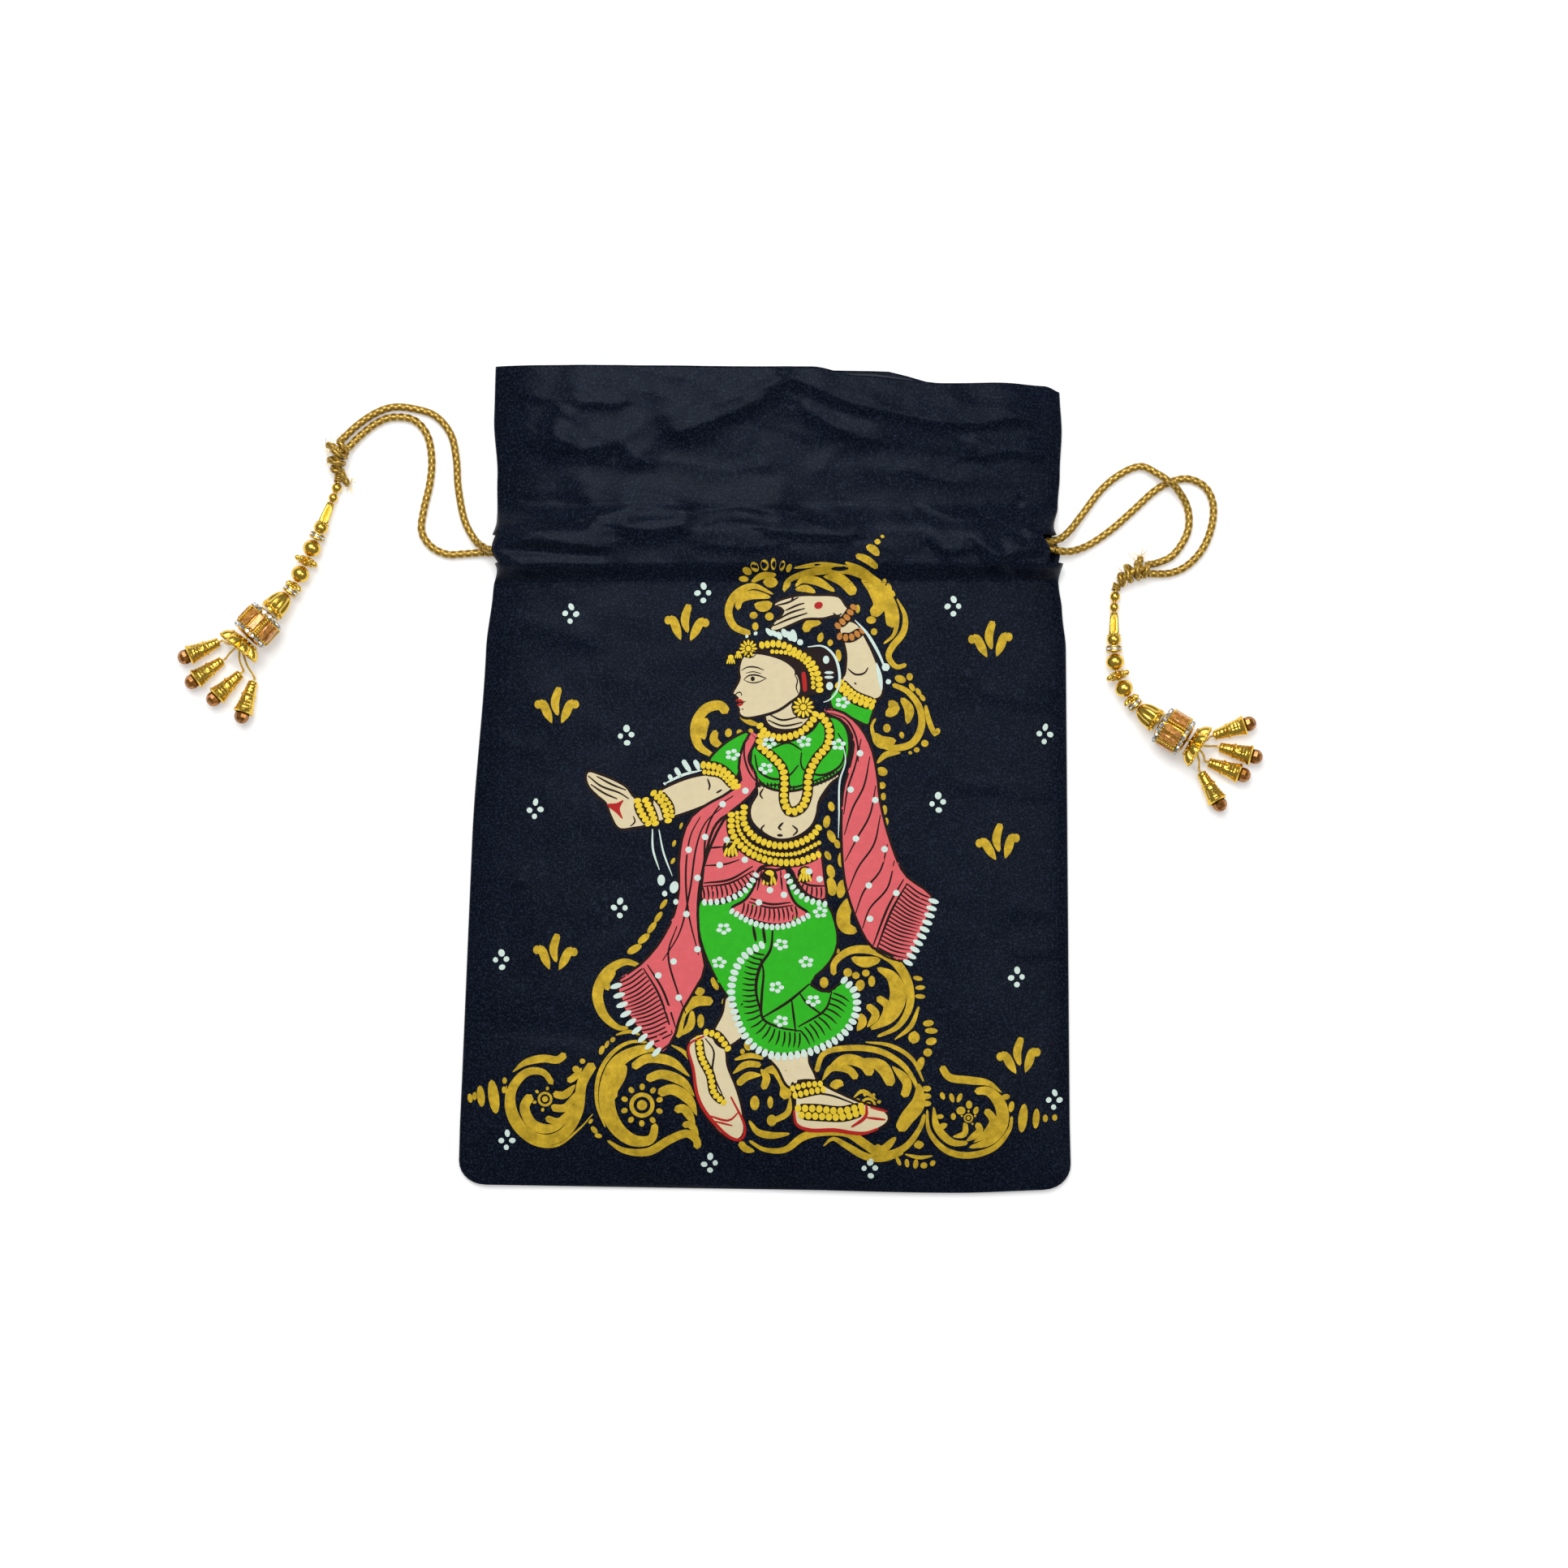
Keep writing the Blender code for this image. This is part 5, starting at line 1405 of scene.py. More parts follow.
# Painting: places are in millimetres on the bag, from its middle. A stroke is its widest width, the shares
# of it at its start and its end, and the points that the brush passes.
GOLD_STROKES = (
    # Left volute
    (3.6, 0.5, 0.9, ((-72.6, -104.5), (-76, -100.3), (-82, -100.6), (-86.8, -106.5), (-86.6, -114),
        (-82, -121), (-75, -123.6), (-68.5, -121), (-64, -113.5), (-62.6, -104), (-58.6, -97))),
    (1.0, 0.3, 0.3, ((-88.6, -105), (-88.8, -113), (-85.6, -120), (-79, -125), (-71, -125.4),
        (-63.5, -119.6), (-58.8, -114.4))),
    (2.6, 0.1, 0.9, ((-86.6, -100.4), (-82, -97), (-76, -95.6), (-71, -96), (-68.2, -93.8))),
    (3.4, 0.9, 0.1, ((-80, -108), (-82.4, -112.6), (-79.4, -118.4), (-73, -119.6), (-66.6, -116))),
    (2.6, 0.9, 0.1, ((-72.6, -107.6), (-68.6, -108), (-64.8, -104.4))),
    (2.6, 0.9, 0.1, ((-73.2, -112.4), (-68, -112.2), (-64.4, -106.8))),
    (2.4, 0.9, 0.1, ((-75.2, -116), (-70, -117), (-65.2, -111.4))),
    (2.2, 0.9, 0.1, ((-67.6, -103.4), (-64.6, -101.4), (-62.6, -98.6))),
    # Large left volute
    (1.4, 0.4, 0.4, ((-37, -90.4), (-46, -89.8), (-53, -94.4), (-57, -102), (-57.4, -111), (-54.6, -119))),
    (5.2, 0.3, 0.4, ((-34, -91.6), (-43, -92.6), (-50.6, -97), (-53.8, -105), (-53.6, -113),
        (-50.4, -119.6), (-45, -123.6), (-39, -123.2), (-37.4, -117.6))),
    (4.0, 0.7, 0.6, ((-48.4, -97), (-49.4, -101), (-52, -106), (-51.6, -109.6))),
    (3.2, 0.8, 0.1, ((-45.4, -98.6), (-40, -95.4), (-32, -96.4), (-25.6, -101.6))),
    (3.2, 0.8, 0.1, ((-40.6, -102.6), (-35, -100.8), (-28, -103.4), (-24, -108.4))),
    (3.6, 0.8, 0.1, ((-36.6, -107.4), (-31.4, -106), (-26, -109.4), (-23.2, -115))),
    (3.0, 0.8, 0.1, ((-31, -113.2), (-27.4, -112.8), (-23.8, -118.4))),
    (2.4, 0.8, 0.1, ((-28.2, -118.4), (-25.4, -118.2), (-22.6, -122))),
    (1.4, 0.3, 0.3, ((-32, -90.8), (-27.4, -93.4), (-22.6, -99.6))),
    (2.8, 0.3, 0.9, ((-54, -123.6), (-48, -127.2), (-40, -127.6), (-33, -123.6), (-27, -121.2),
        (-23.4, -123.4), (-23.2, -126.6))),
    (1.2, 0.3, 0.4, ((-51, -87.4), (-46.4, -86.2), (-42.6, -87.4))),
    # Between the feet
    (2.6, 0.8, 0.1, ((-9.4, -104.4), (-5.8, -101.4), (-1, -101))),
    (2.2, 0.1, 0.8, ((-11, -100.6), (-6.4, -97.4), (-1.2, -97.6))),
    (1.8, 0.3, 0.5, ((-10.4, -95.8), (-5, -94.4), (-0.4, -95.4))),
    (4.4, 0.2, 0.8, ((-0.4, -99.4), (4.4, -99.6), (7.4, -104.4), (6.6, -109.4))),
    (2.0, 0.2, 0.9, ((8.8, -108.6), (7.8, -114), (2.4, -117))),
    (2.6, 0.2, 0.8, ((-1.4, -99), (0.6, -102), (-0.6, -106))),
    (2.4, 0.3, 0.3, ((-5.4, -116.6), (-2.4, -120.6), (2.6, -121.8), (8.6, -121.2))),
    (3.0, 0.3, 0.4, ((-5.4, -123.6), (0, -126.8), (7, -126.8), (12.6, -122.6), (19, -120.6), (28, -120.8),
        (34, -124.6), (40.6, -128.6), (48, -126), (53, -119.6), (54.8, -114.4))),
    (2.4, 0.9, 0.2, ((-8.6, -124), (-6.6, -126.4), (-3.4, -127.4))),
    # Large right volute
    (1.4, 0.3, 0.4, ((34.4, -89.8), (43, -91), (50.4, -95.6), (54.4, -103.4))),
    (2.0, 0.8, 0.4, ((17.6, -100), (20.4, -93.6), (29, -91.8), (39, -92.8), (47, -97.4), (51.6, -104),
        (53, -110))),
    (5.0, 0.2, 0.7, ((52.8, -104), (52.6, -110.6), (48.6, -116), (46, -120.4))),
    (2.6, 0.1, 0.9, ((19.6, -103), (23, -98.6), (28.6, -99.2), (31.6, -102.4))),
    (3.6, 0.1, 0.9, ((21, -99.4), (27.4, -95.8), (33.6, -97.2), (36.6, -101.2))),
    (4.2, 0.1, 0.7, ((34, -95.4), (40.4, -98.6), (43.6, -104.8))),
    (3.0, 0.1, 0.9, ((43.6, -98), (48.6, -103.6), (47.6, -108.8))),
    (3.0, 0.7, 0.4, ((22.4, -105.6), (25, -104), (27, -104.6))),
    (1.4, 0.2, 0.2, ((30.4, -108.8), (33.6, -106.6), (38.4, -109.6))),
    (2.4, 0.2, 0.9, ((20, -125.6), (23.4, -123), (28, -125.4), (34.6, -129.2), (41, -129.8),
        (47.6, -127.2))),
    (2.6, 0.8, 0.3, ((37.6, -125.4), (40.6, -126.6), (45, -122.4))),
    # Right volute
    (2.6, 0.9, 0.1, ((60.4, -98), (63.4, -102), (70, -103), (76.6, -104), (81.4, -107.4))),
    (2.2, 0.3, 0.4, ((55.6, -113), (56.4, -120.6), (62, -127), (70, -128.9), (78.6, -126.4), (83.8, -120.4),
        (84.8, -115.4))),
    (4.2, 0.5, 0.2, ((71.8, -106.8), (77, -107), (81, -112), (81.2, -118.4), (77, -124), (70, -126.2))),
    (2.6, 0.2, 0.5, ((57.8, -112), (59, -119), (64, -124.2), (69.6, -124.6))),
    (2.8, 0.8, 0.1, ((75.6, -113), (78.4, -117), (76, -121.4), (71.6, -124.4))),
    (2.4, 0.8, 0.1, ((72.6, -117.6), (73.6, -120.6), (69, -124))),
    (2.0, 0.7, 0.2, ((68.8, -117.6), (68.4, -121.4), (64.4, -122.4))),
    (1.6, 0.5, 0.3, ((60.4, -107), (61.4, -109.6))), (1.6, 0.5, 0.3, ((63.6, -107.4), (64.6, -110.6))),
    (1.6, 0.5, 0.3, ((67.4, -107.4), (66, -110.6))), (2.0, 0.7, 0.3, ((59.4, -119.4), (62.6, -118))),
    # Upper right volute
    (3.0, 0.6, 0.3, ((23.6, -67), (24, -62.4), (29.6, -58.4), (37.6, -58.6), (44.6, -62.4), (49, -69.4),
        (49.6, -77.4), (45.6, -84.4), (38.4, -88))),
    (5.4, 0.2, 0.1, ((38.4, -64.4), (43.6, -67.6), (45.6, -74), (43, -80.8), (36.4, -85.6))),
    (3.6, 0.3, 0.4, ((29.6, -61), (34, -62.4), (39.6, -61.6))),
    (2.8, 0.8, 0.1, ((38.4, -74.4), (42, -77.6), (40.2, -82.6), (36, -85))),
    (2.6, 0.8, 0.1, ((35, -77), (38, -80.4), (35, -84.8))),
    (2.8, 0.8, 0.2, ((31.8, -80.4), (33.6, -82.6), (31.6, -86))),
    (1.6, 0.2, 0.4, ((44.4, -89), (50, -84.4), (52.8, -77.6))),
    (4.6, 0.4, 0.6, ((31.6, -52), (27.6, -50.4), (27, -46), (29.6, -40.6))),
    # Upper left volute
    (3.6, 0.3, 0.3, ((-42, -64), (-48, -62.4), (-54, -66), (-57.2, -73), (-55.4, -80), (-50.6, -84.6),
        (-46.6, -85))),
    (2.4, 0.2, 0.6, ((-51, -65.8), (-54, -69), (-53.6, -72.2))),
    # Behind the front leg
    (3.8, 0.5, 0.7, ((-29.6, -88.4), (-28.6, -80), (-24, -76), (-17.6, -75.8))),
    (2.6, 0.4, 0.2, ((-24.8, -79), (-25.4, -84), (-28.6, -87.4))),
    (3.4, 0.5, 0.5, ((-22.6, -71), (-21.8, -74))), (2.2, 0.6, 0.3, ((-18, -67.6), (-16, -72))),
    # Scroll behind the chin
    (3.4, 0.9, 0.2, ((-12.8, 22.6), (-15.4, 25.4), (-20.4, 24), (-23.6, 18.6), (-22.8, 12), (-18.4, 8.6),
        (-15.2, 7.4))),
    (3.6, 0.6, 0.2, ((-19.6, 21), (-21.4, 17.4), (-20.6, 13.6))),
    (2.8, 0.6, 0.2, ((-16.6, 17), (-17.4, 13.4), (-14, 11))),
    (1.8, 0.2, 0.3, ((-8.6, 21.4), (-5, 19.6), (-1.6, 18.6))),
    # Arch over the head
    (2.6, 0.2, 0.7, ((3, 63.4), (-4, 66.2), (-10, 63.2), (-12.4, 57.6), (-10.4, 52.4), (-4.8, 49.8))),
    (3.0, 0.5, 0.3, ((-9.2, 58), (-8.4, 61.6), (-4, 63.2), (2, 62.4))),
    (3.6, 0.3, 0.4, ((-3.6, 60), (-0.6, 59.2), (2.6, 60.4))),
    (3.0, 0.4, 0.2, ((6.6, 64.2), (8, 68), (14, 70.4), (22, 71.6), (30, 71.4), (38, 67.6), (42.4, 62.6),
        (45, 56.4), (44.4, 50), (40.6, 46.4))),
    (1.6, 0.3, 0.3, ((10, 72.2), (19, 73.4), (27, 73))),
    (2.2, 0.2, 0.6, ((45.2, 62), (48, 56), (47.4, 50.4), (43.6, 45.4), (42.4, 42), (45, 38.6),
        (48.6, 39.4))),
    (2.8, 0.2, 0.3, ((10.4, 66), (13, 68.2), (18, 67.8), (24, 64.4))),
    (2.4, 0.3, 0.3, ((10.4, 65), (14, 65.4), (17.4, 64))),
    (3.6, 0.1, 0.9, ((20, 69.4), (26, 68.4), (31, 63.4))),
    (4.6, 0.1, 0.7, ((33, 68.4), (37.4, 65), (39.4, 60), (36.6, 56))),
    (4.6, 0.2, 0.8, ((39, 65.4), (43, 59), (43.6, 52))), (2.0, 0.4, 0.4, ((8.6, 68.4), (6.8, 65))),
    (2.2, 0.4, 0.4, ((-4.6, 67.4), (-1, 69.6), (4, 70))), (3.6, 0.3, 0.4, ((-0.6, 67.6), (4.6, 67.4))),
    (3.0, 0.8, 0.2, ((13.6, 50.4), (15.4, 53.4), (19.4, 53.6))),
    (2.0, 0.6, 0.2, ((18.6, 47), (19.6, 50.4))), (1.8, 0.6, 0.2, ((22.6, 48), (22.2, 45.6))),
    (1.8, 0.6, 0.2, ((25, 44.6), (25.6, 40.4))),
    # Spire
    (1.7, 0.4, 0.4, ((27.4, 74.2), (33, 71.8), (39.2, 67.8))),
    (2.5, 0.6, 0.6, ((31, 76.6), (35, 75), (38.6, 72.2))),
    (2.7, 0.6, 0.5, ((34.6, 79.6), (37, 78.6), (39, 76.4))), (1.8, 0.5, 0.5, ((37.4, 81.4), (39.6, 81))),
    (1.3, 0.5, 0.4, ((40, 82.4), (40.4, 83.6))),
    # Scroll beside the shoulder
    (2.4, 0.6, 0.3, ((43.6, 32.6), (49, 30), (53, 24.6), (53.6, 18), (50.4, 12.4), (44, 10.8), (38.6, 13),
        (36.6, 18), (38, 21))),
    (4.2, 0.3, 0.3, ((37, 16), (40, 12.8), (45, 13.4))),
    (3.6, 0.4, 0.5, ((42.4, 27), (44.4, 24.4), (41.4, 21.8))),
    (3.2, 0.4, 0.3, ((46.6, 28), (49.4, 24), (48.8, 19))), (1.6, 0.5, 0.3, ((46.6, 16.4), (47.2, 14))),
    (1.8, 0.5, 0.9, ((55, 25.6), (56.4, 19.6), (58.4, 15.6), (59.6, 17.6))),
    (2.0, 0.3, 0.1, ((38.4, 5.6), (41.6, 8.6), (46.6, 9.2))),
    # Foot bracket
    (3.4, 0.3, 0.6, ((52.6, -123.6), (53, -126.6))),
    (1.3, 0.3, 0.3, ((48, -128.4), (53, -129.6), (57.6, -129))),
    (3.8, 0.4, 0.7, ((51.4, -86), (50.8, -90.4))),
)
# Round and drop-shaped dabs of gold: place, half width, half height and lean
GOLD_DABS = (
    (-101.4, -109.6, 0.9, 1.6, -10), (-99.8, -108.8, 0.8, 1.4, 0), (-97.6, -108.8, 1.4, 3.7, -6),
    (-93.1, -108.9, 1.9, 5.9, -8), (-89.3, -103.3, 0.8, 1.1, 0), (-89.5, -106.5, 0.8, 1.2, 0),
    (-64.6, -99.2, 1.3, 1.2, 30), (-62.4, -96.4, 1.0, 0.9, 0), (-58.4, -120, 1.5, 0.9, 50),
    (-57, -122, 1.3, 0.8, 10), (-59.6, -117, 0.6, 1.0, 40), (-55.8, -92.6, 0.9, 1.6, 20),
    (-54, -90.6, 0.7, 1.4, 25), (-52, -89, 0.8, 1.0, 40), (-12.8, -119.4, 1.1, 2.2, 25),
    (-10.4, -117.2, 0.9, 1.4, 0), (-3.4, -110.6, 1.6, 2.5, 0), (1.9, -110.4, 1.0, 2.1, 0),
    (2.4, -116.6, 1.7, 2.0, 0), (88.6, -116.2, 1.6, 5.0, 6), (93.2, -116.4, 1.2, 3.5, 4),
    (96.4, -116.4, 0.9, 1.3, 0), (99.7, -116.2, 0.9, 1.1, 0), (84.6, -112.2, 1.0, 1.9, 10),
    (82.6, -108.8, 1.5, 1.0, -10), (55.4, -105.8, 1.6, 1.0, 0), (55.4, -108.4, 1.6, 1.0, 0),
    (55.4, -110.9, 1.6, 1.0, 0), (28.4, -66, 1.5, 1.5, 0), (31.2, -67, 1.3, 1.2, 0),
    (34.6, -66.2, 1.3, 1.2, 0), (36.6, -69, 1.2, 1.9, 0), (32.6, -70.4, 1.6, 2.0, 20),
    (20.3, -69.4, 1.5, 1.9, 0), (52.4, -68, 1.7, 0.8, 12), (53.2, -71.2, 1.7, 0.8, -4),
    (53.2, -74.2, 1.8, 0.8, 4), (56, -83.4, 1.9, 1.1, -6), (57, -86, 2.2, 1.0, 2),
    (57, -89.6, 1.9, 1.3, -12), (55.8, -93.4, 1.5, 1.4, 0), (53.2, -97.4, 1.3, 2.6, 20),
    (45.8, -130.8, 0.7, 1.8, -25), (48.8, -131.6, 0.8, 1.5, -8), (51.8, -131.9, 0.9, 1.7, 6),
    (54.6, -132.4, 1.2, 1.1, 0), (57.6, -131.6, 0.9, 1.1, 30), (64.6, -115.4, 0.9, 1.2, 0),
    (67.2, -113.4, 1.6, 1.4, 0), (70, -111.4, 1.1, 1.4, 0), (72.4, -113.4, 0.9, 1.4, 20),
    (60, -115.4, 1.3, 0.8, 0), (-21.9, -82.6, 1.2, 2.4, 0), (-13.6, -76, 1.1, 1.4, 10),
    (-5.6, -90.8, 1.5, 1.9, 0), (-7.6, -93, 0.8, 1.0, 0), (25, -58.6, 0.7, 0.8, 0),
    (-34.6, -42.6, 0.8, 2.0, 35), (-36.4, -47, 0.9, 2.2, 35), (-38.6, -50.6, 1.0, 2.4, 35),
    (-41.4, -54.4, 1.2, 2.5, 50), (-44.6, -58, 1.3, 2.8, 60), (-6, 71.2, 1.2, 1.7, -60),
    (-7.2, 68.6, 1.0, 1.7, -85), (-3.4, 72.6, 1.3, 1.8, -30), (0, 73.2, 1.4, 1.9, -8),
    (3, 73.6, 0.9, 2.1, 0), (6, 73, 0.9, 1.8, 15), (8.3, 72.2, 0.9, 1.5, 25), (-3.8, 56.2, 1.4, 1.2, 0),
    (1.6, 55.8, 1.5, 1.4, 0), (-3.2, 52.4, 1.1, 1.4, 0), (31.8, 58.4, 0.8, 1.5, 0),
    (36.4, 54.6, 1.7, 1.3, 0), (37.4, 50.6, 1.1, 1.2, 0), (41, 67.8, 0.7, 1.0, 0),
    (42.6, 65.8, 0.8, 1.5, -20), (43.8, 63.8, 0.7, 1.3, -30), (46.4, 34.4, 2.0, 1.3, 20),
    (49.6, 35.2, 1.1, 1.3, 0), (50.4, 31.6, 0.9, 1.5, -30), (52.6, 30, 0.8, 1.5, -30),
    (54, 28, 0.8, 1.3, -35), (41.8, 17.6, 1.3, 1.5, 0), (54.8, 12.4, 1.3, 1.2, 0), (52, 10.2, 1.0, 0.9, 0),
    (49.8, 9.2, 0.7, 0.6, 0), (40.2, 2.8, 1.9, 1.5, 20), (40.2, -2, 1.2, 1.2, 0), (40.6, -5.8, 0.9, 1.3, 0),
    (41, -10.4, 0.9, 1.7, 0), (41.6, -14.4, 0.8, 1.4, 0), (22.8, -9.2, 1.1, 1.7, -15),
    (21.2, -14.4, 1.2, 2.2, 10), (22.8, -19.4, 1.3, 2.3, -25), (24.8, -22, 1.0, 1.6, -20),
    (26.2, -27.4, 1.2, 2.6, 0), (21.6, -26, 1.0, 1.7, -30), (22.6, -31.4, 1.4, 2.4, -15),
    (22.8, -36.6, 1.8, 3.2, -10), (26.2, -37.4, 1.6, 3.2, 10), (-31, -21.8, 0.6, 1.2, 20),
    (-31.4, -27.8, 0.6, 1.2, 30), (-28.6, -15.8, 0.5, 1.2, 20), (-12.4, 16, 1.2, 1.5, 10),
    (-8.6, 16.2, 1.0, 1.0, 0), (-4.8, 16.4, 0.9, 1.1, 0),
)
# Hubs of the volutes: place, size, and the number of dabs round each
HUBS = (
    (-75.3, -109.5, 2.5, 6), (-42, -111.4, 4.2, 10), (69.8, -116, 1.6, 5), (35.4, -111.4, 2.6, 8),
)
FOUR_DOTS = (
    (-66.5, 56.7), (-21.1, 63.7), (-47.5, 15), (-78.8, -10.2), (-49.7, -44.1), (-90.6, -62),
    (-88.6, -123.9), (-18.9, -131.7), (36, -133.7), (99.5, -110.2), (86.4, -67.9), (59.2, -8), (96.2, 15.5),
    (64.5, 59.2),
)
SPRIGS = (
    (-26.7, 53.6, 4), (-71.3, 25.3, 0), (-71.8, -59.2, 3), (77.4, 48, -4), (80, -21.4, -8),
    (87.2, -94.8, -6),
)
GREEN_FLOWERS = (
    (-11, 8.5), (1.5, 12.6), (0.4, 3.8), (13.5, 13), (25.2, 12), (26.6, 26.4), (-14, -51), (5.6, -56.4),
    (14.2, -62.4), (-15.6, -62.6), (4, -71), (16.6, -75.6), (5.6, -82.6), (19, -45.4),
)

# Figure: closed outlines, then the lines drawn over them
SKIN = (
    ((-37, -4.6), (-31, -1.2), (-24, 1.2), (-17.4, 1.8), (-11.4, -0.6), (-12.6, -5), (-22, -9.6),
        (-33, -13.4), (-36.6, -14.2), (-38.6, -9)),
    ((-41.6, -7.4), (-44.6, -6), (-47.4, -2.4), (-52, 0.2), (-56.6, 2), (-60.2, 3), (-61.4, 1),
        (-60.4, -2.4), (-57.4, -5.6), (-54.4, -8.2), (-52.8, -12.4), (-50, -16.8), (-45, -16.6),
        (-40.4, -15)),
    ((26.8, 47.4), (27.8, 42.4), (27.4, 36.6), (26.4, 34), (30.4, 29.8), (34.4, 27.6), (38.8, 27.6),
        (40.6, 30.4), (39.6, 36.4), (37, 43.6), (34, 49.6), (31.6, 53.4), (27.6, 54.4), (25.4, 51.4)),
    ((27.6, 59.8), (25, 62.8), (18, 63.2), (11, 63), (5, 61.4), (3, 59.6), (6.4, 58), (4.6, 55),
        (1.6, 51.6), (4, 50.8), (9, 52.8), (14, 54.8), (20, 55), (24.6, 56), (28, 53.8), (29.6, 57)),
    ((0.4, 24.4), (0.6, 19.4), (5, 17), (12, 17.6), (16, 21), (14, 28), (5, 29)),
    ((-2.6, -1.4), (-2.4, -4.4), (-5, -9.4), (-4.4, -14.4), (0, -18.6), (5, -20.6), (11, -19.6),
        (15.8, -16.2), (17.8, -12), (18.8, -7), (22.6, -1.4), (25.6, 1.8), (12, 2)),
    ((-13, -74), (-14.6, -80), (-17.8, -87.2), (-14.4, -91.6), (-9.4, -89.6), (-5.6, -85), (-7.8, -77)),
    ((-25.8, -89), (-26.4, -93), (-24.6, -99.6), (-23.6, -107), (-20.6, -114.4), (-15, -121.4),
        (-9.6, -123.4), (-7, -120.4), (-7.6, -113), (-9.6, -105.6), (-12.6, -98), (-13.4, -92),
        (-17, -87.6), (-21.6, -86.8)),
    ((0.6, -93), (4.4, -99), (8.6, -105.4), (17.4, -103.4), (15.4, -97), (13.6, -92)),
    ((9.4, -104), (17, -103), (24, -106.4), (33, -110.4), (40, -112.6), (42.6, -115.6), (40.6, -118.6),
        (34, -121), (24, -120), (14, -120), (9.6, -116.6), (10.4, -110)),
)
GREEN = (
    ((-19, 6.2), (-15.6, 10.8), (-10, 14.8), (-5.4, 16), (-7, 8), (-9.4, 1), (-11.6, -1.2), (-14, 3.4)),
    ((-2.6, 13.8), (3.4, 12.8), (10, 13.6), (16, 16.8), (19.4, 21), (24.4, 21.2), (28, 17.4), (29, 11),
        (27.6, 5.4), (24, 1.4), (17, -1.8), (10, -3.8), (3, -3.4), (-2, -0.4), (-5, 6), (-4.8, 11)),
    ((22.4, 29), (26.4, 32.2), (31, 29.4), (37.2, 26.2), (36.4, 21), (35, 18.6), (29, 21.4), (23.4, 24)),
    ((-22, -41), (-17, -42.6), (-9, -40), (-2.6, -33), (3, -38), (8.6, -33), (13.6, -39.6), (21, -42),
        (24.4, -50), (24.8, -57), (21.6, -63.4), (15.6, -69.6), (22, -72.6), (26.8, -68.8), (31, -73),
        (31, -80), (26.8, -86.4), (20, -90.8), (12, -93.4), (4, -94), (-3, -91.6), (-8, -86), (-9.6, -78.6),
        (-13, -74), (-17.4, -66.6), (-21.4, -57), (-23, -48)),
)
PINK = (
    ((-5, 16), (-7.6, 11), (-9, 5), (-8, 0), (-12.6, -4.6), (-20, -8.6), (-25, -12.6), (-28, -19),
        (-29.4, -28), (-29.4, -38), (-31.4, -47), (-36.6, -56.6), (-43.4, -64), (-50.4, -69.4),
        (-47.4, -79), (-42, -87), (-35.6, -93), (-31, -88), (-28.6, -80), (-24.6, -73), (-20.4, -64.6),
        (-22.4, -54), (-22.8, -42), (-21, -30), (-16.4, -18), (-12, -11.4), (-6, -6.6), (-2, -1), (-4.8, 5),
        (-4.6, 10), (-2.4, 14.6)),
    ((20.6, 24.2), (26.4, 23.2), (32.4, 18.4), (36.6, 10.6), (38.6, 1), (39.6, -8), (43, -21), (48, -32.4),
        (57.4, -40.2), (54.4, -50), (49, -62), (42, -59.6), (36, -56.6), (31, -47), (27.4, -35),
        (26.2, -20), (26.6, -5), (28.6, 3), (30.4, 12.4), (27.4, 19.4), (22, 22.2)),
    ((-17.6, -17), (-12.6, -12), (-9, -14), (-5, -22), (0, -26.4), (6, -28), (10, -28), (16, -26),
        (19, -24), (20.4, -33), (21, -41), (15, -39.6), (11, -35), (8.6, -30), (4, -31), (-1.6, -30.6),
        (-4.6, -35), (-10, -39.2), (-16, -41.4), (-21.6, -41.2), (-21, -30)),
    ((-1.4, -30), (7, -30), (8, -37), (10.6, -42.4), (15, -46), (10, -48.6), (4, -49.6), (-3, -48.4),
        (-11.6, -44.6), (-6.6, -41), (-3.4, -36)),
)
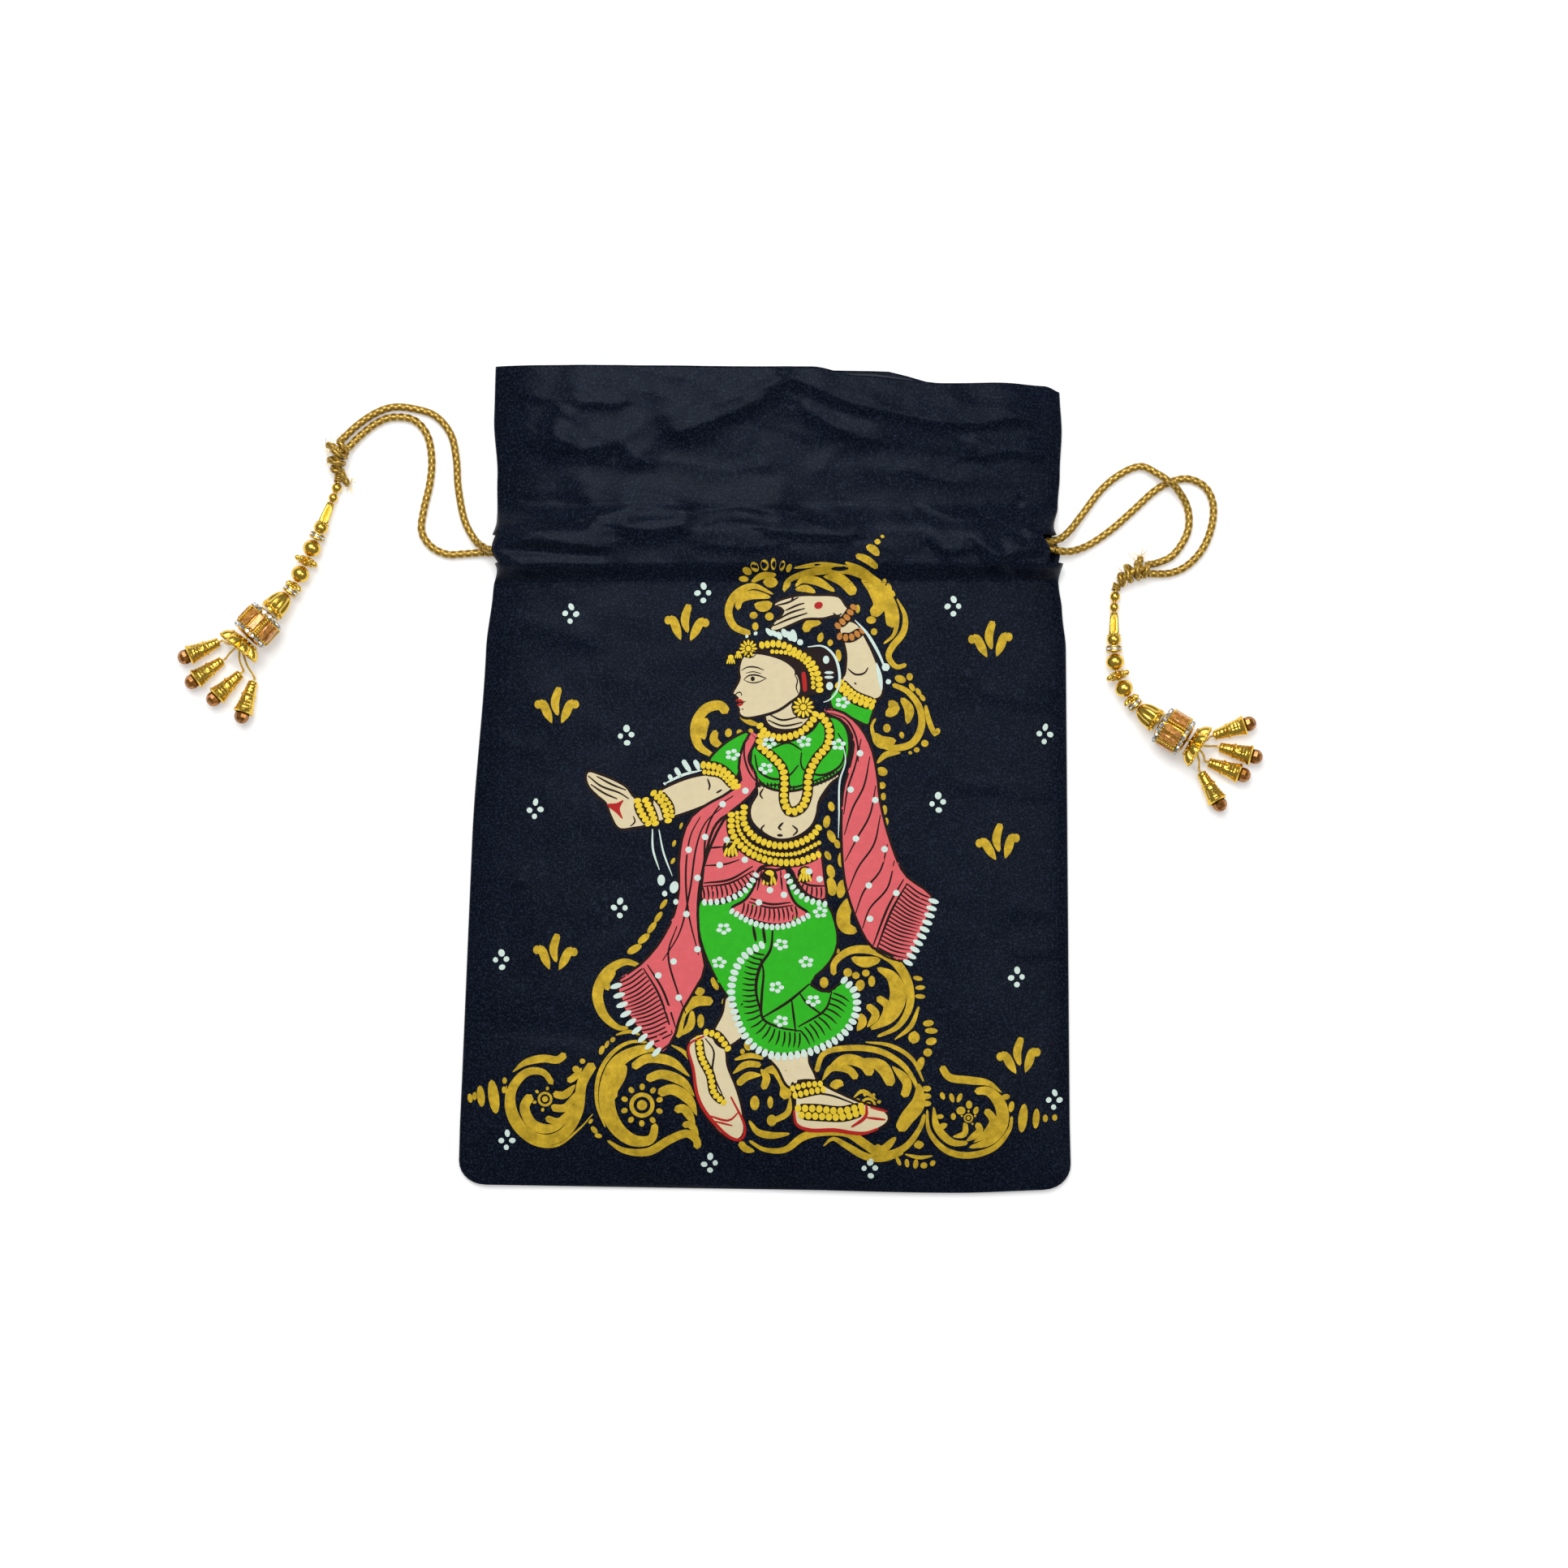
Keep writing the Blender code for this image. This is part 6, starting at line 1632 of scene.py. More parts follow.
# Lines over the painted fields: the width and the points
DARK_LINES = (
    (0.65, ((-60.6, 1.4), (-56, -2.2), (-50, -4.4), (-46.4, -6.6))),
    (0.65, ((-59.6, -1.6), (-55, -4.6), (-50.4, -6.6))),
    (0.65, ((-57.6, 1.2), (-52.4, -1.6), (-47.4, -3.6))),
    (0.52, ((-45, -12.4), (-44.4, -14.4), (-46, -16))), (0.65, ((-19.6, 0.4), (-18.8, -2), (-19.2, -3.6))),
    (0.65, ((-14.6, -3.4), (-16.6, -4.6))), (0.65, ((4, 59.6), (8, 60.6), (11.6, 62.4))),
    (0.65, ((7, 57.8), (11, 59.6), (13.6, 60.4))), (0.65, ((4.4, 54.6), (8.6, 57), (13.8, 58.6))),
    (0.65, ((3, 52.6), (8, 54.8), (14.6, 57))), (0.65, ((9.2, 61), (9.8, 62.8))),
    (0.65, ((23.4, 57), (24.8, 56), (26.4, 56.8))),
    (0.65, ((28.4, 38), (31, 36), (34, 36.4), (35.4, 38.4))), (0.52, ((30.6, 33.2), (31.4, 32.6))),
    (0.65, ((1, 22.6), (6, 20.4), (12, 21.6))), (0.65, ((1, 20.4), (6.4, 18.4), (13, 19.6))),
    (0.91, ((2.4, 17.2), (7.6, 15.8), (14, 17.8))), (0.65, ((0, -15.4), (-1.2, -17), (0.4, -19))),
    (0.65, ((9.4, -15.6), (11.2, -17.4), (9.6, -19.2))), (0.78, ((6.4, -14.6), (4.8, -16.4), (5.8, -17.2))),
    (0.91, ((4.2, -19), (6.2, -19.1))), (0.65, ((-0.4, -3), (-1.6, -5), (-0.6, -6.6))),
    (0.65, ((22.6, -4), (19.4, -7), (17.8, -10.4))),
    (0.78, ((-3.4, 8.6), (-2, 3), (3, 0.2), (8, 1.2), (11.6, 5))),
    (0.78, ((12.6, 9.4), (12.4, 5.4), (14, 3), (20, 1.6), (26, 5), (27.4, 11), (25, 16))),
    (0.65, ((2.4, 10.6), (8, 12.6), (12.8, 10))),
    (0.65, ((-2, -2.2), (5, -1.8), (10, -2.6), (17, -0.4), (24, 2.6))),
    (0.65, ((-6.6, 14), (-7, 8), (-5, 2), (-1.4, -2))), (0.65, ((-3.6, 12.6), (-5.6, 7.4), (-4, 2.6))),
    (0.65, ((-10, -5), (-16, -9.6), (-20, -18), (-20.8, -30), (-22, -42))),
    (0.65, ((-14, -9), (-20.4, -15), (-23.6, -24), (-25.6, -38), (-29, -52), (-35, -62))),
    (0.65, ((-22, -12.6), (-25.6, -20), (-27, -32), (-26, -46), (-22.6, -60))),
    (0.65, ((-30, -50), (-33, -60), (-30, -72), (-27, -80))),
    (0.65, ((22.4, 22.8), (28, 20.4), (31.4, 14), (32, 6))),
    (0.65, ((33, 14), (31, 5), (28.4, -3), (27, -12))), (0.65, ((36, 8), (34, -2), (30, -10), (27.2, -19))),
    (0.65, ((38, -2), (36, -12), (31.6, -20), (27.4, -28))),
    (0.65, ((39.6, -12), (37.4, -22), (32, -30), (28.6, -38))),
    (0.65, ((42, -22), (39.6, -31), (34, -38), (31, -46))),
    (0.65, ((44.4, -27.6), (42, -37), (36, -44), (33.4, -51))), (0.78, ((47.6, -34), (42, -44), (37, -57))),
    (0.78, ((48.8, -35.4), (43.2, -45.2), (38.2, -58.2))),
    (0.78, ((-41.6, -64.4), (-36, -74), (-31.6, -87))),
    (0.78, ((-40.2, -63.2), (-34.6, -72.6), (-30.4, -85))),
    (0.65, ((-20.4, -29.4), (-14, -29), (-8.6, -27.4))), (0.65, ((-19.6, -23.4), (-14, -23))),
    (0.78, ((-21, -35.4), (-12, -34.2), (-4, -29.6))), (0.65, ((-21.4, -36.6), (-12, -35.4), (-3.6, -31))),
    (0.78, ((10.4, -33.6), (15, -36), (20.8, -36.4))), (0.78, ((-5, -40.6), (2, -42.6), (9, -42))),
    (0.65, ((-5.6, -41.8), (2, -43.8), (9.8, -43))), (0.65, ((-1, -31), (-2.6, -38))),
    (0.65, ((5.4, -31), (6, -38))), (1.04, ((-4, -50), (-3, -55.4))), (1.04, ((-0.6, -50.4), (0.2, -56))),
    (1.04, ((2.8, -50), (2, -58), (-1.6, -64), (-3, -72), (-0.8, -81.4))),
    (0.91, ((-1.6, -61), (-0.4, -66), (-1, -74), (-0.8, -81.4), (4.6, -84.6), (12, -86))),
    (0.91, ((-0.8, -81.4), (8, -76), (15.4, -69.8))), (0.78, ((9.2, -75.2), (10.6, -86.4))),
    (0.78, ((11.6, -72.6), (14.6, -76.6), (19.6, -80.4))),
    (0.78, ((23, -72.4), (20.4, -79), (11.4, -84.6))), (0.78, ((15.6, -70.4), (20, -72.4), (24.4, -71.4))),
    (0.65, ((13.6, -107.4), (22, -107.8), (32, -111.4))),
    (0.65, ((-20.4, -88.4), (-17.4, -93), (-17.8, -100), (-14.4, -108))),
)
RED_LINES = (
    (1.1, ((-20.6, -87.6), (-26, -91), (-24.4, -99), (-23, -108), (-19.6, -114.6), (-12.6, -122),
        (-8, -123), (-7, -118), (-11.6, -108.4))),
    (0.7, ((-19.6, -114.8), (-12.6, -116.6), (-8.8, -113.6))), (0.6, ((-17.6, -116.8), (-11, -118.4))),
    (1.3, ((10, -113), (11, -118), (16, -120), (24, -120), (33, -121.2), (39, -119.4))),
    (1.1, ((29.6, -119), (34.4, -115.4), (34.8, -111))), (0.8, ((36, -112), (42, -113.6))),
    (0.8, ((34.6, -115.6), (41.4, -116.4))),
)
# Beaded gold bands: the bead's half width, the step between beads, and the line that they follow
GOLD_BANDS = (
    (1.25, 1.9, ((-21, 5), (-15.6, 4), (-11.4, 0.6), (-9.4, -2.4))),
    (0.8, 1.5, ((-20.6, 2.6), (-15, 1.6), (-10.8, -2.6))),
    (1.2, 1.9, ((-43.6, -7.2), (-42.4, -11), (-39.8, -15))),
    (1.2, 1.9, ((-40.8, -7), (-38.8, -11), (-37.4, -15))),
    (1.2, 1.9, ((-38, -4.6), (-34.6, -8.6), (-33, -14))),
    (0.7, 1.5, ((-35.6, -4.4), (-32.4, -8.6), (-31.6, -12.4))),
    (1.3, 2.0, ((25.2, 32.4), (30, 28), (36.6, 25.2))),
    (0.7, 1.5, ((26.4, 33.6), (31, 29.4), (37.4, 26.8))),
    (1.2, 2.0, ((-1.6, 18.4), (1, 15.4), (6, 14.4), (12, 16), (16, 19.6), (17.4, 22.4))),
    (1.3, 2.0, ((19.4, 21.8), (22, 18), (21.6, 12), (17.6, 7), (15, 1.4), (14.6, -5), (12.6, -9.6),
        (8.6, -11), (6.6, -7), (6.8, -1), (6, 4), (2, 8.4), (-1.6, 11.6), (-1.2, 15))),
    (1.2, 1.9, ((-7, -9.4), (-7.2, -14.6), (-3.6, -19.6), (3, -22.4), (10, -22.2), (16, -19.4),
        (18.4, -16.4))),
    (1.2, 1.9, ((-11.4, -12), (-11, -18.6), (-6, -24.4), (2, -27.8), (11, -28.2), (18.4, -25.6))),
    (0.7, 1.5, ((-9.4, -11.4), (-8.8, -17.4), (-4.4, -22.8), (3, -25.4), (11, -25.2), (18.6, -21.6))),
    (1.2, 1.9, ((-1, 46), (5, 46.4), (11, 43.6), (16, 40), (18.4, 35), (18.8, 30.6))),
    (0.7, 1.5, ((2.6, 43.8), (8.4, 43.2), (13.6, 40.4), (16.2, 36), (16.6, 31.6))),
    (1.1, 1.8, ((-22.6, -88.4), (-21.6, -95), (-18.6, -101), (-17.4, -107), (-14, -110.4))),
    (1.1, 1.9, ((-20, -86.4), (-16, -87.6), (-12.6, -92))),
    (1.0, 1.8, ((9.6, -105.6), (14, -104.4), (19, -104))),
    (1.1, 1.8, ((10.4, -108), (16, -106.6), (20, -106))),
    (1.2, 2.3, ((11.4, -112.4), (18, -112.6), (26, -113.4), (33, -111.8))),
    (1.2, 2.3, ((12.6, -114.8), (19, -115.2), (27, -115.4), (33.4, -113.6))),
)
COPPER_BANDS = (
    (1.2, 1.9, ((25.6, 49), (29.4, 48.6), (33.4, 51))), (1.2, 1.9, ((25, 52.6), (28, 55.4), (30.4, 59))),
)
# Gold rosettes: place and size; the pendants of the belt are dabs
ROSETTES = ((-5.6, 44.8, 3.1), (13.2, 24.8, 3.7))
PENDANTS = ((1.6, -33.4, 2.6), (13.8, -32.4, 2.4), (-11.6, -23.6, 2.6), (-11.6, 41.2, 1.6), (-9, 42.8, 1.3))
# White fringes: the half width of a dab, the step, how far it reaches, and its line
FRINGES = (
    (0.8625, 2.6, 1.875, ((57.8, -41.6), (54.8, -51), (49, -62.6))),
    (0.92, 3.2, 2.125, ((-50.8, -70.6), (-47.6, -80), (-42, -88), (-37, -93.2))),
    (0.805, 2.1, 1.1875, ((-20.6, -42), (-14, -41.4), (-7, -38.2), (-3, -32.6))),
    (0.805, 2.1, 1.1875, ((7.6, -33), (10.6, -38), (15, -41.2), (20.6, -42.6))),
    (0.805, 1.9, 1.125, ((-11.2, -45), (-5, -48.6), (2, -50.4), (9, -49.6), (14.8, -46.6))),
    (0.9775, 2.3, 1.5, ((-1, -56.6), (-6, -59.4), (-9.8, -64.6), (-11.4, -71), (-11, -77), (-8.4, -84.6),
        (-3.4, -91.6), (4, -94.6), (12, -94), (20, -91.4), (27, -87), (31.2, -80), (31, -73),
        (27.2, -68.6))),
)
# Pleats: dark strokes that stand on a line: their length, the step, and the line
PLEATS = (
    (11.0, 1.45, ((48.6, -35.6), (43, -45.6), (38, -58.6)), 1),
    (12.0, 1.5, ((-41.8, -64.6), (-36, -75), (-31.8, -87)), -1),
    (4.6, 1.5, ((-21.2, -36.8), (-12, -35.6), (-4, -31.4)), -1),
    (4.0, 1.5, ((10.6, -34), (15, -36.4), (20.8, -36.8)), -1),
    (4.6, 1.5, ((-7, -42), (2, -44), (10.4, -43.2)), -1),
    (5.4, 1.7, ((0, -60), (-1.8, -66), (-2.4, -73), (-1, -81), (4, -85.4), (12, -86.6)), -1),
    (6.4, 1.9, ((12, -85.6), (19, -80.6), (23.4, -73)), -1),
    (2.0, 1.3, ((-3, -0.8), (5, -1.2), (10, -2)), -1), (2.0, 1.3, ((14, -1), (19, 0.2), (24.4, 3)), -1),
)
PINK_DOTS = (
    (-6.6, -3.8), (-14.4, -8.4), (-20.4, -19.6), (-13, -20.6), (-26, -24), (-15.4, -29.2), (-6.8, -27.4),
    (-23, -33.6), (-26.8, -46), (-23, -58), (-31.2, -62.2), (-29.4, -74.6), (32.6, 9), (29.4, -3.4),
    (37.8, -7), (31.2, -20.2), (41, -23.8), (35.6, -36.2), (45, -38.8), (36, -47.6), (1.8, -37.8),
    (6.6, -39.4), (15.2, -31.4), (18.8, -34), (-2, -42), (-36.4, -67),
)
WHITE_STROKES = (
    (0.7, 0.5, 0.3, ((-38.4, -16.8), (-38.2, -24), (-36, -31))),
    (0.6, 0.5, 0.3, ((-36.2, -17), (-34.6, -25), (-31.6, -33))),
    (1.7, 0.2, 0.9, ((-22.4, 3), (-23.4, 5.6), (-24.4, 6.4))),
    (1.7, 0.2, 0.9, ((-25, 2.2), (-27, 5), (-28, 6.8))),
    (1.6, 0.2, 0.9, ((-28.6, 1), (-30, 3), (-30.4, 4.2))),
    (1.4, 0.2, 0.9, ((-31.6, -0.4), (-32.4, 1), (-32.8, 1.8))), (1.2, 0.4, 0.8, ((-34.4, -1.8), (-34, -1))),
    (0.9, 0.3, 0.3, ((-34.6, -1.6), (-28, 1.6), (-21.4, 3.2))),
    (1.0, 0.3, 0.6, ((30.8, 54.6), (35, 50), (38.6, 44), (41, 38.6))),
    (2.6, 0.5, 0.8, ((40.8, 39.8), (42, 37.2))), (1.8, 0.5, 0.6, ((42, 34.4), (42.6, 32.6))),
    (1.5, 0.2, 0.3, ((38.2, 40), (39.4, 35), (40, 30.4))), (1.6, 0.5, 0.6, ((2, 51), (4.6, 49))),
    (1.9, 0.5, 0.6, ((6, 51.6), (7.6, 48.6))), (2.1, 0.5, 0.6, ((9.4, 51.4), (10.4, 47))),
    (2.0, 0.5, 0.7, ((11.6, 48), (12.6, 46))),
    (0.9, 0.3, 0.3, ((14.6, 45.4), (20, 45.6), (24, 42), (25.6, 36), (25, 31), (22.6, 27.6), (20, 26.4))),
    (1.2, 0.4, 0.4, ((-3.6, 49.4), (-2.6, 50.6))), (1.0, 0.4, 0.4, ((-6.4, 48.4), (-5.8, 49.6))),
    (0.6, 0.3, 0.3, ((26.8, 12), (27.6, 6), (25.6, -1), (25.4, -12), (25.2, -20))),
    (1.8, 0.4, 0.6, ((4.4, 50.6), (5.6, 47.8))), (1.8, 0.4, 0.6, ((7.8, 50.8), (9.2, 47.4))),
    (1.6, 0.3, 0.6, ((0.4, 51.8), (2.6, 49.2))),
)
WHITE_DABS = (
    (-35.4, -34.4, 1.3, 1.9, 0), (-31, -36.8, 1.5, 2.1, 15), (-34.2, -39, 0.9, 1.0, 0),
    (-30.4, -41.8, 0.9, 1.0, 0), (21, 41, 1.1, 1.4, 0), (22, 35, 1.6, 0.5, 0), (22, 36.6, 1.6, 0.5, 0),
    (22.2, 32, 1.2, 1.4, 0),
)
HAIR = (
    ((-7.6, 42), (-3.6, 43.6), (1, 43), (6, 41), (9.6, 37.6), (11, 33), (11.6, 29), (17, 29), (21, 31),
        (24, 35), (24.6, 40), (21.6, 44.4), (16, 45.6), (12, 44), (7, 46), (1, 46.6), (-5, 45.6)),
)
FACE = (
    ((-7.4, 42.2), (-8.6, 39.6), (-8.9, 37), (-8.6, 34.8), (-9.6, 32.4), (-11, 30), (-10.9, 29),
        (-9.4, 28.6), (-9.3, 27.9), (-9.9, 27.1), (-9, 26.2), (-9.5, 25.3), (-8.8, 24.5), (-9, 23),
        (-8, 21.6), (-5.8, 21), (-1, 21.8), (4.6, 23.6), (9, 26.6), (12, 29), (12.4, 33), (10.4, 37.8),
        (6.4, 41), (1, 42.8), (-4, 43.4)),
)
FACE_LINES = (
    (0.5, ((-8, 37.3), (-5.8, 38.5), (-2.8, 38.4), (-0.2, 37.4))),
    (0.55, ((-7.2, 34.2), (-5.4, 35.6), (-2.6, 35.7), (0.6, 34.6))),
    (0.4, ((-7.2, 34.2), (-5, 33.2), (-2.4, 33.3), (0.6, 34.6))),
    (0.35, ((-6.6, 36.4), (-4, 36.9), (-1, 36.2))),
    (0.45, ((-10.2, 28.9), (-9, 29.9), (-7.9, 29.5), (-8.1, 28.6))),
    (0.4, ((-9.2, 26.5), (-7.6, 26.4), (-6.4, 26.9))), (0.35, ((-7.9, 24.3), (-7.2, 23.9))),
    (0.45, ((10.2, 36), (11.2, 34), (10.8, 31.4), (11.6, 29.4))),
)


PUPIL = (-4.1, 34.5, 0.75, 0.8)
# The dyed palms, the lips and the ear's red edge
RED_PALM = ((-54, -8.6), (-50.6, -8), (-48.4, -7), (-49.6, -10), (-48.6, -13.4), (-50.8, -11.4))
RED_PALM_DAB = (18.4, 59.6, 1.5, 1.2, -20)
RED_STROKES = (
    (1.0, 0.5, 0.2, ((-10, 27), (-8.8, 27.1), (-7.2, 26.7))),
    (1.0, 0.5, 0.2, ((-9.5, 25.7), (-8.6, 25.6), (-7.2, 26.3))),
    (1.5, 0.8, 0.8, ((13.2, 37), (13.6, 33.4), (13.8, 30))),
)
# The sprig's outer leaves, one side, and its stem
LEAF = ((1.6, -6.0), (3.2, -2.6), (4.6, 0.4), (6.4, 1.0))
STEM = ((0.4, -3.4), (-0.6, 1.0), (0.6, 5.4), (1.4, 6.2))

# Grid of the wide fields, and the heights of the coats over the cloth in the order in which they were painted
PAINT_GRID = 0.0032
GOLD_COAT, SKIN_COAT, GREEN_COAT, PINK_COAT = 0.00010, 0.00013, 0.00017, 0.00021
SHADE_COAT, DARK_COAT, TRIM_COAT, DETAIL_COAT = 0.00024, 0.00025, 0.00028, 0.00031
OUTLINE_LIFT = 0.00002
FILM_CLEARANCE = 0.00003


def flat_curve(points, closed=False, pieces=5):
    """A smooth line on the bag through places in millimetres, in metres."""
    return smooth_route([Vector(point) * MM for point in points], pieces, closed)


def brush(mesh, points, wide, start, end, closed=False):
    """One stroke of a loaded brush: a strip, widest on its way and round at its ends, or a closed line."""
    line = flat_curve(points, closed, 8)
    if closed:
        line.append(line[0])
    total = line_length(line)
    count = max(5, min(60, round(total / (0.9 * MM))))
    places = [(step + 1) / (count + 1) for step in range(count)]
    cap = min(0.2, 0.25 * wide * MM / total)
    places = [step / count for step in range(count)] if closed else sorted([0.0, cap, *places, 1 - cap, 1.0])
    rail, other = [], {}
    for place in places:
        at = at_length(line, total * place)
        ahead = at_length(line, total * place + 0.0002) - at_length(line, max(0.0, total * place - 0.0002))
        across = Vector((-ahead.y, ahead.x)).normalized()
        low = start if place < 0.5 else end
        width = wide * MM / 2 * (low + (1 - low) * math.sin(math.pi * place))
        if closed:
            width = wide * MM / 2
        else:
            near = min(place, 1 - place) * total / (width + 1e-6)
            width *= math.sqrt(max(0.0, 1 - max(0.0, 1 - near) ** 2)) + 0.04
        vert = mesh.verts.new((*(at + across * width), 0.0))
        other[vert] = (*(at - across * width), 0.0)
        rail.append(vert)
    pairs = zip(rail, rail[1:] + rail[:1]) if closed else zip(rail, rail[1:])
    edges = [mesh.edges.new(pair) for pair in pairs]
    where = {tuple(vert.co): place for vert, place in other.items()}
    grown = bmesh.ops.extrude_edge_only(mesh, edges=edges)["geom"]
    for vert in grown:
        if isinstance(vert, bmesh.types.BMVert):
            vert.co = where[tuple(vert.co)]


def dab(mesh, x, y, half_width, half_height, lean=0.0):
    """A round or drop-shaped touch of the brush."""
    place = Matrix.Translation((x * MM, y * MM, 0)) @ Matrix.Rotation(math.radians(-lean), 4, "Z")
    place = place @ Matrix.Diagonal((half_width * MM, half_height * MM, 1, 1))
    bmesh.ops.create_circle(mesh, cap_ends=True, segments=12, radius=1.0, matrix=place)


def field(mesh, points):
    """A painted field inside a closed outline."""
    outline = flat_curve(points, True, 6)
    verts = [mesh.verts.new((point.x, point.y, 0.0)) for point in outline]
    edges = [mesh.edges.new(pair) for pair in zip(verts, verts[1:] + verts[:1])]
    bmesh.ops.edgeloop_fill(mesh, edges=edges)


def along(points, step):
    """Places a step apart on a line, each with the line's direction there, in millimetres."""
    line = even_points(flat_curve(points), step * MM)
    for number, here in enumerate(line):
        way = (line[min(number + 1, len(line) - 1)] - line[max(number - 1, 0)]).normalized()
        yield here / MM, way


def lean_of(way):
    return -math.degrees(math.atan2(way.y, way.x))


def places_round(count, x, y, wide, high, start=0.0):
    """Places evenly round a point, each with its turn."""
    for number in range(count):
        turn = 2 * math.pi * number / count + start
        yield x + wide * math.cos(turn), y + high * math.sin(turn), turn


def leaned(x, y, a, b, lean):
    """The place that lies a, b from a point, leaned round it."""
    turn = math.radians(lean)
    return x + a * math.cos(turn) + b * math.sin(turn), y - a * math.sin(turn) + b * math.cos(turn)


def strokes(mesh, table):
    for wide, start, end, points in table:
        brush(mesh, points, wide, start, end)


def lines(mesh, table, end):
    for wide, points in table:
        brush(mesh, points, wide, end, end)


def laid_on(name, mesh, surface_name, level, gridded=False):
    """Lays flat paint on the cloth: cuts wide fields into a grid, and drops each corner onto the front."""
    if gridded:
        low = [min(vert.co[k] for vert in mesh.verts) for k in (0, 1)]
        high = [max(vert.co[k] for vert in mesh.verts) for k in (0, 1)]
        for axis in (0, 1):
            normal = Vector((1, 0, 0)) if axis == 0 else Vector((0, 1, 0))
            for step in range(1, int((high[axis] - low[axis]) / PAINT_GRID) + 1):
                bmesh.ops.bisect_plane(mesh, geom=mesh.verts[:] + mesh.edges[:] + mesh.faces[:],
                                       plane_co=normal * (low[axis] + step * PAINT_GRID), plane_no=normal,
                                       dist=0.000001)
    for vert in mesh.verts:
        vert.co = cloth_point(vert.co.x, vert.co.y, level)
    for face in mesh.faces:
        face.smooth = True
        face.normal_update()
        if face.normal.z < 0:
            face.normal_flip()
    for edge in mesh.edges:
        edge.smooth = len(edge.link_faces) > 1
    item = made(name, mesh, finish(surface_name), "taffeta", 0)
    film = item.modifiers.new("Film", "SOLIDIFY")
    film.thickness = level - FILM_CLEARANCE
    film.offset = -1
    return item


class POTLI_OT_painted_scrolls(bpy.types.Operator):
    """Paint the gold scrolls, their hubs and dabs, and the scattered sprigs"""
    bl_idname = "potli.painted_scrolls"
    bl_label = "Painted Scrolls"

    def execute(self, context):
        mesh = bmesh.new()
        strokes(mesh, GOLD_STROKES)
        for values in GOLD_DABS:
            dab(mesh, *values)
        laid_on("painted_scrolls", mesh, "gold_paint", GOLD_COAT)
        mesh = bmesh.new()
        for x, y, reach, count in HUBS:
            dab(mesh, x, y, 0.42 * reach, 0.42 * reach)
            circle = [(a, b) for a, b, _ in places_round(12, x, y, 0.86 * reach, 0.86 * reach)]
            brush(mesh, circle, 0.34 * reach, 1.0, 1.0, True)
            for a, b, turn in places_round(count, x, y, 1.5 * reach, 1.5 * reach, 0.3):
                dab(mesh, a, b, 0.22 * reach, 0.27 * reach, 90 - math.degrees(turn))
        laid_on("painted_hubs", mesh, "gold_paint", GOLD_COAT)
        mesh = bmesh.new()
        for x, y, lean in SPRIGS:
            for side in (-1, 1):
                leaf = [leaned(x, y, side * a, b, lean) for a, b in LEAF]
                brush(mesh, leaf, 2.9, 0.1, 1.0)
                dab(mesh, leaf[-1][0], leaf[-1][1] - 0.5, 1.3, 1.5)
            brush(mesh, [(x + a, y + b) for a, b in STEM], 2.8, 0.3, 0.7)
        laid_on("painted_sprigs", mesh, "gold_paint", GOLD_COAT)
        mesh = bmesh.new()
        for number, (x, y) in enumerate(FOUR_DOTS):
            spin = (number * 37) % 30 - 15
            uneven = ((0.2, 2.5), (-1.9, 0.3 - 0.2 * (number % 4)), (1.9, 0.2 * (number % 3)),
                      (0.3 * (number % 3) - 0.2, -2.4))
            for a, b in uneven:
                wide = 0.9 + 0.12 * ((number + round(a)) % 3)
                dab(mesh, x + a, y + b, wide, 1.3 if a == 0.2 else 0.95, 2 * spin)
        laid_on("painted_dots", mesh, "white_paint", GOLD_COAT)
        return {"FINISHED"}


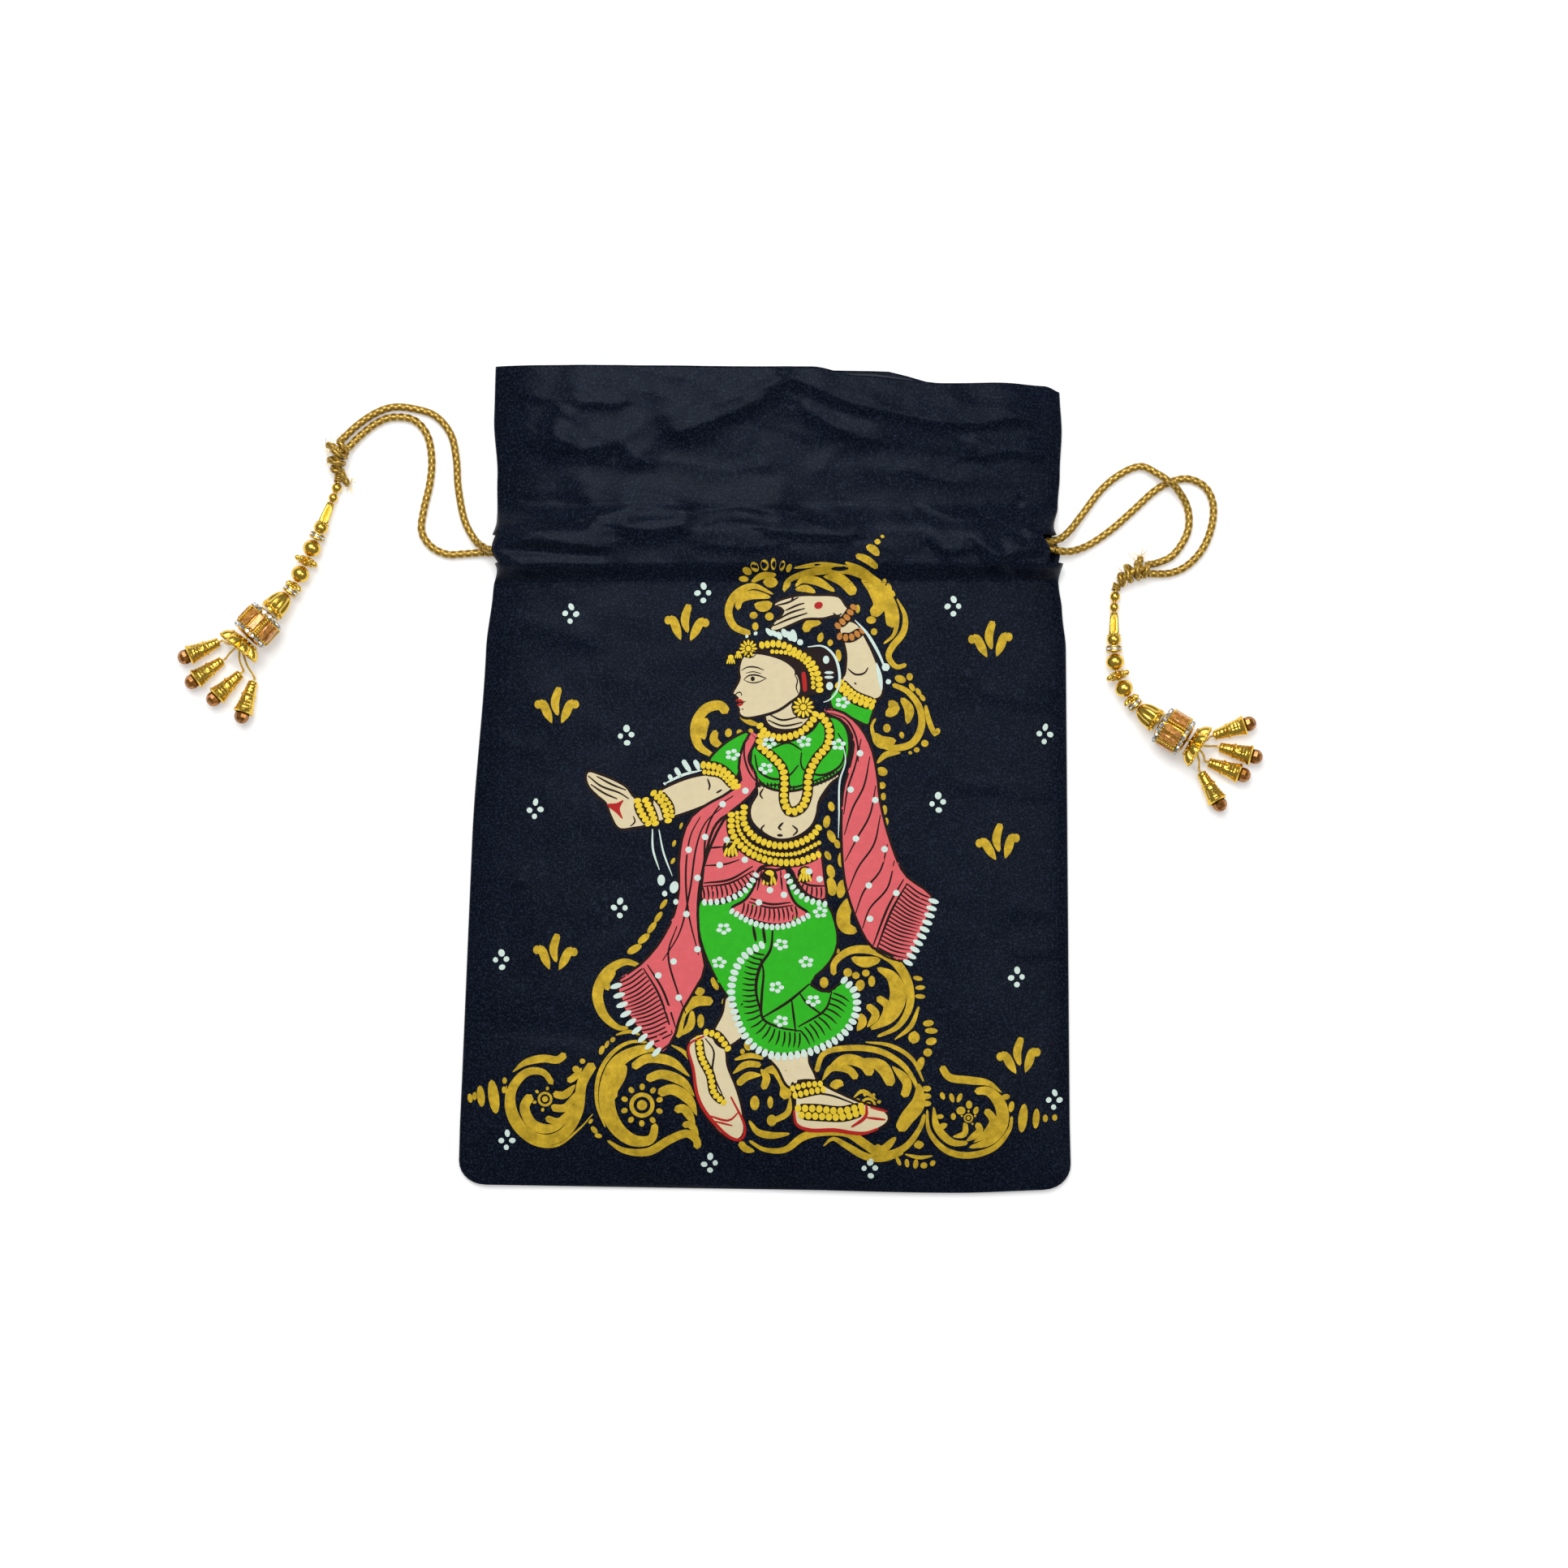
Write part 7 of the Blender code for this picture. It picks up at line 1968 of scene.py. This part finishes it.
class POTLI_OT_painted_figure(bpy.types.Operator):
    """Paint the dancing figure: its fields of colour, its outlines and its jewellery"""
    bl_idname = "potli.painted_figure"
    bl_label = "Painted Figure"

    def execute(self, context):
        coats = (("skin", SKIN, "skin_paint", SKIN_COAT, SKIN_COAT + OUTLINE_LIFT),
                 ("green", GREEN, "green_paint", GREEN_COAT, GREEN_COAT + OUTLINE_LIFT),
                 ("pink", PINK, "pink_paint", PINK_COAT, PINK_COAT + OUTLINE_LIFT),
                 ("hair", HAIR, "dark_paint", SHADE_COAT, None),
                 ("face", FACE, "skin_paint", DARK_COAT, TRIM_COAT))
        for part, shapes, paint, level, _ in coats:
            mesh = bmesh.new()
            for points in shapes:
                field(mesh, points)
            laid_on(f"painted_{part}", mesh, paint, level, True)
        for part, shapes, _, _, level in coats:
            if level:
                mesh = bmesh.new()
                for points in shapes:
                    brush(mesh, points, 0.95, 1.0, 1.0, True)
                laid_on(f"outline_{part}", mesh, "dark_paint", level)
        mesh = bmesh.new()
        lines(mesh, DARK_LINES, 0.5)
        for length, step, points, side in PLEATS:
            for (x, y), way in along(points, step):
                across = Vector((-way.y, way.x)) * side
                lean = way * 0.12 * length
                bend = (x + (across.x * length + lean.x) * 0.5, y + (across.y * length + lean.y) * 0.5)
                tip = (x + across.x * length, y + across.y * length)
                brush(mesh, [(x, y), bend, tip], 0.62, 0.8, 0.3)
        laid_on("painted_lines", mesh, "dark_paint", SHADE_COAT)
        mesh = bmesh.new()
        beads = bmesh.new()
        copper = bmesh.new()
        for bands, dabs in ((GOLD_BANDS, beads), (COPPER_BANDS, copper)):
            for radius, step, points in bands:
                brush(mesh, points, 2 * radius + 0.9, 0.95, 0.95)
                for (x, y), way in along(points, step):
                    dab(dabs, x, y, 0.49 * step, 1.08 * radius, lean_of(way))
        laid_on("painted_bangles", copper, "copper_paint", TRIM_COAT)
        for x, y, reach in ROSETTES:
            dab(mesh, x, y, 1.12 * reach, 1.12 * reach)
            dab(beads, x, y, 0.30 * reach, 0.30 * reach)
            for a, b, turn in places_round(12, x, y, 0.68 * reach, 0.68 * reach):
                dab(beads, a, b, 0.13 * reach, 0.32 * reach, 90 - math.degrees(turn))
        for x, y, reach in PENDANTS:
            dab(mesh, x, y, 1.1 * reach, 1.2 * reach)
            dab(beads, x, y + 0.45 * reach, 0.62 * reach, 0.5 * reach)
            for side in (-0.66, -0.22, 0.22, 0.66):
                dab(beads, x + side * reach, y - 0.45 * reach, 0.19 * reach, 0.62 * reach, -25 * side)
        laid_on("painted_trim_ground", mesh, "dark_paint", DARK_COAT)
        laid_on("painted_trim", beads, "bright_gold_paint", TRIM_COAT)
        mesh = bmesh.new()
        for x, y in PINK_DOTS:
            dab(mesh, x, y, 1.15, 1.1)
        for number, (x, y) in enumerate(GREEN_FLOWERS):
            for a, b, _ in places_round(5, x, y, 1.7, 1.35, number):
                dab(mesh, a, b, 0.95, 0.72)
        for radius, step, reach, points in FRINGES:
            for (x, y), way in along(points, step):
                dab(mesh, x, y, radius, reach, lean_of(way))
        strokes(mesh, WHITE_STROKES)
        for values in WHITE_DABS:
            dab(mesh, *values)
        laid_on("painted_white", mesh, "white_paint", DETAIL_COAT)
        mesh = bmesh.new()
        lines(mesh, RED_LINES, 0.5)
        field(mesh, RED_PALM)
        dab(mesh, *RED_PALM_DAB)
        strokes(mesh, RED_STROKES)
        laid_on("painted_red", mesh, "red_paint", TRIM_COAT)
        mesh = bmesh.new()
        lines(mesh, FACE_LINES, 0.4)
        dab(mesh, *PUPIL)
        laid_on("painted_features", mesh, "dark_paint", DETAIL_COAT)
        return {"FINISHED"}


FLOOR_DROP = 0.0002
WHITE_LIGHT = (1.0, 1.0, 1.0, 1.0)
# Name, place, width and power of each lamp
LAMPS = (("key_lamp", (-0.25, 0.85, 1.75), 1.3, 30.0), ("fill_lamp", (0.9, 0.1, 1.6), 0.8, 5.0))


def placed(name, data, place=(0.0, 0.0, 0.0)):
    """Puts an object of the stage in the scene."""
    item = bpy.data.objects.new(name, data)
    item.location = place
    bpy.context.scene.collection.objects.link(item)
    return item


class PotliStageSettings(bpy.types.PropertyGroup):
    """The floor, the lamps and the camera"""
    camera_height: size("Camera height", "How high the camera stands over the table", 1.3525, 0.2)
    lens: FloatProperty(name="Lens", description="Focal length in millimetres", default=90.0, min=20.0)
    camera_x: size("Camera across", "How far right of the bag's middle the camera stands", 0.0066, -1.0)
    camera_y: size("Camera along", "How far towards the mouth the camera stands", -0.0015, -1.0)
    floor_shade: share("Floor", "Paleness of the floor", 0.90)
    floor_glow: share("Floor glow", "Light that the floor adds where the camera sees it", 0.30)


class POTLI_OT_stage(bpy.types.Operator):
    """Lay the pale floor and set the lamps and the camera straight above the bag"""
    bl_idname = "potli.stage"
    bl_label = "Stage"

    def execute(self, context):
        settings = context.scene.potli_stage
        scene = context.scene
        mesh = bmesh.new()
        bmesh.ops.create_grid(mesh, x_segments=1, y_segments=1, size=4.0,
                              matrix=Matrix.Translation((0, 0, -FLOOR_DROP)))
        data = bpy.data.meshes.new("floor")
        mesh.to_mesh(data)
        mesh.free()
        floor = placed("floor", data)
        pale = (settings.floor_shade,) * 3
        item, tree, shader = surface("pale_floor", pale, 0.9, 0.0, Specular_IOR_Level=0.1,
                                     Emission_Color=WHITE_LIGHT)
        rays = tree.nodes.new("ShaderNodeLightPath")
        seen = maths(tree, "MAXIMUM", rays.outputs["Is Camera Ray"], rays.outputs["Is Glossy Ray"])
        seen = maths(tree, "MAXIMUM", seen, rays.outputs["Is Transmission Ray"])
        feed(shader, Emission_Strength=maths(tree, "MULTIPLY", seen, settings.floor_glow))
        data.materials.append(item)
        world = bpy.data.worlds.new("studio")
        world.use_nodes = True
        tree = world.node_tree
        back = tree.nodes["Background"]
        rays = tree.nodes.new("ShaderNodeLightPath")
        feed(back, Strength=ramp(tree, rays.outputs["Is Camera Ray"], 0.75, 0.25))
        back.inputs["Color"].default_value = WHITE_LIGHT
        scene.world = world
        for name, place, width, power in LAMPS:
            lamp = bpy.data.lights.new(name, "AREA")
            lamp.size = width
            lamp.energy = power
            placed(name, lamp, place).rotation_euler = Vector(place).to_track_quat("Z", "Y").to_euler()
        camera = placed("camera", bpy.data.cameras.new("camera"),
                        (settings.camera_x, settings.camera_y, settings.camera_height))
        camera.data.lens = settings.lens
        camera.data.sensor_width = 36.0
        scene.camera = camera
        scene.view_settings.view_transform = "Standard"
        return {"FINISHED"}


class POTLI_PT_panel(bpy.types.Panel):
    """Lists the bag's sizes, colours and pieces"""
    bl_idname = "POTLI_PT_panel"
    bl_label = "Potli Bag"
    bl_space_type = "VIEW_3D"
    bl_region_type = "UI"
    bl_category = "Potli"

    def draw(self, context):
        for name in SETTINGS:
            box = self.layout.box()
            settings = getattr(context.scene, name)
            for key in settings.__annotations__:
                box.prop(settings, key)
        for step in STEPS:
            self.layout.operator(step.bl_idname)


SETTINGS = {
    "potli_cloth": PotliClothSettings,
    "potli_cord": PotliCordSettings,
    "potli_paint": PotliPaintSettings,
    "potli_tassel": PotliTasselSettings,
    "potli_stage": PotliStageSettings,
}
STEPS = (
    POTLI_OT_outer_shell,
    POTLI_OT_lining,
    POTLI_OT_stitches,
    POTLI_OT_knots,
    POTLI_OT_drawcords,
    POTLI_OT_tassels,
    POTLI_OT_painted_scrolls,
    POTLI_OT_painted_figure,
    POTLI_OT_stage,
)


def register():
    for item in (*SETTINGS.values(), *STEPS, POTLI_PT_panel):
        bpy.utils.register_class(item)
    for name, item in SETTINGS.items():
        setattr(bpy.types.Scene, name, PointerProperty(type=item))


def unregister():
    for name in SETTINGS:
        delattr(bpy.types.Scene, name)
    for item in reversed((*SETTINGS.values(), *STEPS, POTLI_PT_panel)):
        bpy.utils.unregister_class(item)


def main():
    register()
    for step in STEPS:
        area, verb = step.bl_idname.split(".")
        getattr(getattr(bpy.ops, area), verb)()


if __name__ == "__main__":
    main()
